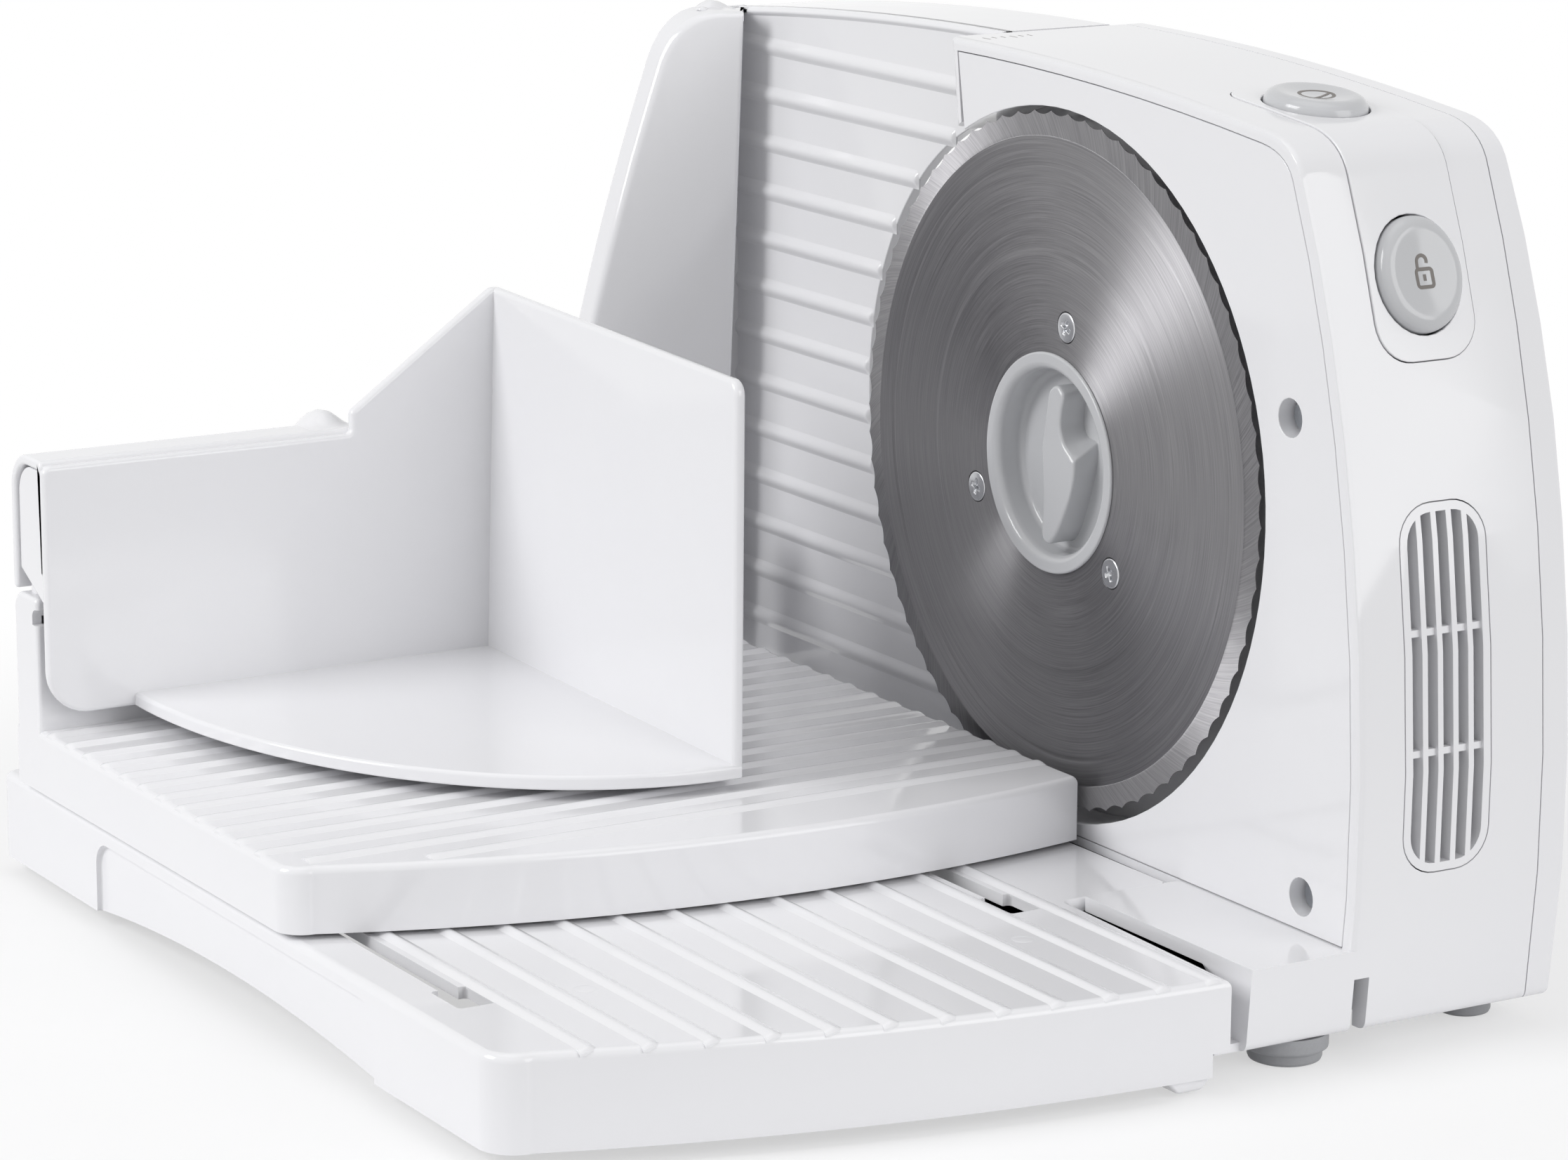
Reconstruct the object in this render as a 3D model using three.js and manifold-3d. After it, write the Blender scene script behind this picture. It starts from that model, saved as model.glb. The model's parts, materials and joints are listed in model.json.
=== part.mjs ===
// Household food slicer: motor tower with an upright blade, stop plate, fold-up table,
// sliding carriage and pusher. Millimetres, +Z up. While building, the blade's axis lies
// along X through the origin, and x = 0 is its front face. The food side is -X, the far end +Y.
// At the end the whole group is moved to stand centred on z = 0.
import * as THREE from "three";
import { mergeVertices } from "three/addons/utils/BufferGeometryUtils.js";
import Module from "manifold-3d";

const wasm = await Module();
wasm.setup();

// Clearances
const FIT = 0.3;
const SLIDE_FIT = 0.5;
const RUN_GAP = 1.6;
const EXTRA = 1;

// Blade, its screws and lock knob
const BLADE_RADIUS = 85;
const BLADE_THICKNESS = 1.4;
const BLADE_EDGE_GAP = 3;
const TOOTH_COUNT = 74;
const TOOTH_DEPTH = 0.9;
const SCREW_CIRCLE = 34.5;
const SCREW_ANGLE = 100;
const BLADE_SCREW_HEAD = 3.7;
const BLADE_SCREW_SHANK = 1.5;
const BLADE_SCREW_LENGTH = 4.4;
const BLADE_SCREW_PROUD = 0.3;
const KNOB_RIM_RADIUS = 27;
const KNOB_CUP_RADIUS = 24;
const KNOB_WALL = 2;
const KNOB_PROUD = 2.5;
const KNOB_DEPTH = 8;
const KNOB_BAR_WIDTH = 7;
const KNOB_BAR_LENGTH = 41;
const KNOB_BAR_ROUND = 2.8;
const KNOB_BAR_DROP = 0.5;
const KNOB_POINTER_REACH = 9;
const KNOB_POINTER_TAIL = 16.5;

// Drive inside the tower
const HUB_RADIUS = 42;
const HUB_FLANGE = 4;
const HUB_WALL = 2.4;
const HUB_FLOOR = 3;
const SHAFT_RADIUS = 5;
const SHAFT_STUB_RADIUS = 2.2;
const SHAFT_STUB_REACH = 5;
const BUSH_WALL = 2;
const BUSH_LENGTH = 8;
const BOSS_WALL = 3;
const WHEEL_RADIUS = 28;
const WHEEL_TEETH = 40;
const WHEEL_TOOTH = 1.5;
const WHEEL_WIDTH = 8;
const WORM_RADIUS = 5;
const WORM_CORE = 3.6;
const WORM_LENGTH = 30;
const WORM_TURNS = 5;
const MESH_GAP = 0.4;
const MOTOR_SIDE_GAP = 1.45;
const MOTOR_LENGTH = 56;
const MOTOR_WALL = 2;
const MOTOR_SETBACK = 15;
const MOTOR_SHAFT = 2;
const CORE_GAP = 3;
const CORE_LENGTH = 34;
const FAN_INSET = 3;
const FAN_WIDTH = 4;
const BRACKET_THICKNESS = 2;
const BRACKET_INSET = 1.8;
const CRADLE_WIDTH = 5;
const CRADLE_INSET = 3.6;
const FAN_VANES = 8;
const VANE_THICKNESS = 1.2;

// Motor tower
const WALL = 2.5;
const RIM = 3;
const EDGE_ROUND = 2;
const TOWER_DEPTH = 57;
const REAR_BULGE = 3.4;
const REAR_LEVEL = -30;
const LID_DEPTH = 5;
const CROWN_MARGIN = 13;
const CROWN_CENTRE = 38;
const CROWN_RADIUS = 1077;
const FAR_TOP = 47;
const FAR_FOOT = 20;
const SIDE_TOP_MARGIN = 13.5;
const SIDE_TOP_DROP = 4;
const SIDE_CURVE_MARGIN = 30;
const SIDE_CURVE_DROP = 41;
const SIDE_BULGE_MARGIN = 48.5;
const SIDE_BULGE_LEVEL = 30;
const SIDE_FOOT_MARGIN = 37.8;
const FOOT_ROUND = 3;
const TOP_CORNER = 12;
const TABLE_MARGIN = 5;
const BASE_HEIGHT = 20;
const FOOT_HEIGHT = 7;

// Front plate and its screws
const PLATE_THICKNESS = 2.5;
const PLATE_SKIRT = 2;
const PLATE_SCREW_ANGLE = 164;
const PLATE_SCREW_MARGIN = 12.2;
const PLATE_SCREW_RISE = 8;
const PLATE_SCREW_SETBACK = 20;
const PLATE_HOLE = 4.5;
const PLATE_CUP = 6;
const SCREW_HEAD = 3.4;
const SCREW_HEAD_HEIGHT = 2;
const SCREW_SHANK = 1.5;
const SCREW_LENGTH = 12;
const PLATE_SCREW_LENGTH = 8.4;
const POST_RADIUS = 4.5;

// Rear cover screws
const LID_SCREW_MARGIN = 13;
const LID_SCREW_SETBACK = 20;
const LID_SCREW_RISE = 14;
const LID_SCREW_LEVEL = 32;

// Switch bezel, buttons and vent grille on the tower's skin
const BEZEL_MARGIN = 2.4;
const BEZEL_END = 6.6;
const BEZEL_FOOT_END = 5.2;
const BEZEL_CORNER = 9;
const BEZEL_PROUD = 0.4;
const BEZEL_THICKNESS = 2.4;
const BUTTON_HALF_WIDTH = 11.4;
const BUTTON_HALF_LENGTH = 13.4;
const BUTTON_PROUD = 3.2;
const BUTTON_HEIGHT = 8.4;
const BUTTON_SIDE_GAP = 1.1;
const BUTTON_FLANGE = 2;
const BUTTON_FLANGE_HEIGHT = 3;
const BUTTON_ROUND = 2;
const BUTTON_TRAVEL = 2.5;
const STEM_RADIUS = 4;
const STEM_LENGTH = 3;
const PLUNGER_RADIUS = 2.4;
const SPRING_RADIUS = 6;
const SPRING_WIRE = 0.5;
const SPRING_TURNS = 4;
const SPRING_LENGTH = 6.4;
const POWER_SETBACK = 31.5;
const LOCK_DROP = 21.4;
const SWITCH_SIZE = [16, 18, 14];
const GRILLE_LEFT = 13.1;
const GRILLE_RIGHT = 37.1;
const GRILLE_TOP = 10.1;
const GRILLE_FOOT = -74;
const GRILLE_CORNER = 9;
const GRILLE_DEPTH = 4;
const GRILLE_SLOTS = 5;
const GRILLE_SLOT = 2.8;
const GRILLE_PITCH = 4.3;
const GRILLE_RIBS = [-18.7, -46.2];
const GRILLE_RIB = 1.6;
const GRILLE_RIB_DROP = 0.9;
const NOTCH_START = 1.9;
const NOTCH_WIDTH = 4.2;
const NOTCH_HEIGHT = 13;

// Rectifier board
const BOARD_SIZE = [1.6, 42, 36];
const BOARD_STANDOFF = 7.6;
const BOARD_Y = -22;
const BOARD_Z = 62;
const BOARD_POST = 3;
const CAPACITOR_RADIUS = 6;
const CAPACITOR_LENGTH = 14;
const RECTIFIER_HEIGHT = 5;
const RECTIFIER_WIDTH = 13;

// Base arm and table hinge
const BLOCK_DEPTH = 27;
const BLOCK_FAR = -58;
const FAR_BLOCK_NEAR = 100;
const ARM_FRONT = 30;
const ARM_FAR = 172;
const ARM_DROP = 2;
const ARM_FOOT_BACK = 12;
const ARM_FOOT_END = 16;
const LEDGE = 7;
const LEDGE_THICKNESS = 2;
const HINGE_X = -14;
const HINGE_DROP = 11;
const PIN_RADIUS = 3;
const PIN_LENGTH = 22;

// Stop plate and its guide, stored at its widest setting
const STOP_SET = 16;
const STOP_WALL = 3;
const STOP_RIB = 0.9;
const STOP_RIB_WIDTH = 5;
const STOP_RIB_PITCH = 13;
const STOP_RIB_DROP = 9.5;
const STOP_NEAR = 49;
const STOP_FAR = 181;
const STOP_FLOOR_GAP = 1;
const STOP_CROWN_RADIUS = 1400;
const STOP_FLANGE_BACK = 8;
const STOP_FLANGE_THICKNESS = 2.5;
const STIFFENER_HEIGHT = 36;
const CHUTE_CENTRE = 31.5;
const CHUTE_RADIUS = 79;
const WING_THICKNESS = 8;
const WING_ROUND = 3;
const WING_TOP_REACH = 14;
const WING_CORNER_REACH = 26.4;
const WING_SHOULDER_REACH = 31.3;
const WING_SHOULDER_DROP = 16;
const WING_WAIST_REACH = 62.6;
const WING_WAIST_LEVEL = -12;
const WING_FOOT_REACH = 66.4;
const ROD_RADIUS = 4;
const ROD_BACK_GAP = 1.3;
const ROD_PLACES = [85, 140];
const ROD_DROP = 10;
const ROD_BOSS = 6.5;
const ROD_SOCKET = 5.5;
const ROD_GUIDE = 7;
const SLIDE_BAR_WIDTH = 6;
const SLIDE_BAR_THICKNESS = 2;
const SLIDE_BAR_FOOT = 9;
const NUT_LENGTH = 10;
const NUT_SIZE = 16;
const NUT_BACK_GAP = 4.5;
const DIAL_Y = -8;
const DIAL_RISE = 7;
const DIAL_RADIUS = 21;
const DIAL_HEIGHT = 13;
const DIAL_FLUTES = 14;
const DIAL_FLUTE = 1.2;
const DIAL_ROUND = 1.2;
const DIAL_SEAT_GAP = 0.8;
const SPINDLE_RADIUS = 4;
const SPINDLE_GAP = 2.4;

// Table
const TABLE_LEFT = -201;
const TABLE_FAR = 176;
const TABLE_SKIRT = 23;
const TABLE_PLATE = 2.8;
const TABLE_RIB = 0.8;
const TABLE_RIB_WIDTH = 3;
const TABLE_RIB_PITCH = 13;
const TABLE_RIB_FIRST = -37.5;
const TABLE_RIB_COUNT = 12;
const TABLE_CORNER = 9;
const TABLE_FAR_CORNER = 3;
const TABLE_ROUND = 2;
const HINGE_SLOT = 4;
const TONGUE_GAP = 1.5;
const TONGUE_HEIGHT = 17.5;
const NEAR_REACH = 126;
const NEAR_BOW_X = -15;
const NEAR_BOW = 512;
const SLOT_WIDTH = 5;
const SLOT_MOUTH = 9;
const SLOT_MOUTH_LENGTH = 14;
const SLOT_NEAR = -59;
const SLOT_FAR = 168;
const SLOT_RIBS = [0.5, 11.5];
const SCOOP_NEAR = -36;
const SCOOP_FAR = 117;
const SCOOP_DROP = 5;
const SCOOP_DEPTH = 1.4;
const SCOOP_ARCH = 4.3;
const TAB_X = -43;
const TAB_WIDTH = 12;
const TAB_TIP = 5;
const TAB_HEIGHT = 10;
const TAB_DEPTH = 9;

// Carriage
const CARRIAGE_LEFT = -203;
const CARRIAGE_RIGHT = -2;
const CARRIAGE_HEIGHT = 16.6;
const CARRIAGE_GAP = 0.4;
const CARRIAGE_PLATE = 2.5;
const CARRIAGE_CORNER = 7;
const CARRIAGE_NEAR = -24;
const CARRIAGE_BOW_X = -65;
const CARRIAGE_BOW = 330;
const TRAY_ROUND = 1.2;
const TRAY_RIB = 0.8;
const TRAY_RIB_WIDTH = 4;
const TRAY_RIB_PITCH = 11;
const TRAY_RIB_COUNT = 14;
const BACK_WALL_NEAR = 146;
const BACK_WALL = 14;
const BACK_WALL_HEIGHT = 33;
const RAIL_TONGUE = 4;
const RAIL_TONGUE_HEIGHT = 6;
const HOOK_NECK = 3.6;
const HOOK_FOOT = 7.6;
const HOOK_FOOT_HEIGHT = 2.5;
const HOOK_LENGTH = 18;
const HOOK_PLACES = [66, 125];

// Pusher
const PUSHER_WALL = 3;
const PUSHER_FACE = 139;
const PUSHER_RIGHT = -81;
const PUSHER_NEAR = 12;
const PUSHER_TOP = 118;
const PUSHER_NEAR_DROP = 2.5;
const PUSHER_LIFT = 2.5;
const PUSHER_FLOOR = 3.5;
const PUSHER_FLOOR_REACH = 99;
const PUSHER_CORNER = 10;
const PUSHER_RAIL_TOP = 85.5;
const PUSHER_RAIL_END = -119;
const PUSHER_STEP = 4.5;
const PUSHER_RAIL_WALL = 2.5;
const PUSHER_SLANT = 9;
const PUSHER_POCKET = 6;
const PUSHER_WEB = 4;
const GRIP_RIDGE = 1.2;
const GRIP_PITCH = 10;

// Feet
const FOOT_INSET = 0.8;
const FOOT_TAPER = 1.5;
const FRONT_FOOT_RADIUS = 10;
const FRONT_FOOT_X = -8;
const FRONT_FOOT_SETBACK = 11.3;
const REAR_FOOT_RADIUS = 7.5;
const REAR_FOOT_BACK = 8;
const REAR_FOOT_SETBACK = 18.8;
const TABLE_FOOT_RADIUS = 6.5;
const TABLE_FOOT_SETBACK = 27;
const TABLE_FOOT_END = 26;

// Values that follow from the sizes above
const recessRadius = BLADE_RADIUS + BLADE_EDGE_GAP;
const hubBack = KNOB_DEPTH + SLIDE_FIT + HUB_FLOOR;
const recessDepth = hubBack + RUN_GAP;
const floorBack = recessDepth + WALL;
const shellBack = TOWER_DEPTH - LID_DEPTH;
const rearCrest = TOWER_DEPTH + REAR_BULGE;
const lidFace = TOWER_DEPTH - WALL;
const motorX = (floorBack + lidFace) / 2;
const motorRadius = motorX - floorBack - MOTOR_SIDE_GAP;
const coreRadius = motorRadius - MOTOR_WALL - CORE_GAP;
const fanRadius = motorRadius - FAN_INSET;
const wormDrop = WHEEL_RADIUS + WORM_RADIUS + MESH_GAP;
const tableTop = -(BLADE_RADIUS + TABLE_MARGIN);
const baseFoot = tableTop - BASE_HEIGHT;
const ground = baseFoot - FOOT_HEIGHT;
const plateTop = tableTop - TABLE_RIB;
const trayTop = tableTop + CARRIAGE_GAP + CARRIAGE_HEIGHT;
const carriageFoot = tableTop + CARRIAGE_GAP;
const bushRadius = SHAFT_RADIUS + FIT + BUSH_WALL;
const buttonX = floorBack + SLIDE_FIT + BUTTON_SIDE_GAP + BUTTON_HALF_WIDTH - BUTTON_FLANGE;
const bezelLeft = buttonX - BUTTON_HALF_WIDTH - BEZEL_MARGIN;
const bezelRight = buttonX + BUTTON_HALF_WIDTH + BEZEL_MARGIN;
const buttonSpace = BUTTON_HEIGHT - BUTTON_PROUD + BUTTON_TRAVEL + RUN_GAP + SLIDE_FIT;
const stopFront = STOP_SET + STOP_RIB;
const stopBack = stopFront + STOP_WALL;
const stopFoot = baseFoot + WALL + STOP_FLOOR_GAP;
const flangeBack = TOWER_DEPTH - STOP_FLANGE_BACK;
const armTop = tableTop - ARM_DROP;
const armNear = farSideAt(armTop) + SLIDE_FIT;
const rodZ = tableTop - ROD_DROP;
const dialZ = tableTop + DIAL_RISE;
const hingeZ = tableTop - HINGE_DROP;
const rodEnd = TOWER_DEPTH - WALL - ROD_BACK_GAP;
const slideBarX = lidFace - NUT_BACK_GAP - (NUT_LENGTH + SLIDE_BAR_WIDTH) / 2;
const boardX = floorBack + BOARD_STANDOFF;
const skirtFoot = tableTop - TABLE_SKIRT;

// Finishes
function finish(colour, roughness, metalness = 0) {
  return new THREE.MeshStandardMaterial({ color: colour, roughness, metalness });
}
const whitePlastic = finish(0xe8e8ea, 0.28);
const greyPlastic = finish(0xc9cacc, 0.32);
const innerPlastic = finish(0xd9d6cc, 0.5);
const steel = finish(0xb9bcc0, 0.28, 1);
const bladeSteel = finish(0xc4c7cb, 0.22, 1);
const bronze = finish(0xa98a55, 0.4, 1);
const darkPlastic = finish(0x2c2d30, 0.5);
const rubber = finish(0x77797c, 0.85);
const board = finish(0x2f6b45, 0.6);

const slicer = new THREE.Group();
slicer.name = "food_slicer";

// A closed geometry as a solid for joining and cutting.
function solidOf(geometry) {
  const bare = new THREE.BufferGeometry();
  bare.setAttribute("position", geometry.getAttribute("position"));
  bare.setIndex(geometry.index);
  const merged = mergeVertices(bare, 1e-4);
  const triVerts = new Uint32Array(merged.index.array);
  const vertProperties = merged.attributes.position.array;
  const made = new wasm.Manifold(new wasm.Mesh({ numProp: 3, vertProperties, triVerts }));
  if (made.volume() >= 0) return made;
  for (let i = 0; i < triVerts.length; i += 3) {
    [triVerts[i + 1], triVerts[i + 2]] = [triVerts[i + 2], triVerts[i + 1]];
  }
  return new wasm.Manifold(new wasm.Mesh({ numProp: 3, vertProperties, triVerts }));
}

function join(...solids) {
  return solids.reduce((sum, solid) => sum.add(solid));
}

function cut(body, ...tools) {
  return tools.reduce((rest, tool) => rest.subtract(tool), body);
}

function common(...solids) {
  return solids.reduce((part, solid) => part.intersect(solid));
}

// Adds a solid to the slicer as a named mesh.
function addPiece(name, solid, material) {
  const mesh = solid.getMesh();
  const count = mesh.numProp;
  const places = new Float32Array(mesh.numVert * 3);
  for (let i = 0; i < mesh.numVert; i += 1) {
    places.set(mesh.vertProperties.subarray(i * count, i * count + 3), i * 3);
  }
  const geometry = new THREE.BufferGeometry();
  geometry.setAttribute("position", new THREE.BufferAttribute(places, 3));
  geometry.setIndex(new THREE.BufferAttribute(mesh.triVerts, 1));
  const flat = geometry.toNonIndexed();
  flat.computeVertexNormals();
  const piece = new THREE.Mesh(flat, material);
  piece.name = name;
  slicer.add(piece);
}

const X_AXIS = new THREE.Vector3(1, 0, 0);
const Y_AXIS = new THREE.Vector3(0, 1, 0);
const Z_AXIS = new THREE.Vector3(0, 0, 1);
const FRAMES = {
  x: new THREE.Matrix4().makeBasis(Y_AXIS, Z_AXIS, X_AXIS),
  y: new THREE.Matrix4().makeBasis(Z_AXIS, X_AXIS, Y_AXIS),
  z: new THREE.Matrix4(),
};

// Extrudes an outline along an axis between two stations, with both end edges rounded if round is given.
// The points are (y, z) for axis x, (x, z) for axis y and (x, y) for axis z.
function extruded(points, axis, from, to, round = 0) {
  const turn = axis === "y";
  const flat = points.map(([a, b]) => (turn ? new THREE.Vector2(b, a) : new THREE.Vector2(a, b)));
  const options = { depth: to - from - 2 * round, bevelEnabled: round > 0, curveSegments: 1 };
  if (round > 0) {
    options.bevelThickness = round;
    options.bevelSize = round;
    options.bevelOffset = -round;
    options.bevelSegments = 2;
  }
  const geometry = new THREE.ExtrudeGeometry(new THREE.Shape(flat), options);
  geometry.translate(0, 0, from + round);
  geometry.applyMatrix4(FRAMES[axis]);
  return solidOf(geometry);
}

function box(x0, x1, y0, y1, z0, z1) {
  const geometry = new THREE.BoxGeometry(x1 - x0, y1 - y0, z1 - z0);
  geometry.translate((x0 + x1) / 2, (y0 + y1) / 2, (z0 + z1) / 2);
  return solidOf(geometry);
}

// Turns a profile of (radius, station) points about an axis line through a centre.
function turned(profile, axis, centre, segments = 32) {
  const points = profile.map(([radius, station]) => new THREE.Vector2(radius, station));
  const geometry = new THREE.LatheGeometry(points, segments);
  geometry.applyMatrix4(new THREE.Matrix4().makeBasis(X_AXIS, Z_AXIS, Y_AXIS.clone().negate()));
  geometry.applyMatrix4(FRAMES[axis]);
  geometry.translate(...centre);
  return solidOf(geometry);
}

function rod(radius, axis, from, to, centre = [0, 0, 0], segments = 32) {
  return turned([[0, from], [radius, from], [radius, to], [0, to]], axis, centre, segments);
}

function tube(inner, outer, axis, from, to, centre = [0, 0, 0], segments = 32) {
  const ring = [[inner, from], [outer, from], [outer, to], [inner, to], [inner, from]];
  return turned(ring, axis, centre, segments);
}

function roundedRectangle(a0, a1, b0, b1, radius, steps = 4) {
  const shape = new THREE.Shape();
  shape.moveTo(a0 + radius, b0);
  shape.lineTo(a1 - radius, b0);
  shape.absarc(a1 - radius, b0 + radius, radius, -Math.PI / 2, 0);
  shape.lineTo(a1, b1 - radius);
  shape.absarc(a1 - radius, b1 - radius, radius, 0, Math.PI / 2);
  shape.lineTo(a0 + radius, b1);
  shape.absarc(a0 + radius, b1 - radius, radius, Math.PI / 2, Math.PI);
  shape.lineTo(a0, b0 + radius);
  shape.absarc(a0 + radius, b0 + radius, radius, Math.PI, Math.PI * 1.5);
  return shape.getPoints(steps).map((p) => [p.x, p.y]);
}

function ellipse(halfA, halfB, steps = 32) {
  const points = new THREE.EllipseCurve(0, 0, halfA, halfB).getPoints(steps);
  return points.slice(0, steps).map((p) => [p.x, p.y]);
}

// The crown's height over the blade's axis at a place along the tower.
function crown(y) {
  return BLADE_RADIUS + CROWN_MARGIN - (y - CROWN_CENTRE) ** 2 / (2 * CROWN_RADIUS);
}

// The crown of the stop plate, which is flatter than the tower's.
function stopCrown(y) {
  return BLADE_RADIUS + CROWN_MARGIN - (y - CROWN_CENTRE) ** 2 / (2 * STOP_CROWN_RADIUS);
}

// The near side of the tower, from its top corner to its foot, as a curve in (y, z).
const nearSide = new THREE.CubicBezierCurve(
  new THREE.Vector2(-(BLADE_RADIUS + SIDE_TOP_MARGIN), BLADE_RADIUS - SIDE_TOP_DROP),
  new THREE.Vector2(-(BLADE_RADIUS + SIDE_CURVE_MARGIN), BLADE_RADIUS - SIDE_CURVE_DROP),
  new THREE.Vector2(-(BLADE_RADIUS + SIDE_BULGE_MARGIN), -SIDE_BULGE_LEVEL),
  new THREE.Vector2(-(BLADE_RADIUS + SIDE_FOOT_MARGIN), baseFoot + FOOT_ROUND),
);

// Places that follow the tower's near side
const powerY = nearSide.v0.x + POWER_SETBACK;
const lockZ = nearSide.v0.y - LOCK_DROP;
const bezelFar = powerY + BUTTON_HALF_LENGTH + BEZEL_END;
const bezelFoot = lockZ - BUTTON_HALF_LENGTH - BEZEL_FOOT_END;
const canFanEnd = nearSideAt(-wormDrop).y + MOTOR_SETBACK;
const canWormEnd = canFanEnd + MOTOR_LENGTH;
const plateScrews = plateScrewPlaces();
const lidScrews = lidScrewPlaces();
const frontFoot = [FRONT_FOOT_X, nearSide.v3.x + FRONT_FOOT_SETBACK];
const rearFoot = [TOWER_DEPTH - REAR_FOOT_BACK, nearSide.v3.x + REAR_FOOT_SETBACK];
const armFoot = [TOWER_DEPTH - ARM_FOOT_BACK, ARM_FAR - ARM_FOOT_END];
const tableFootX = TABLE_LEFT + TABLE_FOOT_SETBACK;
const tableFeet = {
  table_foot_near: [tableFootX, nearEdge(tableFootX) + TABLE_FOOT_END],
  table_foot_far: [tableFootX, TABLE_FAR - TABLE_FOOT_END],
};

// Places (y, z) of the front plate's screws: one beside the blade's opening, one over the table.
function plateScrewPlaces() {
  const angle = THREE.MathUtils.degToRad(PLATE_SCREW_ANGLE);
  const reach = recessRadius + PLATE_SCREW_MARGIN;
  const low = tableTop + PLATE_SCREW_RISE;
  return [
    [reach * Math.cos(angle), reach * Math.sin(angle)],
    [nearSideAt(low).y + PLATE_SCREW_SETBACK, low],
  ];
}

// Places (y, z) of the rear cover's screws, near its four corners.
function lidScrewPlaces() {
  const low = baseFoot + LID_SCREW_RISE;
  return [
    [nearSideAt(low).y + LID_SCREW_SETBACK, low],
    [LID_SCREW_MARGIN - BLADE_RADIUS, LID_SCREW_LEVEL],
    [FAR_TOP - LID_SCREW_MARGIN, crown(FAR_TOP) - LID_SCREW_RISE],
    [FAR_FOOT - LID_SCREW_MARGIN, low],
  ];
}

// The tower's outline in (y, z), drawn in by an inset.
function towerOutline(inset = 0) {
  const outline = new THREE.Shape();
  const footY = nearSide.v3.x;
  const cornerY = nearSide.v0.x + FOOT_ROUND;
  const crownStart = cornerY + TOP_CORNER;
  if (inset <= 0) outline.moveTo(footY + FOOT_ROUND, baseFoot);
  else outline.moveTo(footY, baseFoot);
  outline.lineTo(FAR_FOOT, baseFoot);
  const crownSteps = 8;
  for (let i = 0; i <= crownSteps; i += 1) {
    const y = FAR_TOP + ((crownStart - FAR_TOP) * i) / crownSteps;
    outline.lineTo(y, crown(y));
  }
  outline.quadraticCurveTo(cornerY, crown(cornerY), nearSide.v0.x, nearSide.v0.y);
  const { v1, v2, v3 } = nearSide;
  outline.bezierCurveTo(v1.x, v1.y, v2.x, v2.y, v3.x, v3.y);
  if (inset > 0) outline.lineTo(footY, baseFoot);
  else outline.quadraticCurveTo(footY, baseFoot, footY + FOOT_ROUND, baseFoot);
  const points = outline.getPoints(8);
  if (points[0].distanceTo(points.at(-1)) < 1e-6) points.pop();
  return insetOutline(points, inset);
}

// Moves every point of a counterclockwise outline inwards by the same distance.
function insetOutline(points, inset) {
  const count = points.length;
  return points.map((point, i) => {
    const before = point.clone().sub(points[(i + count - 1) % count]).normalize();
    const after = points[(i + 1) % count].clone().sub(point).normalize();
    const normal = new THREE.Vector2(-before.y - after.y, before.x + after.x).normalize();
    const spread = normal.dot(new THREE.Vector2(-before.y, before.x));
    return [point.x + (normal.x * inset) / spread, point.y + (normal.y * inset) / spread];
  });
}

// The tower's near side at a height: the point, and the direction straight out of the skin.
function nearSideAt(z) {
  let low = 0;
  let high = 1;
  for (let i = 0; i < 40; i += 1) {
    const middle = (low + high) / 2;
    if (nearSide.getPoint(middle).y > z) low = middle;
    else high = middle;
  }
  const tangent = nearSide.getTangent(low);
  return { y: nearSide.getPoint(low).x, out: new THREE.Vector3(0, tangent.y, -tangent.x) };
}

// The y of the tower's far side at a height.
function farSideAt(z) {
  const share = (z - baseFoot) / (crown(FAR_TOP) - baseFoot);
  return FAR_FOOT + (FAR_TOP - FAR_FOOT) * share;
}

// A layer of the tower's skin between two x stations, from proud of the outline to some depth below it.
function skinLayer(x0, x1, proud, depth) {
  const core = extruded(towerOutline(depth), "x", x0 - EXTRA, x1 + EXTRA);
  return cut(extruded(towerOutline(-proud), "x", x0, x1), core);
}

const FAR_AWAY = 400;
const REAR_STEPS = 16;
const ARC_CUT = 1 - Math.SQRT1_2;

function bezelRegion(grow) {
  const left = bezelLeft - grow;
  const right = bezelRight + grow;
  const corner = BEZEL_CORNER + grow;
  const side = roundedRectangle(left, right, bezelFoot - grow, FAR_AWAY, corner);
  const top = roundedRectangle(left, right, -FAR_AWAY, bezelFar + grow, corner);
  return common(
    extruded(side, "y", -FAR_AWAY, FAR_AWAY),
    extruded(top, "z", -FAR_AWAY, FAR_AWAY),
  );
}

function grilleRegion(grow) {
  const outline = roundedRectangle(
    GRILLE_LEFT - grow,
    GRILLE_RIGHT + grow,
    GRILLE_FOOT - grow,
    GRILLE_TOP + grow,
    GRILLE_CORNER + grow,
  );
  return extruded(outline, "y", -FAR_AWAY, -BLADE_RADIUS);
}

// A solid made in a frame whose z is the button's outward direction, placed at the button.
function placedAt(centre, out, geometrySolid) {
  const across = X_AXIS.clone();
  const up = out.clone().cross(across);
  const frame = new THREE.Matrix4().makeBasis(across, up, out).setPosition(...centre);
  return geometrySolid.transform(frame.elements);
}

const lockSide = nearSideAt(lockZ);
const lockCentre = [buttonX, lockSide.y, lockZ];
const powerCentre = [buttonX, powerY, crown(powerY)];
const powerOut = new THREE.Vector3(0, (powerY - CROWN_CENTRE) / CROWN_RADIUS, 1).normalize();
const springEnd = BUTTON_PROUD - BUTTON_HEIGHT - BUTTON_FLANGE_HEIGHT;
const springSeat = springEnd - SPRING_LENGTH - 2 * FIT;

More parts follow.
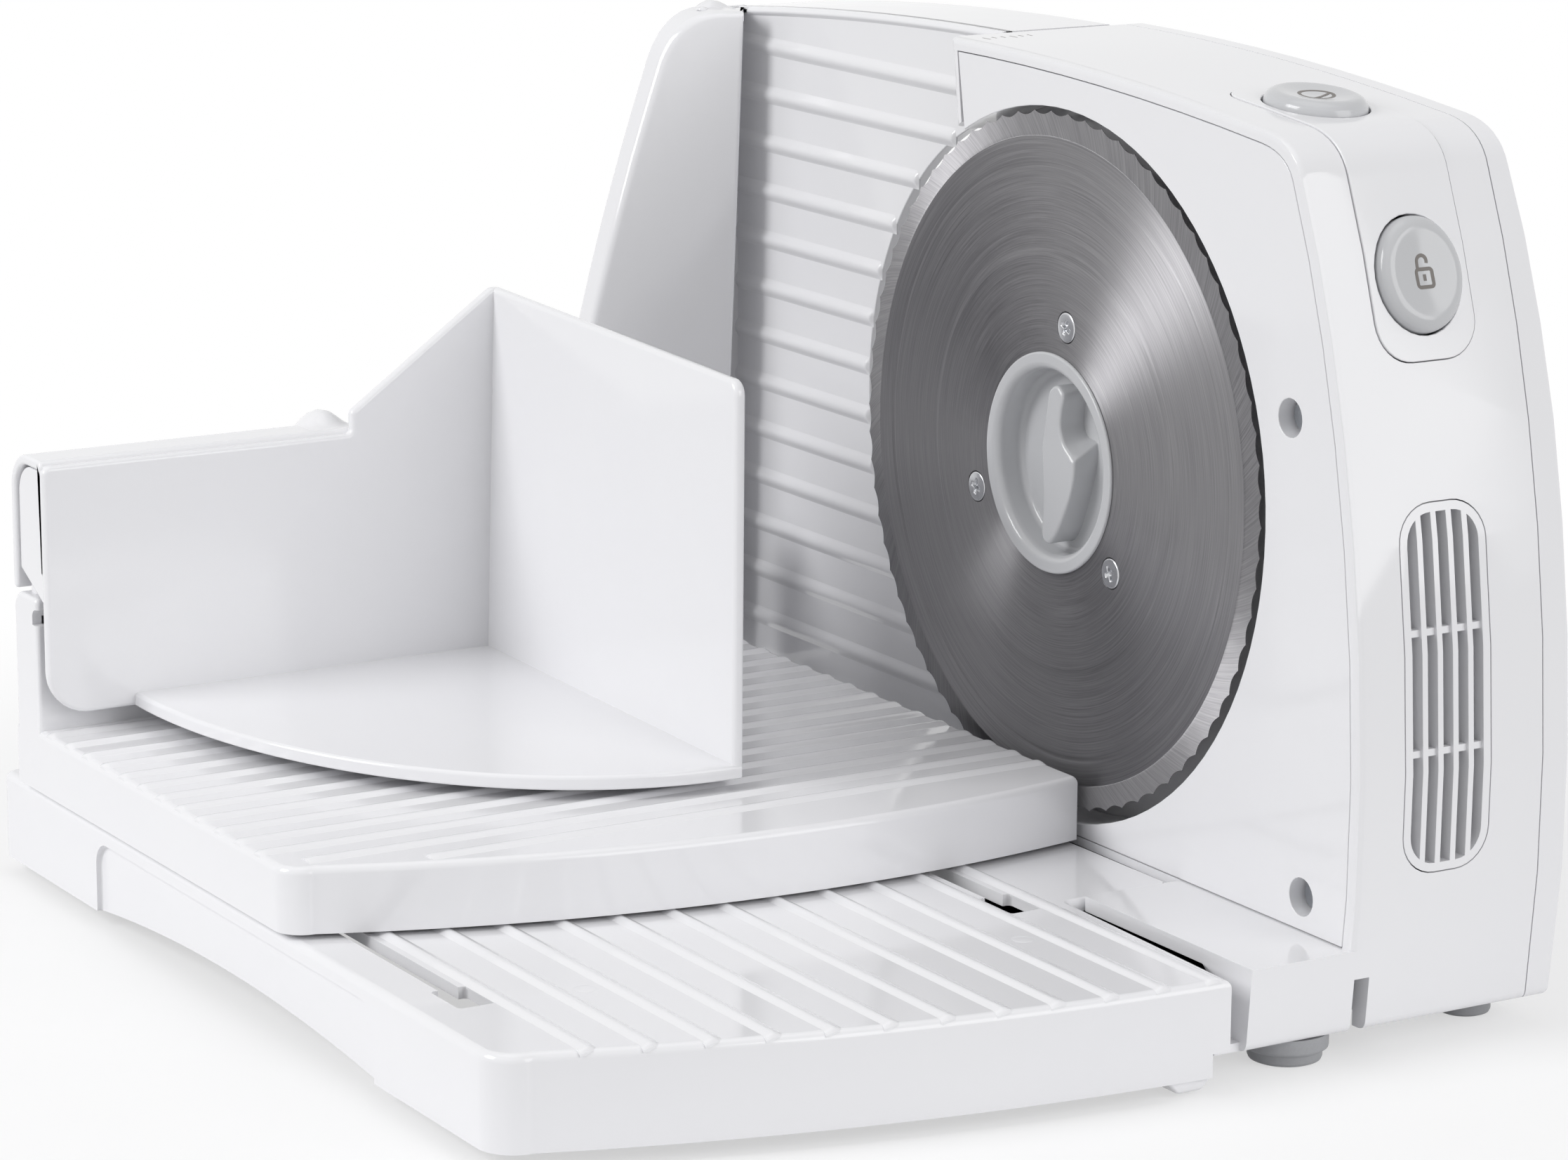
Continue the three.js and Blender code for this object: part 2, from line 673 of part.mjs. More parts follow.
// A button with its hidden flange and stem, standing along z with the skin at z = 0.
function buttonSolid() {
  const cap = ellipse(BUTTON_HALF_WIDTH, BUTTON_HALF_LENGTH);
  const flange = ellipse(BUTTON_HALF_WIDTH - BUTTON_FLANGE, BUTTON_HALF_LENGTH + BUTTON_FLANGE);
  const capFoot = BUTTON_PROUD - BUTTON_HEIGHT;
  const capBody = extruded(cap, "z", capFoot, BUTTON_PROUD, BUTTON_ROUND);
  const flangeBody = extruded(flange, "z", springEnd, capFoot + BUTTON_ROUND);
  const stem = rod(STEM_RADIUS, "z", springEnd - STEM_LENGTH, springEnd + EXTRA, [0, 0, 0], 20);
  return join(capBody, flangeBody, stem);
}

function buttonHole() {
  const hole = ellipse(BUTTON_HALF_WIDTH + SLIDE_FIT, BUTTON_HALF_LENGTH + SLIDE_FIT);
  return extruded(hole, "z", -BEZEL_THICKNESS * 3, BUTTON_PROUD * 3);
}

const WIRE_SIDES = 5;
const COIL_STEPS = 10;

class Helix extends THREE.Curve {
  constructor(radius, length, turns) {
    super();
    this.radius = radius;
    this.length = length;
    this.turns = turns;
  }

  getPoint(t, target = new THREE.Vector3()) {
    const angle = t * this.turns * Math.PI * 2;
    return target.set(this.radius * Math.cos(angle), this.radius * Math.sin(angle), this.length * t);
  }
}

function wireSection(radius) {
  return new THREE.Shape(ellipse(radius, radius, WIRE_SIDES).map(([a, b]) => new THREE.Vector2(a, b)));
}

// A coil spring between a button's flange and its seat, in the button's frame.
function springSolid() {
  const steps = SPRING_TURNS * COIL_STEPS;
  const helix = new Helix(SPRING_RADIUS, SPRING_LENGTH - 2 * SPRING_WIRE, SPRING_TURNS);
  const options = { steps, extrudePath: helix, bevelEnabled: false };
  const geometry = new THREE.ExtrudeGeometry(wireSection(SPRING_WIRE), options);
  geometry.translate(0, 0, springSeat + FIT + SPRING_WIRE);
  return solidOf(geometry);
}

// Screw with a flat head along an axis: its head's outer face at a station, its shank in the given sense.
function screwSolid(axis, face, sense, centre, head, headHeight, shank, length) {
  const under = face + sense * headHeight;
  const headBody = rod(head, axis, Math.min(face, under), Math.max(face, under), centre, 20);
  const tip = under + sense * length;
  const inHead = (face + under) / 2;
  return join(headBody, rod(shank, axis, Math.min(inHead, tip), Math.max(inHead, tip), centre, 12));
}

// A screw's pilot hole along x at a place (y, z).
function pilot(from, to, y, z) {
  return rod(SCREW_SHANK + FIT, "x", from, to, [0, y, z], 12);
}

// The motor tower's main moulding, with the near hinge block.
function addTowerShell() {
  const long = extruded(towerOutline(), "x", 0, shellBack + EDGE_ROUND * 2, EDGE_ROUND);
  const body = cut(long, box(shellBack, FAR_AWAY, -FAR_AWAY, FAR_AWAY, -FAR_AWAY, FAR_AWAY));
  const blockSpace = box(-BLOCK_DEPTH, EDGE_ROUND, -FAR_AWAY, BLOCK_FAR, -FAR_AWAY, tableTop);
  const block = common(extruded(towerOutline(), "x", -BLOCK_DEPTH, EDGE_ROUND), blockSpace);
  const sideFoot = nearSide.v3.x + WALL;
  const ledge = box(
    -BLOCK_DEPTH - LEDGE, EXTRA - BLOCK_DEPTH, sideFoot, BLOCK_FAR - WALL,
    baseFoot, baseFoot + LEDGE_THICKNESS,
  );
  const interior = extruded(towerOutline(WALL), "x", floorBack, shellBack + EXTRA);
  const aboveTable = box(-FAR_AWAY, FAR_AWAY, -FAR_AWAY, FAR_AWAY, tableTop, FAR_AWAY);
  const pocket = common(extruded(towerOutline(RIM), "x", -1, recessDepth), aboveTable);
  const recess = rod(recessRadius, "x", -1, recessDepth, [0, 0, 0], 96);
  const footSpace = box(
    WALL, recessDepth, sideFoot + WALL, FAR_FOOT - WALL, baseFoot - EXTRA, tableTop - WALL,
  );
  const blockHollow = box(
    -BLOCK_DEPTH + WALL, WALL + EXTRA, sideFoot + WALL, BLOCK_FAR - WALL, baseFoot + WALL, tableTop - WALL,
  );
  const notch = box(
    NOTCH_START, NOTCH_START + NOTCH_WIDTH, -FAR_AWAY, sideFoot + WALL + EXTRA,
    baseFoot - EXTRA, baseFoot + NOTCH_HEIGHT,
  );
  const hollow = cut(join(body, block, ledge), interior, pocket, recess, footSpace, blockHollow, notch);
  const windows = [
    common(bezelRegion(FIT), skinLayer(0, shellBack, BEZEL_PROUD * 4, buttonSpace)),
    common(grilleRegion(FIT), skinLayer(0, shellBack, BEZEL_PROUD * 4, WALL * 2)),
  ];
  const barSlot = box(
    floorBack + WALL, shellBack - WALL, farSideAt(dialZ) - WALL * 3, FAR_TOP + EXTRA,
    dialZ - SLIDE_BAR_THICKNESS * 2, dialZ + SLIDE_BAR_THICKNESS,
  );
  const skinned = cut(hollow, ...windows, barSlot);
  const posts = lidScrews.map(([y, z]) =>
    rod(POST_RADIUS, "x", floorBack - EXTRA, shellBack, [0, y, z], 20),
  );
  const platePosts = plateScrews.map(([y, z]) =>
    rod(POST_RADIUS, "x", PLATE_THICKNESS + PLATE_CUP + FIT, recessDepth + EXTRA, [0, y, z], 20),
  );
  const bushBoss = rod(bushRadius + FIT + BOSS_WALL, "x", floorBack - EXTRA, recessDepth + BUSH_LENGTH);
  const cradle = motorCradle();
  const board = boardPosts();
  const seats = switchSeats();
  const pilots = [
    ...lidScrews.map(([y, z]) => pilot(shellBack - SCREW_LENGTH, shellBack + EXTRA, y, z)),
    ...plateScrews.map(([y, z]) => pilot(0, floorBack + EXTRA, y, z)),
  ];
  const bushBore = rod(bushRadius + FIT, "x", recessDepth - EXTRA, recessDepth + BUSH_LENGTH + EXTRA);
  const pinLine = [HINGE_X, 0, hingeZ];
  const pinStart = BLOCK_FAR - WALL - EXTRA;
  const pinBore = rod(PIN_RADIUS + FIT, "y", pinStart, BLOCK_FAR + EXTRA, pinLine, 20);
  const full = join(skinned, ...posts, ...platePosts, bushBoss, cradle, board, seats);
  addPiece("tower_shell", cut(full, ...pilots, bushBore, pinBore), whitePlastic);
}

// Two saddles on the tower's inner floor that carry the motor and one that carries the worm's end bush.
function motorCradle() {
  const saddleY = [canWormEnd - MOTOR_LENGTH / 4, canFanEnd + MOTOR_LENGTH / 4];
  const half = motorRadius - CRADLE_INSET;
  const reach = CRADLE_WIDTH / 2;
  const saddles = saddleY.map((y) =>
    box(floorBack - EXTRA, motorX, y - reach, y + reach, -wormDrop - half, -wormDrop + half),
  );
  const line = [motorX, 0, -wormDrop];
  const motorSpace = rod(motorRadius + FIT, "y", canFanEnd - EXTRA, canWormEnd + EXTRA, line, 40);
  return cut(join(...saddles), motorSpace);
}

function boardPosts() {
  const [, width, height] = BOARD_SIZE;
  const reach = width / 2 - BOARD_POST * 2;
  const places = [[BOARD_Y - reach, BOARD_Z], [BOARD_Y + reach, BOARD_Z - height / 3]];
  const end = boardX - FIT;
  return join(...places.map(([y, z]) => rod(BOARD_POST, "x", floorBack - EXTRA, end, [0, y, z], 16)));
}

// The shelf behind the lock button's spring and the one under the switch block.
function switchSeats() {
  const inner = floorBack - 1 - buttonX;
  const reach = SPRING_RADIUS * 2;
  const half = SPRING_RADIUS + SPRING_WIRE * 3;
  const lockShelf = box(inner, reach, -half, half, springSeat - WALL, springSeat);
  const [, width, height] = SWITCH_SIZE;
  const foot = springSeat - height - FIT;
  const switchShelf = box(inner, reach, -width / 2, width / 2, foot - WALL, foot);
  return join(
    placedAt(lockCentre, lockSide.out, lockShelf),
    placedAt(powerCentre, powerOut, switchShelf),
  );
}

// The back of the rear cover: an arc over its height, fullest at one level and flush at the tower's crest.
function rearArc() {
  const reach = crown(CROWN_CENTRE) - REAR_LEVEL;
  const radius = reach ** 2 / (2 * REAR_BULGE) + REAR_BULGE / 2;
  const points = [[-FAR_AWAY, REAR_LEVEL - reach * 2], [-FAR_AWAY, REAR_LEVEL + reach * 2]];
  for (let i = REAR_STEPS; i >= -REAR_STEPS; i -= 1) {
    const rise = (reach * 2 * i) / REAR_STEPS;
    points.push([rearCrest - radius + Math.sqrt(radius ** 2 - rise ** 2), REAR_LEVEL + rise]);
  }
  return extruded(points, "y", -FAR_AWAY, FAR_AWAY);
}

function addRearCover() {
  const outer = extruded(towerOutline(), "x", shellBack - EDGE_ROUND * 3, rearCrest, EDGE_ROUND);
  const long = common(outer, rearArc());
  const front = shellBack + FIT;
  const cap = cut(long, box(-FAR_AWAY, front, -FAR_AWAY, FAR_AWAY, -FAR_AWAY, FAR_AWAY));
  const hollow = extruded(towerOutline(WALL), "x", front - EXTRA, lidFace);
  const bosses = lidScrews.map(([y, z]) => rod(POST_RADIUS, "x", front, lidFace + EXTRA, [0, y, z], 20));
  const bushBoss = rod(bushRadius + FIT + BOSS_WALL, "x", lidFace - BUSH_LENGTH, lidFace + EXTRA);
  const bushBore = rod(bushRadius + FIT, "x", lidFace - BUSH_LENGTH - EXTRA, lidFace);
  const headSeat = TOWER_DEPTH - SCREW_HEAD_HEIGHT - FIT;
  const holes = lidScrews.map(([y, z]) =>
    join(
      pilot(front - EXTRA, rearCrest + EXTRA, y, z),
      rod(SCREW_HEAD + FIT, "x", headSeat, rearCrest + EXTRA, [0, y, z], 20),
    ),
  );
  const dialBore = rod(SPINDLE_RADIUS + FIT, "x", front - EXTRA, rearCrest, [0, DIAL_Y, dialZ], 24);
  const seatRadius = DIAL_RADIUS + DIAL_SEAT_GAP;
  const dialSeat = rod(seatRadius, "x", TOWER_DEPTH, rearCrest + EXTRA, [0, DIAL_Y, dialZ], 64);
  const cover = cut(join(cut(cap, hollow), ...bosses, bushBoss), bushBore, ...holes, dialBore, dialSeat);
  addPiece("rear_cover", cover, whitePlastic);
  lidScrews.forEach(([y, z], i) => {
    const face = TOWER_DEPTH - FIT;
    const headHeight = SCREW_HEAD_HEIGHT - FIT;
    const screw = screwSolid("x", face, -1, [0, y, z], SCREW_HEAD, headHeight, SCREW_SHANK, SCREW_LENGTH);
    addPiece(`rear_screw_${i + 1}`, screw, steel);
  });
}

// Front plate round the blade, with its skirt behind the blade's edge and two screw cups.
function addFrontPlate() {
  const outline = towerOutline(RIM + FIT);
  const aboveTable = box(-FAR_AWAY, FAR_AWAY, -FAR_AWAY, FAR_AWAY, tableTop + FIT, FAR_AWAY);
  const disc = common(extruded(outline, "x", 0, PLATE_THICKNESS), aboveTable);
  const skirtEnd = recessDepth - FIT;
  const within = common(extruded(outline, "x", 0, skirtEnd), aboveTable);
  const ring = tube(recessRadius, recessRadius + PLATE_SKIRT, "x", 0, skirtEnd, [0, 0, 0], 96);
  const skirt = common(ring, within);
  const opening = rod(recessRadius, "x", -1, recessDepth, [0, 0, 0], 96);
  const cupEnd = PLATE_THICKNESS + PLATE_CUP;
  const cups = plateScrews.map(([y, z]) => rod(PLATE_HOLE + WALL, "x", 0, cupEnd, [0, y, z], 24));
  const holes = plateScrews.map(([y, z]) =>
    join(
      rod(PLATE_HOLE, "x", -1, cupEnd - WALL, [0, y, z], 24),
      pilot(0, cupEnd + EXTRA, y, z),
    ),
  );
  const bodies = cut(join(disc, skirt, common(join(...cups), within)), opening, ...holes);
  const whole = bodies.decompose().reduce((a, b) => (a.volume() > b.volume() ? a : b));
  addPiece("front_plate", whole, whitePlastic);
  plateScrews.forEach(([y, z], i) => {
    const face = cupEnd - WALL - FIT - SCREW_HEAD_HEIGHT;
    const screw = screwSolid(
      "x", face, 1, [0, y, z], SCREW_HEAD, SCREW_HEAD_HEIGHT, SCREW_SHANK, PLATE_SCREW_LENGTH,
    );
    addPiece(`front_screw_${i + 1}`, screw, steel);
  });
}

function addSwitches() {
  const layer = skinLayer(bezelLeft - EXTRA, bezelRight + EXTRA, BEZEL_PROUD, BEZEL_THICKNESS - BEZEL_PROUD);
  const bezel = cut(
    common(layer, bezelRegion(0)),
    placedAt(powerCentre, powerOut, buttonHole()),
    placedAt(lockCentre, lockSide.out, buttonHole()),
  );
  addPiece("switch_bezel", bezel, whitePlastic);
  addPiece("power_button", placedAt(powerCentre, powerOut, buttonSolid()), greyPlastic);
  addPiece("power_button_spring", placedAt(powerCentre, powerOut, springSolid()), steel);
  addPiece("lock_button", placedAt(lockCentre, lockSide.out, buttonSolid()), greyPlastic);
  addPiece("lock_button_spring", placedAt(lockCentre, lockSide.out, springSolid()), steel);
  const [depth, width, height] = SWITCH_SIZE;
  const body = box(-depth / 2, depth / 2, -width / 2, width / 2, springSeat - height, springSeat);
  const plungerTop = springEnd - STEM_LENGTH - BUTTON_TRAVEL - FIT;
  const plunger = rod(PLUNGER_RADIUS, "z", springSeat - EXTRA, plungerTop, [0, 0, 0], 16);
  addPiece("switch_block", placedAt(powerCentre, powerOut, join(body, plunger)), darkPlastic);
}

// Bars run the whole height at the skin, and the cross ribs sit behind them.
function addVentGrille() {
  const left = GRILLE_LEFT - EXTRA;
  const right = GRILLE_RIGHT + EXTRA;
  const panel = common(skinLayer(left, right, 0, GRILLE_DEPTH), grilleRegion(0));
  const middle = (GRILLE_LEFT + GRILLE_RIGHT) / 2;
  const margin = (GRILLE_RIGHT - GRILLE_LEFT - (GRILLE_SLOTS - 1) * GRILLE_PITCH - GRILLE_SLOT) / 2;
  const half = GRILLE_SLOT / 2;
  const slots = [];
  for (let i = 0; i < GRILLE_SLOTS; i += 1) {
    const x = middle + (i - (GRILLE_SLOTS - 1) / 2) * GRILLE_PITCH;
    slots.push(box(x - half, x + half, -FAR_AWAY, -BLADE_RADIUS, GRILLE_FOOT, GRILLE_TOP));
  }
  const openings = common(join(...slots), grilleRegion(-margin));
  const halfRib = GRILLE_RIB / 2;
  const ribs = GRILLE_RIBS.map((z) => box(left, right, -FAR_AWAY, -BLADE_RADIUS, z - halfRib, z + halfRib));
  const ribLayer = common(skinLayer(left, right, -GRILLE_RIB_DROP, WALL), grilleRegion(-margin / 2));
  addPiece("vent_grille", join(cut(panel, openings), common(ribLayer, join(...ribs))), whitePlastic);
}

function addBlade() {
  const points = [];
  const steps = TOOTH_COUNT * 4;
  for (let i = 0; i < steps; i += 1) {
    const angle = (i / steps) * Math.PI * 2;
    const radius = BLADE_RADIUS - (TOOTH_DEPTH * (1 - Math.cos(angle * TOOTH_COUNT))) / 2;
    points.push([radius * Math.cos(angle), radius * Math.sin(angle)]);
  }
  const holes = screwPlaces().map(([y, z]) =>
    rod(BLADE_SCREW_HEAD + FIT, "x", -1, BLADE_THICKNESS + 1, [0, y, z], 20),
  );
  const bore = rod(KNOB_CUP_RADIUS + SLIDE_FIT, "x", -1, BLADE_THICKNESS + 1, [0, 0, 0], 48);
  addPiece("blade", cut(extruded(points, "x", 0, BLADE_THICKNESS), bore, ...holes), bladeSteel);

  const face = BLADE_THICKNESS + FIT;
  const well = KNOB_CUP_RADIUS + SLIDE_FIT;
  const floor = KNOB_DEPTH + SLIDE_FIT;
  const profile = [
    [SHAFT_RADIUS + FIT, floor],
    [well, floor],
    [well, face],
    [HUB_RADIUS, face],
    [HUB_RADIUS, face + HUB_FLANGE],
    [well + HUB_WALL, face + HUB_FLANGE],
    [well + HUB_WALL, hubBack],
    [SHAFT_RADIUS + FIT, hubBack],
    [SHAFT_RADIUS + FIT, floor],
  ];
  const pilots = screwPlaces().map(([y, z]) =>
    rod(BLADE_SCREW_SHANK + FIT, "x", 0, hubBack + EXTRA, [0, y, z], 12),
  );
  addPiece("blade_hub", cut(turned(profile, "x", [0, 0, 0], 48), ...pilots), innerPlastic);
  screwPlaces().forEach(([y, z], i) => {
    const headHeight = BLADE_SCREW_PROUD + BLADE_THICKNESS;
    const screw = screwSolid(
      "x", -BLADE_SCREW_PROUD, 1, [0, y, z],
      BLADE_SCREW_HEAD, headHeight, BLADE_SCREW_SHANK, BLADE_SCREW_LENGTH,
    );
    addPiece(`blade_screw_${i + 1}`, screw, steel);
  });
  addLockKnob();
}

function screwPlaces() {
  return [0, 1, 2].map((i) => {
    const angle = THREE.MathUtils.degToRad(SCREW_ANGLE + i * 120);
    return [SCREW_CIRCLE * Math.cos(angle), SCREW_CIRCLE * Math.sin(angle)];
  });
}

// Cup-shaped knob in the blade's middle, with a finger bar across it.
function addLockKnob() {
  const inner = KNOB_CUP_RADIUS - KNOB_WALL;
  const floor = KNOB_DEPTH - KNOB_WALL;
  const profile = [
    [0, floor],
    [inner, floor],
    [inner, -KNOB_PROUD],
    [KNOB_RIM_RADIUS, -KNOB_PROUD],
    [KNOB_RIM_RADIUS, -FIT],
    [KNOB_CUP_RADIUS, -FIT],
    [KNOB_CUP_RADIUS, KNOB_DEPTH],
    [0, KNOB_DEPTH],
  ];
  const cup = turned(profile, "x", [0, 0, 0], 48);
  const halfWidth = KNOB_BAR_WIDTH / 2;
  const halfLength = KNOB_BAR_LENGTH / 2;
  const barEnds = roundedRectangle(-halfWidth, halfWidth, -halfLength, halfLength, KNOB_BAR_ROUND, 3);
  const barFace = KNOB_BAR_DROP - KNOB_PROUD;
  const bar = extruded(barEnds, "x", barFace, floor + EXTRA);
  const inBar = EXTRA - halfWidth;
  const pointerLine = [[inBar, KNOB_BAR_WIDTH], [-KNOB_POINTER_REACH, 0], [inBar, -KNOB_POINTER_TAIL]];
  const pointer = extruded(pointerLine, "x", barFace, floor + EXTRA);
  const socketStart = KNOB_DEPTH - SHAFT_STUB_REACH - FIT;
  const socket = rod(SHAFT_STUB_RADIUS + FIT, "x", socketStart, KNOB_DEPTH + EXTRA, [0, 0, 0], 20);
  addPiece("blade_lock_knob", cut(join(cup, bar, pointer), socket), greyPlastic);
}

function addDrive() {
  const stubStart = KNOB_DEPTH - SHAFT_STUB_REACH;
  const shaft = join(
    rod(SHAFT_RADIUS, "x", KNOB_DEPTH + SLIDE_FIT, lidFace - SLIDE_FIT),
    rod(SHAFT_STUB_RADIUS, "x", stubStart, KNOB_DEPTH + SLIDE_FIT + EXTRA, [0, 0, 0], 20),
  );
  addPiece("drive_shaft", shaft, steel);
  const bushes = { front_bush: recessDepth, rear_bush: lidFace - BUSH_LENGTH + FIT };
  Object.entries(bushes).forEach(([name, start]) => {
    addPiece(name, tube(SHAFT_RADIUS + FIT, bushRadius, "x", start, start + BUSH_LENGTH - 2 * FIT), bronze);
  });

  const points = [];
  const steps = WHEEL_TEETH * 4;
  for (let i = 0; i < steps; i += 1) {
    const angle = (i / steps) * Math.PI * 2;
    const low = i % 4 >= 2;
    const radius = WHEEL_RADIUS - (low ? WHEEL_TOOTH : 0);
    points.push([radius * Math.cos(angle), radius * Math.sin(angle)]);
  }
  const bore = rod(SHAFT_RADIUS + FIT, "x", 0, TOWER_DEPTH);
  const wheel = cut(extruded(points, "x", motorX - WHEEL_WIDTH / 2, motorX + WHEEL_WIDTH / 2), bore);
  addPiece("worm_wheel", wheel, innerPlastic);

  const line = [motorX, 0, -wormDrop];
  const shaftEnd = WORM_LENGTH / 2 + BUSH_LENGTH;
  const coreMiddle = (canFanEnd + canWormEnd) / 2;
  const armature = join(
    rod(MOTOR_SHAFT, "y", canFanEnd - FAN_WIDTH * 2, shaftEnd, line, 20),
    rod(coreRadius, "y", coreMiddle - CORE_LENGTH / 2, coreMiddle + CORE_LENGTH / 2, line, 24),
  );
  addPiece("motor_armature", armature, steel);
  const can = cut(
    rod(motorRadius, "y", canFanEnd, canWormEnd, line, 40),
    rod(motorRadius - MOTOR_WALL, "y", canFanEnd + MOTOR_WALL, canWormEnd - MOTOR_WALL, line, 32),
    rod(MOTOR_SHAFT + FIT, "y", canFanEnd - EXTRA, canWormEnd + EXTRA, line, 20),
  );
  addPiece("motor_can", can, steel);
  addFan(line);
  addWorm(line);
  addMotorBracket(line);
  const bushSeat = WORM_LENGTH / 2 + SLIDE_FIT;
  const bushInner = MOTOR_SHAFT + FIT;
  const wormBush = tube(bushInner, bushInner + BUSH_WALL, "y", bushSeat, shaftEnd - FIT, line, 24);
  addPiece("worm_bush", wormBush, bronze);
}

function addFan(line) {
  const far = canFanEnd - FIT - SLIDE_FIT;
  const root = MOTOR_SHAFT + BUSH_WALL;
  const hub = tube(MOTOR_SHAFT + FIT, root + BUSH_WALL, "y", far - FAN_WIDTH, far, line, 20);
  const vanes = [];
  for (let i = 0; i < FAN_VANES; i += 1) {
    const vane = new THREE.BoxGeometry(fanRadius - root, FAN_WIDTH - FIT, VANE_THICKNESS);
    vane.translate((fanRadius + root) / 2, 0, 0);
    vane.applyMatrix4(new THREE.Matrix4().makeRotationY((i / FAN_VANES) * Math.PI * 2));
    vane.translate(line[0], far - FAN_WIDTH / 2, line[2]);
    vanes.push(solidOf(vane));
  }
  addPiece("motor_fan", join(hub, ...vanes), darkPlastic);
}

// Worm: a core with a helical ridge, on the motor's shaft.
function addWorm(line) {
  const ridgeRadius = (WORM_RADIUS - WORM_CORE) * 0.6;
  const ridgeLength = WORM_LENGTH - 4 * ridgeRadius;
  const helix = new Helix(WORM_RADIUS - ridgeRadius, ridgeLength, WORM_TURNS);
  const options = { steps: WORM_TURNS * COIL_STEPS, extrudePath: helix, bevelEnabled: false };
  const ridge = new THREE.ExtrudeGeometry(wireSection(ridgeRadius), options);
  ridge.translate(0, 0, -ridgeLength / 2);
  ridge.applyMatrix4(FRAMES.y);
  ridge.translate(...line);
  const half = WORM_LENGTH / 2;
  const body = join(rod(WORM_CORE, "y", -half, half, line, 20), solidOf(ridge));
  addPiece("worm", cut(body, rod(MOTOR_SHAFT + FIT, "y", -half - EXTRA, half + EXTRA, line, 16)), bronze);
}

// Plate that holds the motor's front face and reaches along to carry the worm's end bush.
function addMotorBracket(line) {
  const face = canWormEnd + FIT;
  const half = motorRadius - BRACKET_INSET;
  const back = lidFace - SLIDE_FIT;
  const foot = line[2] - half;
  const wallPlate = box(floorBack + FIT, back, face, face + BRACKET_THICKNESS, foot, line[2] + half);
  const bushSeat = WORM_LENGTH / 2 + SLIDE_FIT;
  const lugHalf = MOTOR_SHAFT + BUSH_WALL * 3;
  const shelf = box(
    floorBack + FIT, motorX + lugHalf, face, bushSeat + BUSH_LENGTH, foot, foot + BRACKET_THICKNESS,
  );
  const lug = box(
    line[0] - lugHalf, line[0] + lugHalf, bushSeat, bushSeat + BUSH_LENGTH - EXTRA, foot, line[2] + lugHalf,
  );
  const shaftHole = rod(WORM_RADIUS + 1, "y", face - EXTRA, face + BRACKET_THICKNESS + 1, line, 24);
  const bushOuter = MOTOR_SHAFT + BUSH_WALL + 2 * FIT;
  const bushHole = rod(bushOuter, "y", bushSeat - EXTRA, bushSeat + BUSH_LENGTH + EXTRA, line, 24);
  addPiece("motor_bracket", cut(join(wallPlate, shelf, lug), shaftHole, bushHole), steel);
}

function addBoard() {
  const [thickness, width, height] = BOARD_SIZE;
  const near = BOARD_Y - width / 2;
  const foot = BOARD_Z - height / 2;
  const top = boardX + thickness;
  const plate = box(boardX, top, near, near + width, foot, foot + height);
  const place = [0, near + width - CAPACITOR_RADIUS * 2, BOARD_Z];
  const inBoard = top - thickness / 2;
  const capacitor = rod(CAPACITOR_RADIUS, "x", inBoard, top + CAPACITOR_LENGTH, place, 20);
  const half = RECTIFIER_WIDTH / 2;
  const chipNear = near + half;
  const rectifier = box(
    inBoard, top + RECTIFIER_HEIGHT, chipNear, chipNear + RECTIFIER_WIDTH, BOARD_Z - half, BOARD_Z + half,
  );
  addPiece("rectifier_board", join(plate, capacitor, rectifier), board);
}

// Low arm of the base towards the far end: floor, guide for the stop rods and the far hinge block.
function addBaseArm() {
  const hull = box(ARM_FRONT, TOWER_DEPTH, armNear, ARM_FAR, baseFoot, armTop);
  const hollow = box(
    ARM_FRONT + WALL, TOWER_DEPTH - WALL, armNear + WALL, ARM_FAR - WALL, baseFoot - EXTRA, armTop - WALL,
  );
  const floor = box(-WALL / 2, ARM_FRONT + EXTRA, armNear, ARM_FAR, baseFoot, baseFoot + WALL);
  const block = box(-BLOCK_DEPTH, 0, FAR_BLOCK_NEAR, ARM_FAR, baseFoot, tableTop);
  const blockHollow = box(
    -BLOCK_DEPTH + WALL, -WALL, FAR_BLOCK_NEAR + WALL, ARM_FAR - WALL, baseFoot - EXTRA, tableTop - WALL,
  );
  const ledge = box(
    -BLOCK_DEPTH - LEDGE, EXTRA - BLOCK_DEPTH, FAR_BLOCK_NEAR + WALL, ARM_FAR - WALL,
    baseFoot, baseFoot + LEDGE_THICKNESS,
  );
  const guides = ROD_PLACES.map((y) => {
    const guide = rod(ROD_BOSS, "x", ARM_FRONT, ARM_FRONT + ROD_GUIDE, [0, y, rodZ], 24);
    const web = box(ARM_FRONT, ARM_FRONT + ROD_GUIDE, y - WALL / 2, y + WALL / 2, rodZ, armTop - EXTRA);
    return join(guide, web);
  });
  const bores = ROD_PLACES.map((y) =>
    rod(ROD_RADIUS + FIT, "x", ARM_FRONT - EXTRA, ARM_FRONT + ROD_GUIDE + EXTRA, [0, y, rodZ], 24),
  );
  const footPost = rod(POST_RADIUS, "z", baseFoot, armTop - EXTRA, [...armFoot, 0], 20);
  const pinLine = [HINGE_X, 0, hingeZ];
  const pinEnd = FAR_BLOCK_NEAR + WALL + EXTRA;
  const pinBore = rod(PIN_RADIUS + FIT, "y", FAR_BLOCK_NEAR - EXTRA, pinEnd, pinLine, 20);
  const body = join(cut(join(hull, block), hollow, blockHollow), floor, ledge, ...guides, footPost);
  addPiece("base_arm", cut(body, ...bores, pinBore), whitePlastic);
}

// A round rubber foot from the ground up to a level, narrower below.
function footSolid(place, radius, level) {
  const low = radius - FOOT_TAPER;
  const top = level - FIT;
  const tread = [[0, ground], [low - FOOT_INSET, ground], [low, ground + FOOT_INSET]];
  return turned([...tread, [radius, top], [0, top]], "z", [...place, 0], 24);
}

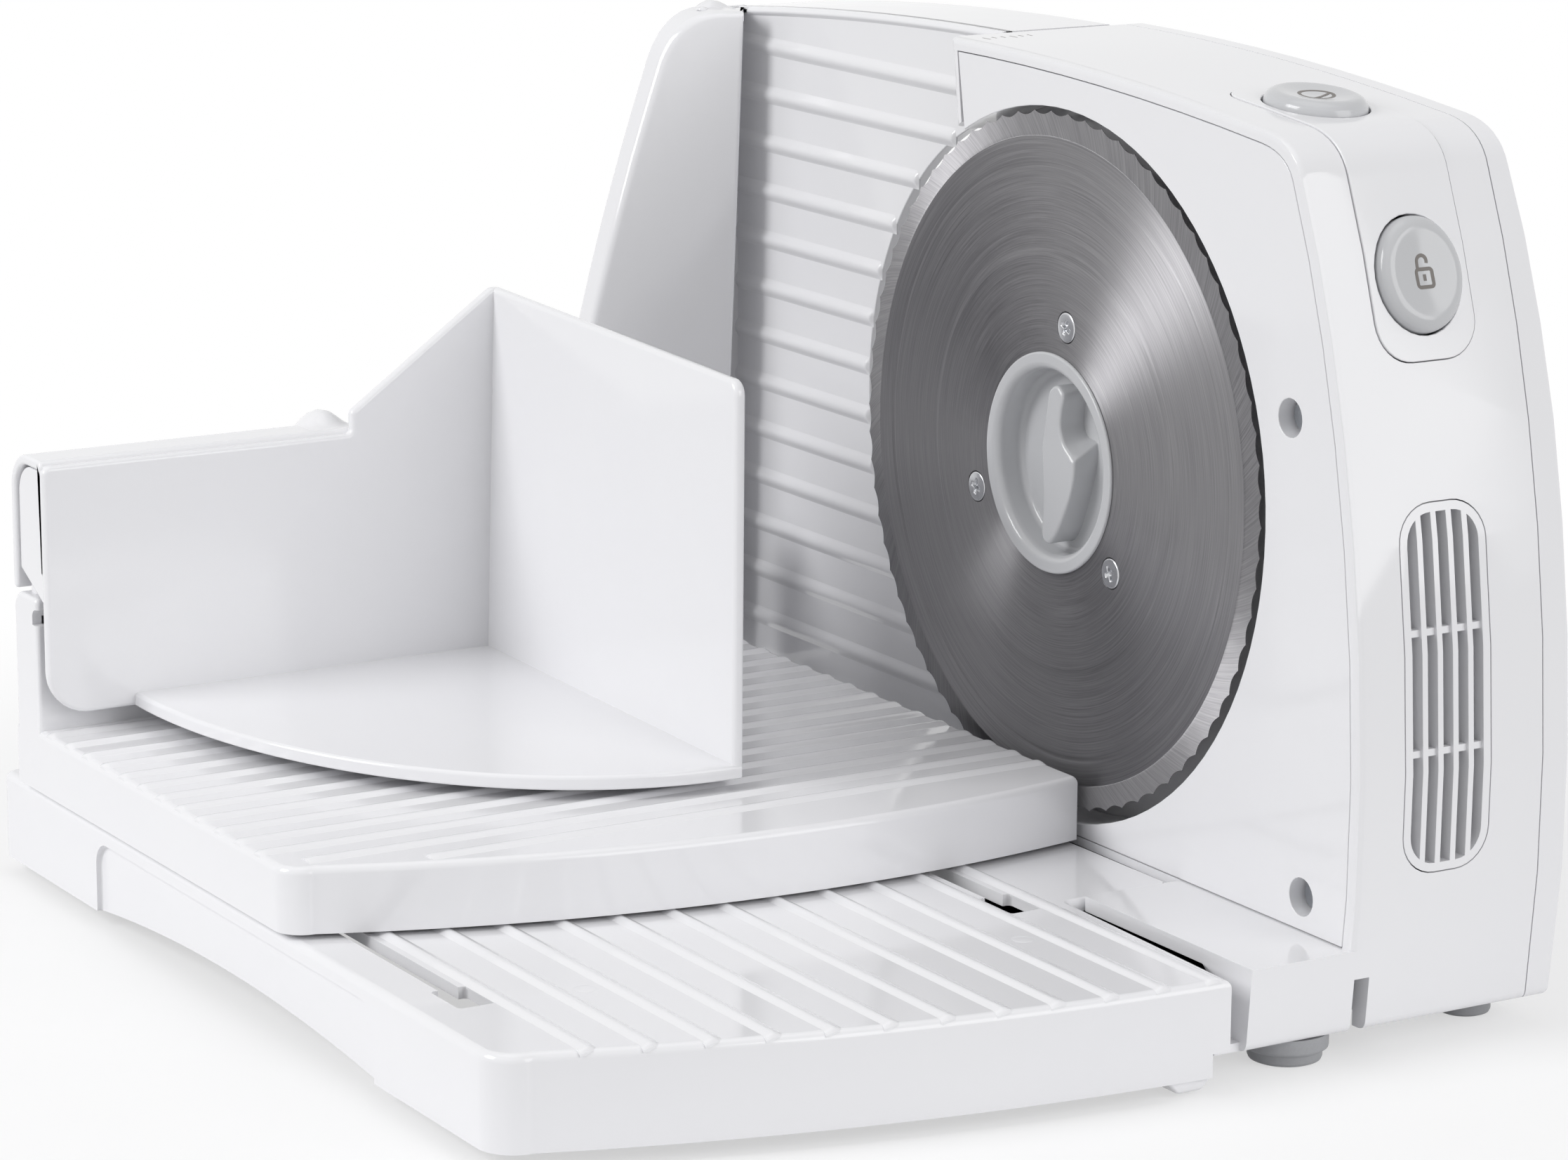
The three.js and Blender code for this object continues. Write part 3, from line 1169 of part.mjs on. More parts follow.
function addFeet() {
  addPiece("foot_front", footSolid(frontFoot, FRONT_FOOT_RADIUS, baseFoot), rubber);
  addPiece("foot_rear", footSolid(rearFoot, REAR_FOOT_RADIUS, baseFoot), rubber);
  addPiece("foot_far", footSolid(armFoot, REAR_FOOT_RADIUS, baseFoot), rubber);
  Object.entries(tableFeet).forEach(([name, place]) => {
    addPiece(name, footSolid(place, TABLE_FOOT_RADIUS, skirtFoot), rubber);
  });
}

function addHingePins() {
  const ends = { hinge_pin_near: BLOCK_FAR, hinge_pin_far: FAR_BLOCK_NEAR };
  Object.entries(ends).forEach(([name, end]) => {
    const start = end - PIN_LENGTH / 2;
    addPiece(name, rod(PIN_RADIUS, "y", start, start + PIN_LENGTH, [HINGE_X, 0, hingeZ], 20), steel);
  });
}

// Stop plate: ribbed wall, top flange along the crown, and the wing at the far end.
function addStopPlate() {
  const crownLine = [];
  const steps = 8;
  const flangeFar = STOP_FAR - WING_THICKNESS;
  for (let i = 0; i <= steps; i += 1) {
    const y = STOP_NEAR + ((STOP_FAR - STOP_NEAR) * i) / steps;
    crownLine.push([y, stopCrown(y)]);
  }
  const wallOutline = [...crownLine, [STOP_FAR, stopFoot], [STOP_NEAR, stopFoot]];
  const wallBody = extruded(wallOutline, "x", stopFront, stopBack);
  const chute = rod(CHUTE_RADIUS, "x", 0, TOWER_DEPTH, [0, CHUTE_CENTRE, 0], 72);
  const underLine = crownLine.map(([y, z]) => [y, z - STOP_FLANGE_THICKNESS]).reverse();
  const flange = extruded([...crownLine, ...underLine], "x", stopFront, flangeBack);
  const ribs = [];
  const ribFace = STOP_RIB_WIDTH / 4;
  const ribRoot = STOP_RIB_WIDTH / 2 + EXTRA;
  const inWall = stopFront + EXTRA;
  for (let z = stopCrown(flangeFar) - STOP_RIB_DROP; z > tableTop + ribRoot; z -= STOP_RIB_PITCH) {
    const ribLine = [
      [STOP_SET, z + ribFace], [inWall, z + ribRoot], [inWall, z - ribRoot], [STOP_SET, z - ribFace],
    ];
    ribs.push(extruded(ribLine, "y", STOP_NEAR, flangeFar + EXTRA));
  }
  const bossEnd = ARM_FRONT - RUN_GAP;
  const bosses = ROD_PLACES.map((y) => rod(ROD_SOCKET, "x", inWall, bossEnd, [0, y, rodZ], 24));
  const sockets = ROD_PLACES.map((y) => rod(ROD_RADIUS + FIT, "x", stopBack, ARM_FRONT, [0, y, rodZ], 24));
  const wing = stopWing();
  const farTop = stopCrown(STOP_FAR);
  const stiffTop = farTop - STOP_FLANGE_THICKNESS / 2;
  const stiffener = box(
    stopFront, flangeBack, flangeFar + WALL, STOP_FAR, farTop - STIFFENER_HEIGHT, stiffTop,
  );
  const ribbed = cut(join(wallBody, ...ribs), chute);
  addPiece("stop_plate", cut(join(ribbed, flange, wing, stiffener, ...bosses), ...sockets), whitePlastic);
  ROD_PLACES.forEach((y, i) => {
    const start = stopBack + FIT;
    addPiece(`stop_rod_${i + 1}`, rod(ROD_RADIUS, "x", start, rodEnd, [0, y, rodZ], 24), steel);
  });
}

// The wing at the stop plate's far end, which keeps fingers away from the blade side.
function stopWing() {
  const top = stopCrown(STOP_FAR - WING_THICKNESS);
  const foot = tableTop + WALL;
  const right = stopBack;
  const outline = new THREE.Shape();
  outline.moveTo(right, foot);
  outline.lineTo(right, top);
  outline.lineTo(right - WING_TOP_REACH, top);
  const shoulder = [right - WING_SHOULDER_REACH, top - WING_SHOULDER_DROP];
  outline.quadraticCurveTo(right - WING_CORNER_REACH, top, ...shoulder);
  outline.quadraticCurveTo(right - WING_WAIST_REACH, WING_WAIST_LEVEL, right - WING_FOOT_REACH, foot);
  const points = outline.getPoints(6).map((p) => [p.x, p.y]);
  return extruded(points, "y", STOP_FAR - WING_THICKNESS, STOP_FAR, WING_ROUND);
}

// Slide bar from the stop plate into the tower, with the nut on the dial's spindle.
function addThicknessDrive() {
  const z0 = dialZ - SLIDE_BAR_THICKNESS;
  const z1 = dialZ;
  const barEnd = slideBarX + SLIDE_BAR_WIDTH;
  const anchorNear = STOP_NEAR + WALL;
  const anchorFar = anchorNear + SLIDE_BAR_FOOT;
  const bar = box(slideBarX, barEnd, DIAL_Y, anchorFar, z0, z1);
  const tabX = stopBack + FIT;
  const leg = box(tabX, barEnd, anchorNear, anchorFar, z0, z1);
  const tab = box(tabX, tabX + SLIDE_BAR_THICKNESS, anchorNear, anchorFar, z0, z1 + SLIDE_BAR_WIDTH);
  const nutStart = slideBarX - (NUT_LENGTH - SLIDE_BAR_WIDTH) / 2;
  const half = NUT_SIZE / 2;
  const nut = box(nutStart, nutStart + NUT_LENGTH, DIAL_Y - half, DIAL_Y + half, dialZ - half, dialZ + half);
  const bore = rod(SPINDLE_RADIUS + FIT, "x", 0, TOWER_DEPTH, [0, DIAL_Y, dialZ], 24);
  addPiece("stop_slide_bar", cut(join(bar, leg, tab, nut), bore), steel);

  const points = [];
  const steps = DIAL_FLUTES * 4;
  for (let i = 0; i < steps; i += 1) {
    const angle = (i / steps) * Math.PI * 2;
    const radius = DIAL_RADIUS - (DIAL_FLUTE * (1 + Math.cos(angle * DIAL_FLUTES))) / 2;
    points.push([DIAL_Y + radius * Math.cos(angle), dialZ + radius * Math.sin(angle)]);
  }
  const start = TOWER_DEPTH + SLIDE_FIT;
  const grip = extruded(points, "x", start, start + DIAL_HEIGHT, DIAL_ROUND);
  const spindle = rod(SPINDLE_RADIUS, "x", floorBack + SPINDLE_GAP, start + EXTRA, [0, DIAL_Y, dialZ], 24);
  addPiece("thickness_dial", join(grip, spindle), greyPlastic);
}

// The near edge of the table in plan, one long shallow bow.
function nearEdge(x) {
  return NEAR_BOW - NEAR_REACH - Math.sqrt(NEAR_BOW ** 2 - (x - NEAR_BOW_X) ** 2);
}

function tableOutline(inset) {
  const left = TABLE_LEFT + inset;
  const right = -BLOCK_DEPTH - HINGE_SLOT - inset;
  const tip = -TONGUE_GAP - inset;
  const tongueNear = BLOCK_FAR + SLIDE_FIT + inset;
  const tongueFar = FAR_BLOCK_NEAR - SLIDE_FIT - inset;
  const far = TABLE_FAR - inset;
  const corner = TABLE_CORNER - inset;
  const farCorner = TABLE_FAR_CORNER - inset;
  const points = [];
  const steps = 10;
  const start = left + corner;
  for (let i = 0; i <= steps; i += 1) {
    const x = start + ((right - start) * i) / steps;
    points.push([x, nearEdge(x) + inset]);
  }
  points.push([right, tongueNear], [tip, tongueNear], [tip, tongueFar], [right, tongueFar], [right, far]);
  const farCut = farCorner * ARC_CUT;
  points.push([left + farCorner, far], [left + farCut, far - farCut], [left, far - farCorner]);
  const nearLeft = nearEdge(start) + inset;
  points.push([left, nearLeft + corner], [left + corner * ARC_CUT, nearLeft + corner * ARC_CUT]);
  return points;
}

const slotLines = SLOT_RIBS.map((place) => TABLE_RIB_FIRST - place * TABLE_RIB_PITCH);

function addTable() {
  const plateFoot = plateTop - TABLE_PLATE;
  const long = extruded(tableOutline(0), "z", skirtFoot - TABLE_ROUND * 2, plateTop, TABLE_ROUND);
  const body = cut(long, box(-FAR_AWAY, FAR_AWAY, -FAR_AWAY, FAR_AWAY, -FAR_AWAY, skirtFoot));
  const hollow = extruded(tableOutline(WALL), "z", skirtFoot - EXTRA, plateFoot);
  const tongueFoot = tableTop - TONGUE_HEIGHT;
  const right = -BLOCK_DEPTH - HINGE_SLOT;
  const underTongue = box(right - LEDGE, FAR_AWAY, -FAR_AWAY, FAR_AWAY, -FAR_AWAY, tongueFoot);
  const ribField = extruded(tableOutline(WALL), "z", plateTop - EXTRA, tableTop);
  const ribs = [];
  const inPlate = plateTop - TABLE_PLATE / 4;
  for (let i = 0; i < TABLE_RIB_COUNT; i += 1) {
    const x = TABLE_RIB_FIRST - i * TABLE_RIB_PITCH;
    const half = TABLE_RIB_WIDTH / 2;
    const face = half - TABLE_RIB / 2;
    const ribLine = [[x - half, inPlate], [x + half, inPlate], [x + face, tableTop], [x - face, tableTop]];
    ribs.push(extruded(ribLine, "y", -NEAR_REACH, TABLE_FAR));
  }
  const slotFoot = plateFoot - EXTRA;
  const slotTop = tableTop + EXTRA;
  const mouthEnd = SLOT_NEAR + SLOT_MOUTH_LENGTH;
  const slots = slotLines.flatMap((x) => [
    box(x - SLOT_WIDTH / 2, x + SLOT_WIDTH / 2, SLOT_NEAR + EXTRA, SLOT_FAR, slotFoot, slotTop),
    box(x - SLOT_MOUTH / 2, x + SLOT_MOUTH / 2, SLOT_NEAR, mouthEnd, slotFoot, slotTop),
  ]);
  const scoopTop = tableTop - SCOOP_DROP;
  const scoopX = TABLE_LEFT - EXTRA;
  const scoop = box(scoopX, TABLE_LEFT + SCOOP_DEPTH, SCOOP_NEAR, SCOOP_FAR, skirtFoot - EXTRA, scoopTop);
  const arch = new THREE.Shape();
  arch.moveTo(SCOOP_NEAR, skirtFoot - EXTRA);
  arch.lineTo(SCOOP_NEAR, skirtFoot);
  arch.quadraticCurveTo((SCOOP_NEAR + SCOOP_FAR) / 2, skirtFoot + SCOOP_ARCH * 2, SCOOP_FAR, skirtFoot);
  arch.lineTo(SCOOP_FAR, skirtFoot - EXTRA);
  const archLine = arch.getPoints(10).map((p) => [p.x, p.y]);
  const archCut = extruded(archLine, "x", scoopX, TABLE_LEFT + WALL + EXTRA);
  const footPosts = Object.values(tableFeet).map((place) =>
    rod(TABLE_FOOT_RADIUS, "z", skirtFoot, plateFoot + EXTRA, [...place, 0], 24),
  );
  const tabY = nearEdge(TAB_X);
  const tabFoot = ground + EXTRA;
  const tabTop = tabFoot + TAB_HEIGHT;
  const tabHalf = TAB_WIDTH / 2;
  const tipHalf = TAB_TIP / 2;
  const tabLine = [
    [TAB_X - tabHalf, tabTop], [TAB_X + tabHalf, tabTop],
    [TAB_X + tipHalf, tabFoot], [TAB_X - tipHalf, tabFoot],
  ];
  const tab = extruded(tabLine, "y", tabY + WALL / 2, tabY + TAB_DEPTH);
  const pinLine = [HINGE_X, 0, hingeZ];
  const pinBores = rod(PIN_RADIUS + FIT, "y", BLOCK_FAR - EXTRA, FAR_BLOCK_NEAR + EXTRA, pinLine, 20);
  const open = cut(body, hollow, scoop, archCut);
  const ribbed = join(open, common(join(...ribs), ribField));
  const slotted = cut(ribbed, ...slots, underTongue);
  addPiece("table", cut(join(slotted, ...footPosts, tab), pinBores), whitePlastic);
}

function carriageNearEdge(x) {
  return CARRIAGE_NEAR + CARRIAGE_BOW - Math.sqrt(CARRIAGE_BOW ** 2 - (x - CARRIAGE_BOW_X) ** 2);
}

function carriageOutline(inset) {
  const left = CARRIAGE_LEFT + inset;
  const right = CARRIAGE_RIGHT - inset;
  const far = BACK_WALL_NEAR + BACK_WALL - inset;
  const corner = CARRIAGE_CORNER - inset;
  const points = [];
  const steps = 12;
  const start = left + corner;
  const end = right - 1;
  for (let i = 0; i <= steps; i += 1) {
    const x = start + ((end - start) * i) / steps;
    points.push([x, carriageNearEdge(x) + inset]);
  }
  points.push([right, carriageNearEdge(right) + inset + EXTRA], [right, far], [left, far]);
  const nearLeft = carriageNearEdge(start) + inset;
  points.push([left, nearLeft + corner], [left + corner * ARC_CUT, nearLeft + corner * ARC_CUT]);
  return points;
}

function addCarriage() {
  const surface = trayTop - TRAY_RIB;
  const long = extruded(carriageOutline(0), "z", carriageFoot - EDGE_ROUND * 2, surface, TRAY_ROUND);
  const body = cut(long, box(-FAR_AWAY, FAR_AWAY, -FAR_AWAY, FAR_AWAY, -FAR_AWAY, carriageFoot));
  const under = surface - CARRIAGE_PLATE;
  const hollow = extruded(carriageOutline(WALL), "z", carriageFoot - EXTRA, under);
  const wallTop = trayTop + BACK_WALL_HEIGHT;
  const wallFar = BACK_WALL_NEAR + BACK_WALL;
  const wallRight = CARRIAGE_RIGHT - WALL;
  const wallBody = box(CARRIAGE_LEFT, wallRight, BACK_WALL_NEAR, wallFar, under, wallTop);
  const wallHollow = box(
    CARRIAGE_LEFT + WALL, wallRight - WALL, BACK_WALL_NEAR + WALL, wallFar - WALL,
    carriageFoot - EXTRA, wallTop - WALL,
  );
  const middle = BACK_WALL_NEAR + BACK_WALL / 2;
  const tongue = box(
    CARRIAGE_LEFT + WALL, wallRight - WALL, middle - RAIL_TONGUE / 2, middle + RAIL_TONGUE / 2,
    wallTop - EXTRA, wallTop + RAIL_TONGUE_HEIGHT,
  );
  const ribField = extruded(carriageOutline(1), "z", surface - EXTRA, trayTop);
  const ribs = [];
  const inPlate = surface - CARRIAGE_PLATE / 4;
  for (let i = 0; i < TRAY_RIB_COUNT; i += 1) {
    const y = BACK_WALL_NEAR - TRAY_RIB_PITCH * (i + 1 / 2);
    const half = TRAY_RIB_WIDTH / 2;
    const face = half - TRAY_RIB;
    const ribLine = [[y - half, inPlate], [y + half, inPlate], [y + face, trayTop], [y - face, trayTop]];
    ribs.push(extruded(ribLine, "x", CARRIAGE_LEFT, CARRIAGE_RIGHT));
  }
  const footTop = plateTop - TABLE_PLATE - FIT;
  const hooks = slotLines.flatMap((x) => HOOK_PLACES.flatMap((y) => [
    box(x - HOOK_NECK / 2, x + HOOK_NECK / 2, y, y + HOOK_LENGTH, footTop - EXTRA, under + EXTRA),
    box(x - HOOK_FOOT / 2, x + HOOK_FOOT / 2, y, y + HOOK_LENGTH, footTop - HOOK_FOOT_HEIGHT, footTop),
  ]));
  const shell = cut(join(body, wallBody), hollow, wallHollow);
  addPiece("carriage", join(shell, tongue, common(join(...ribs), ribField), ...hooks), whitePlastic);
}

// Pusher: wall along the carriage's back wall, guard wall facing the blade, quarter floor and guide rail.
function addPusher() {
  const foot = trayTop + PUSHER_LIFT;
  const floorTop = foot + PUSHER_FLOOR;
  const top = tableTop + PUSHER_TOP;
  const railTop = tableTop + PUSHER_RAIL_TOP;
  const left = CARRIAGE_LEFT;
  const guardX = PUSHER_RIGHT + PUSHER_WALL;
  const slopeStart = PUSHER_RAIL_END;
  const wallLine = [
    [left + PUSHER_CORNER, foot + PUSHER_FLOOR * 0.6],
    [left + PUSHER_CORNER * 2, foot],
    [guardX, foot],
    [guardX, top],
    [PUSHER_RIGHT, top],
    [slopeStart, railTop + PUSHER_STEP],
    [slopeStart, railTop],
    [left, railTop],
    [left, foot + PUSHER_CORNER * 1.6],
    [left + PUSHER_CORNER * 0.3, foot + PUSHER_CORNER * 0.7],
  ];
  const mainWall = extruded(wallLine, "y", PUSHER_FACE, PUSHER_FACE + PUSHER_WALL);
  const wallFar = PUSHER_FACE + PUSHER_WALL;
  const round = PUSHER_CORNER * 0.4;
  const guardLine = [
    [PUSHER_NEAR, foot],
    [wallFar, foot],
    [wallFar, top],
    [PUSHER_NEAR + round, top - PUSHER_NEAR_DROP],
    [PUSHER_NEAR + round * 0.3, top - PUSHER_NEAR_DROP - round * 0.3],
    [PUSHER_NEAR, top - PUSHER_NEAR_DROP - round],
  ];
  const guard = extruded(guardLine, "x", PUSHER_RIGHT, guardX);
  const floorLine = [[guardX, PUSHER_FACE + EXTRA], [PUSHER_RIGHT, PUSHER_FACE + EXTRA]];
  const reachY = PUSHER_FACE - PUSHER_NEAR;
  const arcSteps = 16;
  for (let i = 0; i <= arcSteps; i += 1) {
    const angle = Math.PI + (i / arcSteps) * (Math.PI / 2);
    const x = PUSHER_RIGHT + PUSHER_FLOOR_REACH * Math.cos(angle);
    floorLine.push([x, PUSHER_FACE + reachY * Math.sin(angle)]);
  }
  floorLine.push([guardX, PUSHER_NEAR]);
  const floorBody = extruded(floorLine, "z", foot, floorTop);
  const ridges = [];
  for (let y = PUSHER_NEAR + GRIP_PITCH; y < PUSHER_FACE; y += GRIP_PITCH) {
    const half = GRIP_RIDGE;
    ridges.push(box(guardX - EXTRA, guardX + GRIP_RIDGE, y - half, y + half, floorTop, top - GRIP_PITCH));
  }
  addPiece("pusher", join(mainWall, guard, floorBody, ...ridges, pusherRail(railTop)), whitePlastic);
}

// The pusher's rail: a box open below that rides on the carriage's back wall, with two webs on its tongue.
function pusherRail(railTop) {
  const wallTop = trayTop + BACK_WALL_HEIGHT;
  const foot = wallTop + CARRIAGE_GAP;
  const near = PUSHER_FACE + PUSHER_WALL - EXTRA;
  const far = BACK_WALL_NEAR + BACK_WALL;
  const insideNear = near + EXTRA + PUSHER_RAIL_WALL;
  const insideFar = far - PUSHER_RAIL_WALL;
  const left = CARRIAGE_LEFT;
  const right = PUSHER_RAIL_END;
  const sideLine = [
    [left, foot + PUSHER_SLANT], [left + PUSHER_SLANT, foot], [right, foot],
    [right, railTop], [left, railTop],
  ];
  const hull = extruded(sideLine, "y", near, far);
  const inside = box(
    left + PUSHER_POCKET + PUSHER_RAIL_WALL, right - PUSHER_RAIL_WALL, insideNear, insideFar,
    foot - EXTRA, railTop - PUSHER_RAIL_WALL,
  );
  const pocket = box(
    left - EXTRA, left + PUSHER_POCKET, insideNear, insideFar,
    foot + PUSHER_SLANT + PUSHER_RAIL_WALL, railTop - PUSHER_RAIL_WALL,
  );
  const webPlaces = [left + PUSHER_SLANT * 2, right - PUSHER_SLANT * 2];
  const webs = webPlaces.map((x) => box(x, x + PUSHER_WEB, near + EXTRA, far - EXTRA, foot, railTop - EXTRA));
  const middle = BACK_WALL_NEAR + BACK_WALL / 2;
  const slotHalf = RAIL_TONGUE / 2 + SLIDE_FIT;
  const slotTop = wallTop + RAIL_TONGUE_HEIGHT + SLIDE_FIT;
  const tongueSlot = box(
    left - EXTRA, right + EXTRA, middle - slotHalf, middle + slotHalf, foot - EXTRA, slotTop,
  );
  return cut(join(cut(hull, inside, pocket), ...webs), tongueSlot);
}

addTowerShell();
addRearCover();
addFrontPlate();
addSwitches();
addVentGrille();
addBlade();
addDrive();
addBoard();
addBaseArm();
addFeet();
addHingePins();
addStopPlate();
addThicknessDrive();
addTable();
addCarriage();
addPusher();

// Stand the slicer centred on the origin, with its feet on z = 0.
const reach = new THREE.Box3().setFromObject(slicer);
const middle = reach.getCenter(new THREE.Vector3());
slicer.position.set(-middle.x, -middle.y, -reach.min.z);

export default slicer;
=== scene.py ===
"""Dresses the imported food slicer: smooth mouldings, ground steel, marks, studio light and camera.

Pieces are worked out in millimetres in the blade's frame, as the part's source has it: the origin is on
the blade's axis at its front face, -X is the food side, +Y the far end and +Z up.
"""

import json
import logging
import math
from dataclasses import dataclass
from enum import Enum
from typing import Callable, Optional, Sequence

import bmesh
import bpy
import numpy as np
from mathutils import Matrix, Vector


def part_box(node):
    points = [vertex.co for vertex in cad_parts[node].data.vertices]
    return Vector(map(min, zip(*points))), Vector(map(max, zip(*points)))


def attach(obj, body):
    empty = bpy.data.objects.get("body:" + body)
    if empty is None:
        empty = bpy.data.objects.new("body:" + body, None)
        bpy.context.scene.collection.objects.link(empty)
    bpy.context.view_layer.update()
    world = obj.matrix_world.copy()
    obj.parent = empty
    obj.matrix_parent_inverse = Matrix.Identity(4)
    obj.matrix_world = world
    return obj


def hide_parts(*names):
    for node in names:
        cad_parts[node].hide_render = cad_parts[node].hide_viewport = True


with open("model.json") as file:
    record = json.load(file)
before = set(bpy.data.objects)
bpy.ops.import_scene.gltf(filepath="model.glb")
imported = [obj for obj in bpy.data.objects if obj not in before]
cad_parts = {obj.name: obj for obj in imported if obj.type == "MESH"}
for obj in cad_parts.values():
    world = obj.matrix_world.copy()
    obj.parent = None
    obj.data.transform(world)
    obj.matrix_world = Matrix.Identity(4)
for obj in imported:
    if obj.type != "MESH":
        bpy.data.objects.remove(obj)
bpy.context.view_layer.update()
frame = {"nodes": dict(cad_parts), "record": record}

LOG = logging.getLogger("slicer")
Array = np.ndarray
Piece = bpy.types.Object
Material = bpy.types.Material
Tree = bpy.types.NodeTree
Socket = bpy.types.NodeSocket

MM = 0.001
X_AXIS = (1.0, 0.0, 0.0)
Y_AXIS = (0.0, 1.0, 0.0)
Z_AXIS = (0.0, 0.0, 1.0)
FOOD_SIDE = (-1.0, 0.0, 0.0)

# Points closer than this, in metres, are merged in a new mesh and in a copied node
MESH_MERGE = 1e-6
COPY_MERGE = 2e-6
# Faces of a copied node that turn less than this many degrees are joined
FLAT_TURN = 0.4
# A turned profile starts this many millimetres from its axis
AXIS_GAP = 0.02
# The range that most noise values lie in, and the plain range
NOISE_RANGE = (0.3, 0.7)
UNIT_RANGE = (0.0, 1.0)
PURE_WHITE = (1.0, 1.0, 1.0, 1.0)

# The blade's box gives the place of the blade's frame in the part's frame
_low, _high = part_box("blade")
ORIGIN = np.array([_low.x, (_low.y + _high.y) / 2, (_low.z + _high.z) / 2]) / MM


class Slot(Enum):
    """The record's material slots."""

    WHITE = "white_gloss"
    GREY = "grey_plastic"
    INNER = "inner_plastic"
    DARK = "dark_plastic"
    BLADE = "blade_steel"
    STEEL = "steel"
    BRONZE = "bronze"
    RUBBER = "rubber"
    BOARD = "board"


class Shape(Enum):
    """How a tool solid changes a body."""

    CUT = "DIFFERENCE"
    JOIN = "UNION"


def linear(code: str) -> tuple[float, float, float, float]:
    """Turns an sRGB hex colour to linear.

    Args:
        code: Six hex digits, with or without a leading mark.

    Returns:
        Linear red, green and blue, and an alpha of 1.
    """
    raw = np.array([int(code.lstrip("#")[i:i + 2], 16) for i in (0, 2, 4)]) / 255
    value = np.where(raw <= 0.04045, raw / 12.92, ((raw + 0.055) / 1.055) ** 2.4)
    return (float(value[0]), float(value[1]), float(value[2]), 1.0)


def add_node(tree: Tree, kind: str, settings: dict, links: dict) -> bpy.types.Node:
    """Adds one node with its settings and links.

    Args:
        tree: The material's or world's tree.
        kind: Blender's name of the node's type.
        settings: Values by input name or index, or by property name.
        links: Output sockets by input name or index.

    Returns:
        The new node.
    """
    node = tree.nodes.new(kind)
    for key, value in settings.items():
        if isinstance(key, str) and hasattr(node, key):
            setattr(node, key, value)
        else:
            node.inputs[key].default_value = value
    for key, socket in links.items():
        tree.links.new(socket, node.inputs[key])
    return node


def new_tree(name: str) -> tuple[Material, Tree, Socket]:
    """Starts a material with Object coordinates.

    Args:
        name: The material's name.

    Returns:
        The material, its empty tree and the Object coordinate socket.
    """
    material = bpy.data.materials.new(name)
    material.use_nodes = True
    tree = material.node_tree
    tree.nodes.clear()
    place = add_node(tree, "ShaderNodeTexCoord", {}, {})
    return material, tree, place.outputs["Object"]


def close_tree(tree: Tree, shader: bpy.types.Node) -> None:
    """Links a shader to the material's output."""
    add_node(tree, "ShaderNodeOutputMaterial", {}, {"Surface": shader.outputs[0]})


def noise(tree: Tree, place: Socket, scale: float, detail: float, roughness: float) -> Socket:
    """Adds a noise pattern.

    Args:
        tree: The material's tree.
        place: The pattern's place.
        scale: Pattern steps for each unit of the place.
        detail: How many finer layers lie over the first.
        roughness: How strong the finer layers are.

    Returns:
        The socket of the noise value.
    """
    settings = {"Scale": scale, "Detail": detail, "Roughness": roughness}
    return add_node(tree, "ShaderNodeTexNoise", settings, {"Vector": place}).outputs[0]


def blend(tree: Tree, first: str, second: str, share: Socket) -> Socket:
    """Mixes two hex colours by a share and gives the colour's socket."""
    settings = {"data_type": "RGBA", 6: linear(first), 7: linear(second)}
    return add_node(tree, "ShaderNodeMix", settings, {0: share}).outputs[2]


def relief(tree: Tree, height: Socket, strength: float, depth_mm: float) -> Socket:
    """Turns a pattern to fine relief and gives the normal's socket."""
    settings = {"Strength": strength, "Distance": depth_mm * MM}
    return add_node(tree, "ShaderNodeBump", settings, {"Height": height}).outputs[0]


def remap(tree: Tree, value: Socket, start: Sequence[float], end: Sequence[float]) -> Socket:
    """Maps a value from one range to another and gives its socket."""
    settings = {"From Min": start[0], "From Max": start[1], "To Min": end[0], "To Max": end[1]}
    return add_node(tree, "ShaderNodeMapRange", settings, {"Value": value}).outputs[0]


def spread(middle: float, reach: float) -> tuple[float, float]:
    """The range that goes a reach to both sides of a middle."""
    return middle - reach, middle + reach


@dataclass(frozen=True)
class MouldedPlastic:
    """Injection-moulded plastic: an even colour, faint flow clouds and a fine moulded skin."""

    name: str
    colour: str
    cloud_colour: str
    roughness: float
    roughness_swing: float = 0.04
    ior: float = 1.53
    cloud_mm: float = 45.0
    skin_mm: float = 1.1
    skin_height_mm: float = 0.004
    skin_strength: float = 0.5

    def material(self) -> Material:
        """Builds the node material.

        Returns:
            The material.
        """
        material, tree, place = new_tree(self.name)
        clouds = noise(tree, place, 1 / (self.cloud_mm * MM), 3.0, 0.5)
        skin = noise(tree, place, 1 / (self.skin_mm * MM), 2.0, 0.6)
        gloss = remap(tree, clouds, NOISE_RANGE, spread(self.roughness, self.roughness_swing))
        shader = add_node(tree, "ShaderNodeBsdfPrincipled", {"IOR": self.ior},
                          {"Base Color": blend(tree, self.colour, self.cloud_colour, clouds),
                           "Roughness": gloss,
                           "Normal": relief(tree, skin, self.skin_strength, self.skin_height_mm)})
        close_tree(tree, shader)
        return material


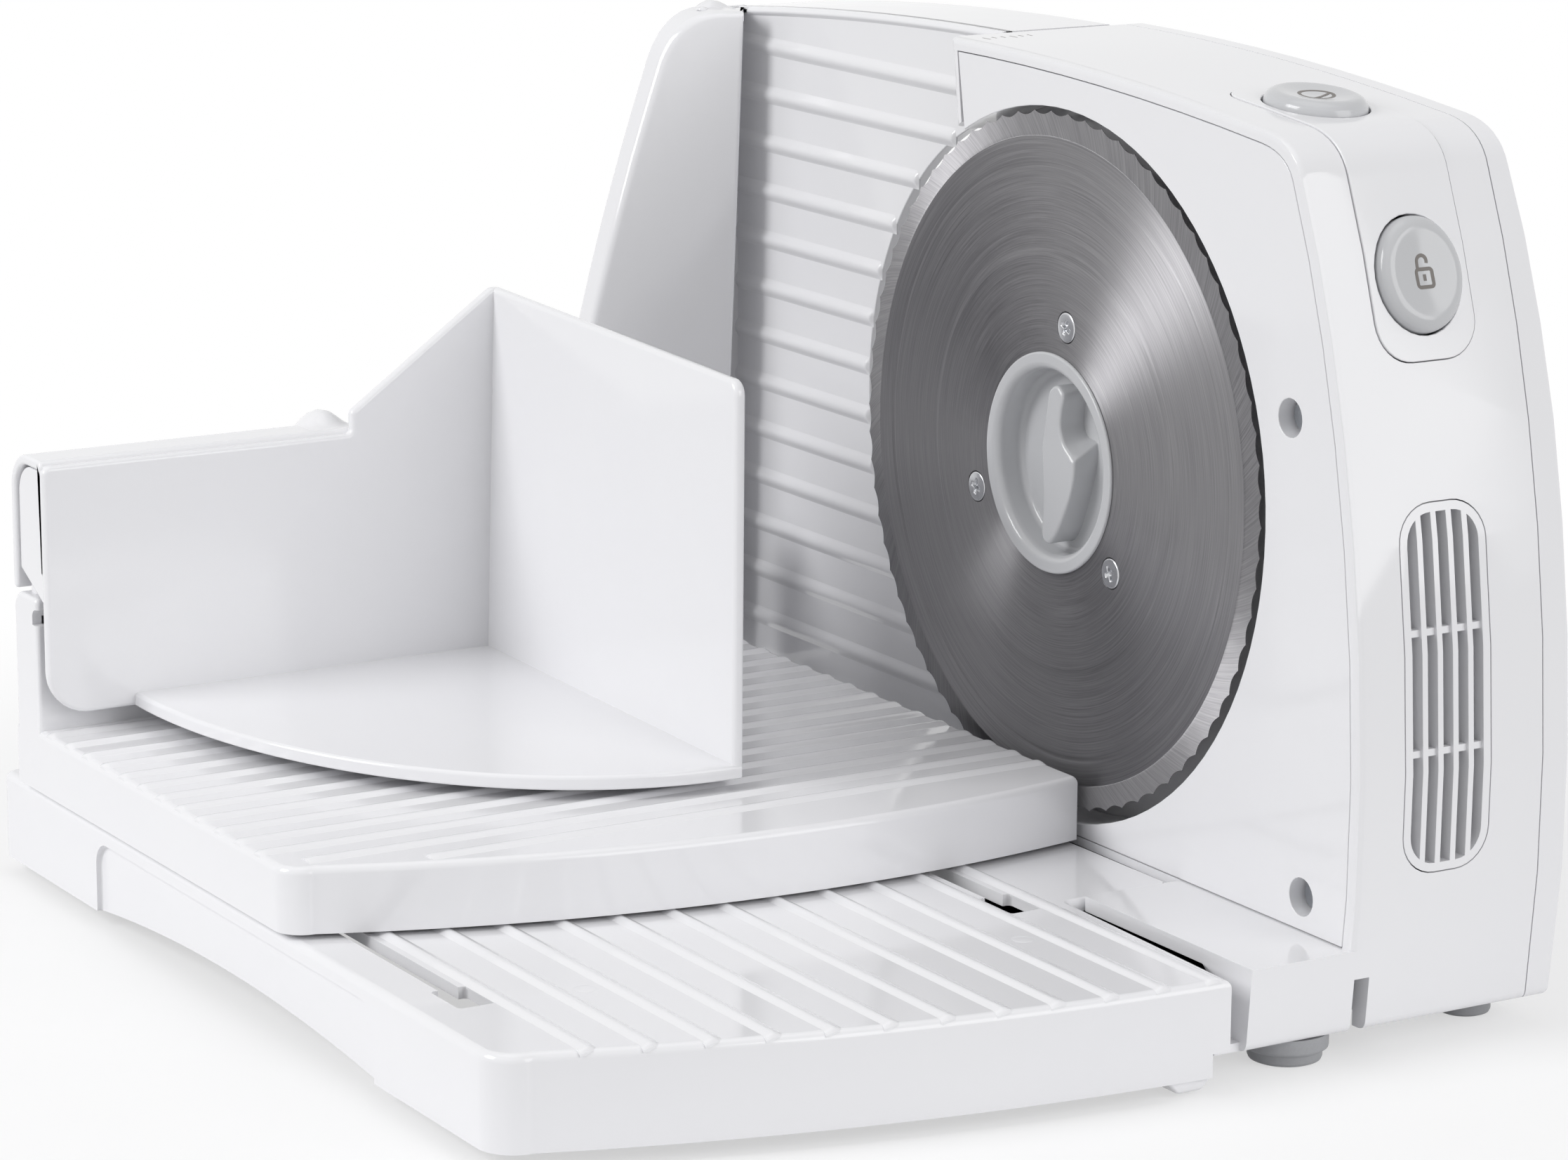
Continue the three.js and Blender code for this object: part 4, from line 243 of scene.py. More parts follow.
@dataclass(frozen=True)
class TurnedMetal:
    """Machined metal: short scratches along one axis and a little colour change, as a lathe leaves it."""

    name: str
    colour: str
    shade: str
    roughness: float
    roughness_swing: float = 0.08
    scratch_mm: float = 0.8
    stretch: float = 0.06
    scratch_height_mm: float = 0.01
    scratch_strength: float = 0.4

    def material(self) -> Material:
        """Builds the node material.

        Returns:
            The material.
        """
        material, tree, place = new_tree(self.name)
        long = add_node(tree, "ShaderNodeMapping", {"Scale": (self.stretch, 1.0, 1.0)}, {"Vector": place})
        lines = noise(tree, long.outputs[0], 1 / (self.scratch_mm * MM), 3.0, 0.6)
        gloss = remap(tree, lines, UNIT_RANGE, spread(self.roughness, self.roughness_swing))
        shader = add_node(tree, "ShaderNodeBsdfPrincipled", {"Metallic": 1.0},
                          {"Base Color": blend(tree, self.colour, self.shade, lines), "Roughness": gloss,
                           "Normal": relief(tree, lines, self.scratch_strength, self.scratch_height_mm)})
        close_tree(tree, shader)
        return material


@dataclass(frozen=True)
class MouldedRubber:
    """Moulded rubber: matt, with a fine grain and dust in it."""

    name: str
    colour: str
    dust: str
    roughness: float = 0.55
    ior: float = 1.52
    grain_mm: float = 0.7
    grain_height_mm: float = 0.03
    grain_strength: float = 0.6

    def material(self) -> Material:
        """Builds the node material.

        Returns:
            The material.
        """
        material, tree, place = new_tree(self.name)
        grain = noise(tree, place, 1 / (self.grain_mm * MM), 4.0, 0.65)
        shader = add_node(tree, "ShaderNodeBsdfPrincipled", {"Roughness": self.roughness, "IOR": self.ior},
                          {"Base Color": blend(tree, self.colour, self.dust, grain),
                           "Normal": relief(tree, grain, self.grain_strength, self.grain_height_mm)})
        close_tree(tree, shader)
        return material


@dataclass(frozen=True)
class GroundBladeSteel:
    """Brushed blade steel: fine rings round the axis, and slanted grinding lines on the edge band.

    The ring turn sets the highlight across the rings, as a share of a full turn.
    """

    name: str = "ground_stainless_steel"
    colour: str = "#A09FA1"
    shade: str = "#8E8D90"
    roughness: float = 0.48
    roughness_swing: float = 0.06
    ring_mm: float = 0.3
    ring_turn: float = 0.25
    arc_count: float = 2.0
    band_radius_mm: float = 78.9
    band_blur_mm: float = 0.1
    grind_mm: float = 0.45
    grind_across: float = 60.0
    grind_slant: float = 9.0
    line_height_mm: float = 0.006
    line_strength: float = 0.35

    def material(self) -> Material:
        """Builds the node material from the distance to the blade's axis and the direction from it.

        Returns:
            The material.
        """
        material, tree, place = new_tree(self.name)
        local = add_node(tree, "ShaderNodeVectorMath", {"operation": "SUBTRACT", 1: tuple(ORIGIN * MM)},
                         {0: place})
        flat = add_node(tree, "ShaderNodeVectorMath", {"operation": "MULTIPLY", 1: (0.0, 1.0, 1.0)},
                        {0: local.outputs[0]}).outputs[0]
        radius = add_node(tree, "ShaderNodeVectorMath", {"operation": "LENGTH"}, {0: flat}).outputs[1]
        ray = add_node(tree, "ShaderNodeVectorMath", {"operation": "NORMALIZE"}, {0: flat}).outputs[0]
        ring_place = self.pattern(tree, radius, ray, 1 / (self.ring_mm * MM), self.arc_count)
        rings = noise(tree, ring_place, 1.0, 3.0, 0.65)
        slant = add_node(tree, "ShaderNodeMath", {"operation": "MULTIPLY", 1: self.grind_slant}, {0: radius})
        leaned = add_node(tree, "ShaderNodeVectorRotate", {"rotation_type": "X_AXIS"},
                          {"Vector": ray, "Angle": slant.outputs[0]}).outputs[0]
        turns = self.band_radius_mm / self.grind_mm
        lines = noise(tree, self.pattern(tree, radius, leaned, self.grind_across, turns), 1.0, 2.0, 0.7)
        band_edge = [limit * MM for limit in spread(self.band_radius_mm, self.band_blur_mm)]
        band = remap(tree, radius, band_edge, UNIT_RANGE)
        height = add_node(tree, "ShaderNodeMix", {"data_type": "FLOAT"},
                          {0: band, 2: rings, 3: lines}).outputs[0]
        tone = remap(tree, height, NOISE_RANGE, UNIT_RANGE)
        gloss = remap(tree, tone, UNIT_RANGE, spread(self.roughness, -self.roughness_swing))
        turn = remap(tree, band, UNIT_RANGE, (self.ring_turn, 0.0))
        along = add_node(tree, "ShaderNodeTangent", {"direction_type": "RADIAL", "axis": "X"}, {})
        shader = add_node(tree, "ShaderNodeBsdfPrincipled", {"Metallic": 1.0, "Anisotropic": 1.0},
                          {"Base Color": blend(tree, self.shade, self.colour, tone), "Roughness": gloss,
                           "Normal": relief(tree, height, self.line_strength, self.line_height_mm),
                           "Anisotropic Rotation": turn, "Tangent": along.outputs[0]})
        close_tree(tree, shader)
        return material

    def pattern(self, tree: Tree, radius: Socket, ray: Socket, across: float, around: float) -> Socket:
        """Joins the radius and the direction to one pattern place, without a seam around the axis.

        Args:
            tree: The material's tree.
            radius: Distance to the axis in metres.
            ray: Direction from the axis.
            across: Pattern steps for each metre of radius.
            around: Pattern steps for each radian around.

        Returns:
            The place as a vector socket.
        """
        step = add_node(tree, "ShaderNodeMath", {"operation": "MULTIPLY", 1: across}, {0: radius})
        depth = add_node(tree, "ShaderNodeCombineXYZ", {}, {"X": step.outputs[0]})
        wide = add_node(tree, "ShaderNodeVectorMath", {"operation": "SCALE", "Scale": around}, {0: ray})
        return add_node(tree, "ShaderNodeVectorMath", {"operation": "ADD"},
                        {0: depth.outputs[0], 1: wide.outputs[0]}).outputs[0]


Finish = MouldedPlastic | TurnedMetal | MouldedRubber | GroundBladeSteel

# White ABS, moulded in a polished tool: bright soft gloss
WHITE_ABS = MouldedPlastic("white_abs_polished", "#EDEDEF", "#EAEAED", 0.1)
# Light grey ABS of the buttons and the knob: same gloss, a little darker
GREY_ABS = MouldedPlastic("light_grey_abs", "#C6C7C9", "#C2C3C6", 0.14)
# Undyed acetal of gears and hub: waxy, cream white
NATURAL_ACETAL = MouldedPlastic("natural_acetal", "#DCD8CC", "#D3CEC0", 0.42, ior=1.48)
# Black glass-filled nylon of switch and fan: dull with a mottled skin
BLACK_NYLON = MouldedPlastic("black_glass_filled_nylon", "#1D1E20", "#2A2B2E", 0.5, skin_height_mm=0.02)
# Bright drawn steel of pins, rods and screws
DRAWN_STEEL = TurnedMetal("bright_drawn_steel", "#B9BCC0", "#A2A5AA", 0.3)
# Sintered bronze bushes: dull gold with open grain
SINTERED_BRONZE = TurnedMetal("sintered_bronze", "#A98A55", "#8C6F42", 0.45, stretch=1.0)
# Grey rubber feet
GREY_RUBBER = MouldedRubber("grey_rubber", "#98999C", "#A5A6A9")
# Green solder mask on glass-epoxy board
BOARD_LAMINATE = MouldedPlastic("glass_epoxy_board", "#2B6A44", "#235838", 0.35, skin_mm=0.6)
# Brushed and ground stainless steel of the blade
BLADE_STEEL = GroundBladeSteel()
# Nickel-plated screw heads: bright, nearly smooth
PLATED_SCREW = TurnedMetal("nickel_plated_steel", "#D2D3D5", "#BFC0C3", 0.2, stretch=1.0)
# Grey-brown print of the symbols and the thickness scale
GREY_PRINT = MouldedPlastic("grey_pad_print", "#75706C", "#6B6662", 0.5, skin_mm=0.5)

FINISHES: dict[Slot, Finish] = {
    Slot.WHITE: WHITE_ABS,
    Slot.GREY: GREY_ABS,
    Slot.INNER: NATURAL_ACETAL,
    Slot.DARK: BLACK_NYLON,
    Slot.BLADE: BLADE_STEEL,
    Slot.STEEL: DRAWN_STEEL,
    Slot.BRONZE: SINTERED_BRONZE,
    Slot.RUBBER: GREY_RUBBER,
    Slot.BOARD: BOARD_LAMINATE,
}
_made: dict[str, Material] = {}


def material_of(finish: Finish) -> Material:
    """Gives a finish's material, built once.

    Args:
        finish: The finish.

    Returns:
        Its material.
    """
    if finish.name not in _made:
        _made[finish.name] = finish.material()
    return _made[finish.name]


def placed(points: Array) -> Array:
    """Moves blade-frame millimetres to part-frame metres."""
    return (np.asarray(points, float) + ORIGIN) * MM


def new_object(name: str, mesh: bpy.types.Mesh) -> Piece:
    """Links a mesh to the scene as an object at the origin.

    Args:
        name: The object's name.
        mesh: Its mesh.

    Returns:
        The new object.
    """
    piece = bpy.data.objects.new(name, mesh)
    bpy.context.scene.collection.objects.link(piece)
    return piece


def settle(piece: Piece) -> None:
    """Puts the result of a piece's modifiers into its mesh and removes them.

    Args:
        piece: The object.
    """
    bpy.context.view_layer.update()
    graph = bpy.context.evaluated_depsgraph_get()
    mesh = bpy.data.meshes.new_from_object(piece.evaluated_get(graph))
    piece.modifiers.clear()
    old = piece.data
    piece.data = mesh
    bpy.data.meshes.remove(old)
    mesh.name = piece.name


def smooth(piece: Piece, angle: float) -> None:
    """Sets smooth normals that keep flat faces flat.

    Args:
        piece: The object.
        angle: Edges that turn more than this many degrees stay sharp.
    """
    piece.data.shade_smooth()
    piece.data.set_sharp_from_angle(angle=math.radians(angle))
    weigh = piece.modifiers.new("normals", "WEIGHTED_NORMAL")
    weigh.keep_sharp = True
    weigh.weight = 60
    settle(piece)


def soften(piece: Piece, width_mm: float, angle: float = 35.0) -> None:
    """Rounds a piece's sharp edges and sets smooth normals.

    Args:
        piece: The object.
        width_mm: Width of the rounded edge.
        angle: Edges that turn more than this many degrees are rounded.
    """
    bevel = piece.modifiers.new("edge", "BEVEL")
    bevel.width = width_mm * MM
    bevel.segments = 3
    bevel.limit_method = "ANGLE"
    bevel.angle_limit = math.radians(angle)
    bevel.use_clamp_overlap = True
    settle(piece)
    smooth(piece, angle)


def copy_of(node: str, name: str) -> Piece:
    """Copies a CAD node's mesh with its doubles merged and its flat faces joined.

    Args:
        node: The CAD node.
        name: The new piece's name.

    Returns:
        The copy.
    """
    mesh = frame["nodes"][node].data.copy()
    mesh.name = name
    mesh.materials.clear()
    work = bmesh.new()
    work.from_mesh(mesh)
    bmesh.ops.remove_doubles(work, verts=work.verts, dist=COPY_MERGE)
    bmesh.ops.dissolve_limit(work, angle_limit=math.radians(FLAT_TURN), verts=work.verts, edges=work.edges)
    work.to_mesh(mesh)
    work.free()
    return new_object(name, mesh)


def dress(piece: Piece, finish: Finish, slot: Slot, body: str, nodes: Sequence[str] = ()) -> None:
    """Gives a piece its material and body, and hides the CAD nodes it stands for.

    Args:
        piece: The object.
        finish: Its finish.
        slot: The record's slot; not used.
        body: The body it rides on.
        nodes: CAD nodes it replaces.
    """
    piece.data.materials.clear()
    piece.data.materials.append(material_of(finish))
    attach(piece, body)
    if nodes:
        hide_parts(*nodes)
    LOG.info("%s rides on %s with %d faces", piece.name, body, len(piece.data.polygons))


def points_of(piece: Piece) -> Array:
    """Reads a piece's points.

    Args:
        piece: The object.

    Returns:
        Its points in blade-frame millimetres.
    """
    flat = np.empty(len(piece.data.vertices) * 3, np.float32)
    piece.data.vertices.foreach_get("co", flat)
    return flat.astype(float).reshape(-1, 3) / MM - ORIGIN


def move_points(piece: Piece, points: Array) -> None:
    """Puts a piece's points at places in blade-frame millimetres."""
    piece.data.vertices.foreach_set("co", placed(points).astype(np.float32).ravel())


def grid_faces(rows: int, columns: int, loop: bool = False) -> Array:
    """Numbers the four corners of each cell of a grid whose rows are closed rings.

    Args:
        rows: How many rings.
        columns: Points around a ring.
        loop: Joins the last ring to the first.

    Returns:
        One row of four point numbers for each cell.
    """
    i, j = np.meshgrid(np.arange(rows - (not loop)), np.arange(columns), indexing="ij")
    k, m = (i + 1) % rows, (j + 1) % columns
    corners = [i * columns + j, k * columns + j, k * columns + m, i * columns + m]
    return np.stack(corners, -1).reshape(-1, 4)


def sheet(name: str, grid: Array, loop: bool = False) -> Piece:
    """Makes a mesh from a grid of points in blade-frame millimetres.

    Args:
        name: The piece's name.
        grid: Points as closed rings, points around and coordinates.
        loop: Joins the last ring to the first. Without it a flat face closes both.

    Returns:
        The new object, with its faces turned outward.
    """
    rows, columns = grid.shape[:2]
    faces = grid_faces(rows, columns, loop).tolist()
    if not loop:
        faces.append(list(range(columns)))
        faces.append(list(range((rows - 1) * columns, rows * columns)))
    mesh = bpy.data.meshes.new(name)
    mesh.from_pydata(placed(grid.reshape(-1, 3)).tolist(), [], faces)
    work = bmesh.new()
    work.from_mesh(mesh)
    bmesh.ops.remove_doubles(work, verts=work.verts, dist=MESH_MERGE)
    bmesh.ops.recalc_face_normals(work, faces=work.faces)
    work.to_mesh(mesh)
    work.free()
    return new_object(name, mesh)


def on_axis(flat: Array, axis: str, level: Array) -> Array:
    """Puts flat outline points into space at a level along an axis.

    Args:
        flat: Points with two coordinates each, in the order of the two other axes.
        axis: The axis the level is along, x, y or z.
        level: The level, one number or one for each point.

    Returns:
        Points with three coordinates each.
    """
    rise = np.broadcast_to(np.asarray(level, float), flat.shape[:-1])
    first, second = flat[..., 0], flat[..., 1]
    order = {"x": (rise, first, second), "y": (first, rise, second), "z": (first, second, rise)}
    return np.stack(order[axis], -1)


def inset(outline: Array, distance: float) -> Array:
    """Moves each point of a closed outline inward along the mean normal of its two sides.

    Args:
        outline: Points with two coordinates each.
        distance: How far, with a minus sign for outward.

    Returns:
        The moved outline.
    """
    before = outline - np.roll(outline, 1, 0)
    after = np.roll(outline, -1, 0) - outline
    before /= np.linalg.norm(before, axis=1, keepdims=True) + 1e-12
    after /= np.linalg.norm(after, axis=1, keepdims=True) + 1e-12
    x, y = outline.T
    area = np.sum(x * np.roll(y, -1) - np.roll(x, -1) * y)
    turn = 1.0 if area > 0 else -1.0
    normal = np.stack([-(before + after)[:, 1], (before + after)[:, 0]], -1) * turn
    size = np.linalg.norm(normal, axis=1, keepdims=True)
    longest = 1.6
    reach = np.clip(2 / (size + 1e-9), 1.0, longest)
    return outline + normal / (size + 1e-12) * distance * reach


def rounded(corners: Sequence[tuple[float, float, float]], steps: int = 8) -> Array:
    """Draws a closed outline with a circular arc at each corner.

    Args:
        corners: Two coordinates and a radius each.
        steps: Points along an arc.

    Returns:
        The outline's points.
    """
    places = np.array([c[:2] for c in corners], float)
    nearly_straight = math.pi / 2 - 0.01
    most_of_side = 0.49
    pieces = []
    for i, (_, _, radius) in enumerate(corners):
        here = places[i]
        back = places[i - 1] - here
        ahead = places[(i + 1) % len(places)] - here
        back_length, ahead_length = np.linalg.norm(back), np.linalg.norm(ahead)
        back, ahead = back / back_length, ahead / ahead_length
        half = math.acos(float(np.clip(back @ ahead, -1, 1))) / 2
        if radius <= 0 or half > nearly_straight:
            pieces.append(here[None])
            continue
        cut = min(radius / math.tan(half), most_of_side * back_length, most_of_side * ahead_length)
        true_radius = cut * math.tan(half)
        middle = here + (back + ahead) / np.linalg.norm(back + ahead) * true_radius / math.sin(half)
        start, end = here + back * cut - middle, here + ahead * cut - middle
        share = np.linspace(0, 1, steps)[:, None]
        arc = start * (1 - share) + end * share
        pieces.append(middle + arc / np.linalg.norm(arc, axis=1, keepdims=True) * true_radius)
    return np.concatenate(pieces)


def smooth_through(points: Sequence[tuple[float, float]], steps: int = 8) -> Array:
    """Carries a closed curve through points.

    Each span is a cubic whose slope at a point is the chord of the point's two neighbours.

    Args:
        points: Points with two coordinates each.
        steps: Points along a span.

    Returns:
        The curve's points.
    """
    places = np.array(points, float)
    share = np.linspace(0, 1, steps, endpoint=False)[:, None, None]
    before, after, beyond = np.roll(places, 1, 0), np.roll(places, -1, 0), np.roll(places, -2, 0)
    spans = 0.5 * (2 * places + (after - before) * share
                   + (2 * before - 5 * places + 4 * after - beyond) * share ** 2
                   + (3 * places - before - 3 * after + beyond) * share ** 3)
    return spans.transpose(1, 0, 2).reshape(-1, 2)


def edge_rings(outline: Array, axis: str, level: float, radius: float, steps: int,
               last: bool = False) -> list[Array]:
    """Rings of a carried outline over the quarter-circle edge at one of its ends.

    The outline moves inward by the radius times one minus the cosine of an angle, while its level moves away
    from the end by the radius times one minus the sine.

    Args:
        outline: Closed outline with two coordinates each.
        axis: The axis it is carried along.
        level: Level of the end.
        radius: Radius of the edge, or 0 for a sharp one.
        steps: Points across the edge.
        last: Whether it is the end with the higher level.

    Returns:
        The rings in rising order.
    """
    if radius <= 0:
        return [on_axis(outline, axis, level)]
    inward = -radius if last else radius
    rings = [on_axis(inset(outline, radius * (1 - math.cos(a))), axis, level + inward * (1 - math.sin(a)))
             for a in np.linspace(math.pi / 2, 0, steps)]
    return rings[::-1] if last else rings


def solid(name: str, outline: Array, axis: str, low: float, high: float, low_round: float = 0.0,
          high_round: float = 0.0, steps: int = 6) -> Piece:
    """Carries an outline along an axis and rounds its two ends.

    Args:
        name: The piece's name.
        outline: Closed outline with two coordinates each.
        axis: The axis it is carried along.
        low: Level of the first end.
        high: Level of the last end.
        low_round: Radius of the first end's edge.
        high_round: Radius of the last end's edge.
        steps: Points across a rounded edge.

    Returns:
        A closed object.
    """
    rings = edge_rings(outline, axis, low, low_round, steps)
    rings += edge_rings(outline, axis, high, high_round, steps, last=True)
    return sheet(name, np.stack(rings))


def block(name: str, x: tuple[float, float], y: tuple[float, float], z: tuple[float, float]) -> Piece:
    """Makes a plain cutter from its limits along X, Y and Z."""
    outline = np.array([(x[0], y[0]), (x[1], y[0]), (x[1], y[1]), (x[0], y[1])], float)
    return solid(name, outline, "z", *z)


def shape(body: Piece, how: Shape, *tools: Piece) -> None:
    """Cuts or joins a body with closed tools, which are then removed.

    Args:
        body: The closed body.
        how: What the tools do.
        tools: Closed tools.
    """
    for tool in tools:
        step = body.modifiers.new("shape", "BOOLEAN")
        step.operation = how.value
        step.solver = "MANIFOLD"
        step.object = tool
        settle(body)
        mesh = tool.data
        bpy.data.objects.remove(tool)
        bpy.data.meshes.remove(mesh)


def gather(name: str, *pieces: Piece) -> Piece:
    """Puts several meshes into one piece.

    Args:
        name: The new piece's name.
        pieces: Objects to take, which are then removed.

    Returns:
        The new piece.
    """
    work = bmesh.new()
    for piece in pieces:
        work.from_mesh(piece.data)
        mesh = piece.data
        bpy.data.objects.remove(piece)
        bpy.data.meshes.remove(mesh)
    mesh = bpy.data.meshes.new(name)
    work.to_mesh(mesh)
    work.free()
    return new_object(name, mesh)


def turned(name: str, profile: Sequence[tuple[float, float]], axis: str, centre: Sequence[float],
           columns: int = 96) -> Piece:
    """Turns a profile about an axis.

    Args:
        name: The piece's name.
        profile: Radius and level along the axis, from one end to the other.
        axis: The axis.
        centre: A point of the axis in blade-frame millimetres.
        columns: Points around.

    Returns:
        A closed object.
    """
    angle = np.linspace(0, 2 * math.pi, columns, endpoint=False)
    radius, level = np.array(profile, float).T
    flat = radius[:, None, None] * np.stack([np.cos(angle), np.sin(angle)], -1)[None]
    return sheet(name, on_axis(flat, axis, level[:, None]) + np.asarray(centre, float))


def smoothstep(value: Array) -> Array:
    """Rises from 0 to 1 with level ends."""
    share = np.clip(value, 0, 1)
    return share * share * (3 - 2 * share)


def edge_drop(distance: Array, radius: float) -> Array:
    """How far a quarter-circle edge lies under the flat face, at a distance from the outer side."""
    inner = np.clip(radius - distance, 0, radius)
    return radius - np.sqrt(radius ** 2 - inner ** 2)


def ridge(name: str, path: Array, side: Sequence[float], out: Sequence[float] | Array, half_width: float,
          heights: Array) -> Piece:
    """Carries a rounded ridge along a path on a surface.

    Across the ridge its height is the given height times one less the squared share of the half width, to
    the power 1.5, so both sides run out softly, and its foot is sunk into the surface.

    Args:
        name: The piece's name.
        path: Points on the surface.
        side: The direction across.
        out: The outward direction, one for all points or one for each.
        half_width: Half of the ridge's width.
        heights: The height at each point.

    Returns:
        A closed object.
    """
    sink = 0.02
    foot = 0.5
    across = np.linspace(-1, 1, 15)
    lift = (1 - across ** 2) ** 1.5
    sideways = np.asarray(side, float) * (across * half_width)[None, :, None]
    outward = np.broadcast_to(np.asarray(out, float), path.shape)[:, None]
    top = path[:, None] + sideways + outward * (heights[:, None] * lift[None] - sink)[..., None]
    under = path[:, None] + sideways[:, ::-1] - outward * foot
    return sheet(name, np.concatenate([top, under], 1))


def bowed_side(near_edge: Callable[[Array], Array], left: float, right: float, corner: float) -> Array:
    """The near side of a plan: an arc round its left corner, then the bowed edge.

    Args:
        near_edge: Gives Y of the bowed edge from X.
        left: X of the left side.
        right: X where the bowed edge ends.
        corner: Radius of the left corner.

    Returns:
        Points from the left side to the right.
    """
    x = np.linspace(left + corner, right, 70)
    bow = np.stack([x, near_edge(x)], -1)
    turn = np.linspace(math.pi, 1.5 * math.pi, 12)[:-1]
    middle = bow[0] + np.array((0.0, corner))
    arc = middle + corner * np.stack([np.cos(turn), np.sin(turn)], -1)
    return np.concatenate([arc, bow])


@dataclass
class Blade:
    """The round blade with dished middle, rolled groove, ground band and scalloped edge, and its screws."""

    radius: float = 85.0
    thickness: float = 1.4
    bore: float = 24.3
    dish_start: float = 50.0
    dish_width: float = 2.6
    dish_drop: float = 0.7
    groove_radius: float = 72.6
    groove_width: float = 0.6
    groove_depth: float = 0.28
    groove_span: float = 1.2
    ground_start: float = 78.9
    ground_drop: float = 0.4
    teeth: int = 74
    tooth_points: int = 12
    tooth_depth: float = 1.0
    tooth_power: float = 0.9
    edge_thickness: float = 0.12
    screw_count: int = 3
    screw_circle: float = 34.5
    screw_angle: float = 100.0
    screw_turn: float = 25.0
    screw_turn_step: float = 40.0
    screw_head: float = 3.7
    screw_gap: float = 0.25
    screw_proud: float = 0.3
    screw_dome: float = 0.16
    screw_shank: float = 1.5
    screw_depth: float = 4.1
    slot_depth: float = 1.0
    slot_half_width: float = 0.62
    slot_side: float = 0.3
    slot_reach: float = 2.1
    slot_end: float = 0.9

    def build(self) -> None:
        """Makes the blade and its screws."""
        blade = self.disc()
        step = 360 / self.screw_count
        angles = [math.radians(self.screw_angle + step * i) for i in range(self.screw_count)]
        places = [(self.screw_circle * math.cos(a), self.screw_circle * math.sin(a)) for a in angles]
        hole = self.screw_head + self.screw_gap
        bore = [(hole, -1), (hole, self.thickness + 1)]
        shape(blade, Shape.CUT, *[turned("hole", bore, "x", (0, y, z), 40) for y, z in places])
        smooth(blade, 28.0)
        dress(blade, BLADE_STEEL, Slot.BLADE, "rotor", ["blade"])
        for i, (y, z) in enumerate(places):
            turn = self.screw_turn + self.screw_turn_step * i
            screw = self.screw(f"blade_screw_{i + 1}_shown", y, z, turn)
            smooth(screw, 38.0)
            dress(screw, PLATED_SCREW, Slot.STEEL, "rotor", [f"blade_screw_{i + 1}"])

    def disc(self) -> Piece:
        """The disc as a grid of rings around the axis.

        The front lies back by a smooth step at the dish and by a bell curve in the groove. In the ground band
        the radius goes evenly from the band's start to the edge. The edge is the radius less the tooth depth
        times a power of the sine of half the tooth angle, so the teeth are points between hollow arcs.

        Returns:
            A closed object.
        """
        angle = np.linspace(0, 2 * math.pi, self.teeth * self.tooth_points, endpoint=False)
        hollow = np.abs(np.sin(angle * self.teeth / 2)) ** self.tooth_power
        edge = self.radius - self.tooth_depth * hollow
        dish_end = self.dish_start + self.dish_width
        groove_start, groove_end = spread(self.groove_radius, self.groove_span)
        front = np.concatenate([np.linspace(self.bore, self.dish_start, 6),
                                np.linspace(self.dish_start + 0.4, dish_end, 9),
                                np.linspace(dish_end + 1, groove_start - 0.1, 4),
                                np.linspace(groove_start, groove_end, 13),
                                np.linspace(groove_end + 0.4, self.ground_start, 4)])
        drop = (self.dish_drop * smoothstep((front - self.dish_start) / self.dish_width)
                + self.groove_depth * np.exp(-((front - self.groove_radius) / self.groove_width) ** 2))
        share = np.linspace(0, 1, 7)[1:, None]
        band = self.ground_start + share * (edge - self.ground_start)
        band_drop = self.dish_drop + self.ground_drop * share + np.zeros_like(band)
        wide = np.ones_like(angle)
        radius = np.concatenate([front[:, None] * wide, band, edge[None], self.ground_start * wide[None],
                                 self.bore * wide[None]])
        level = np.concatenate([drop[:, None] * wide, band_drop, (band_drop[-1] + self.edge_thickness)[None],
                                self.thickness * wide[None], self.thickness * wide[None]])
        grid = np.stack([level, radius * np.cos(angle), radius * np.sin(angle)], -1)
        return sheet("blade_shown", grid, loop=True)

    def screw(self, name: str, y: float, z: float, turn: float) -> Piece:
        """A low domed head with a cross recess, and its shank.

        Over the head the level is a shallow dome, less a recess that is deepest where two crossed slots meet
        and rises smoothly at their sides and ends.

        Args:
            name: The piece's name.
            y: Place along Y.
            z: Place along Z.
            turn: How far the cross is turned, in degrees.

        Returns:
            A closed object.
        """
        angle = np.linspace(0, 2 * math.pi, 96, endpoint=False)
        wide = np.ones_like(angle)
        radius = np.linspace(AXIS_GAP, self.screw_head - 0.35, 36)[:, None]
        lean = math.radians(turn)
        along, across = radius * np.cos(angle - lean), radius * np.sin(angle - lean)
        arms = [smoothstep((self.slot_half_width - np.abs(b)) / self.slot_side)
                * smoothstep((self.slot_reach - np.abs(a)) / self.slot_end)
                for a, b in ((along, across), (across, along))]
        dome = -self.screw_proud + self.screw_dome * (radius / self.screw_head) ** 2
        head = dome + self.slot_depth * np.maximum(*arms)
        rim = np.array([(self.screw_head - 0.12, -0.08), (self.screw_head, 0.12), (self.screw_head, 1.25),
                        (self.screw_shank, 1.35), (self.screw_shank, self.screw_depth)])
        flat = np.concatenate([radius * wide, rim[:, :1] * wide])
        level = np.concatenate([head, rim[:, 1:] * wide])
        grid = np.stack([level, y + flat * np.cos(angle), z + flat * np.sin(angle)], -1)
        return sheet(name, grid)


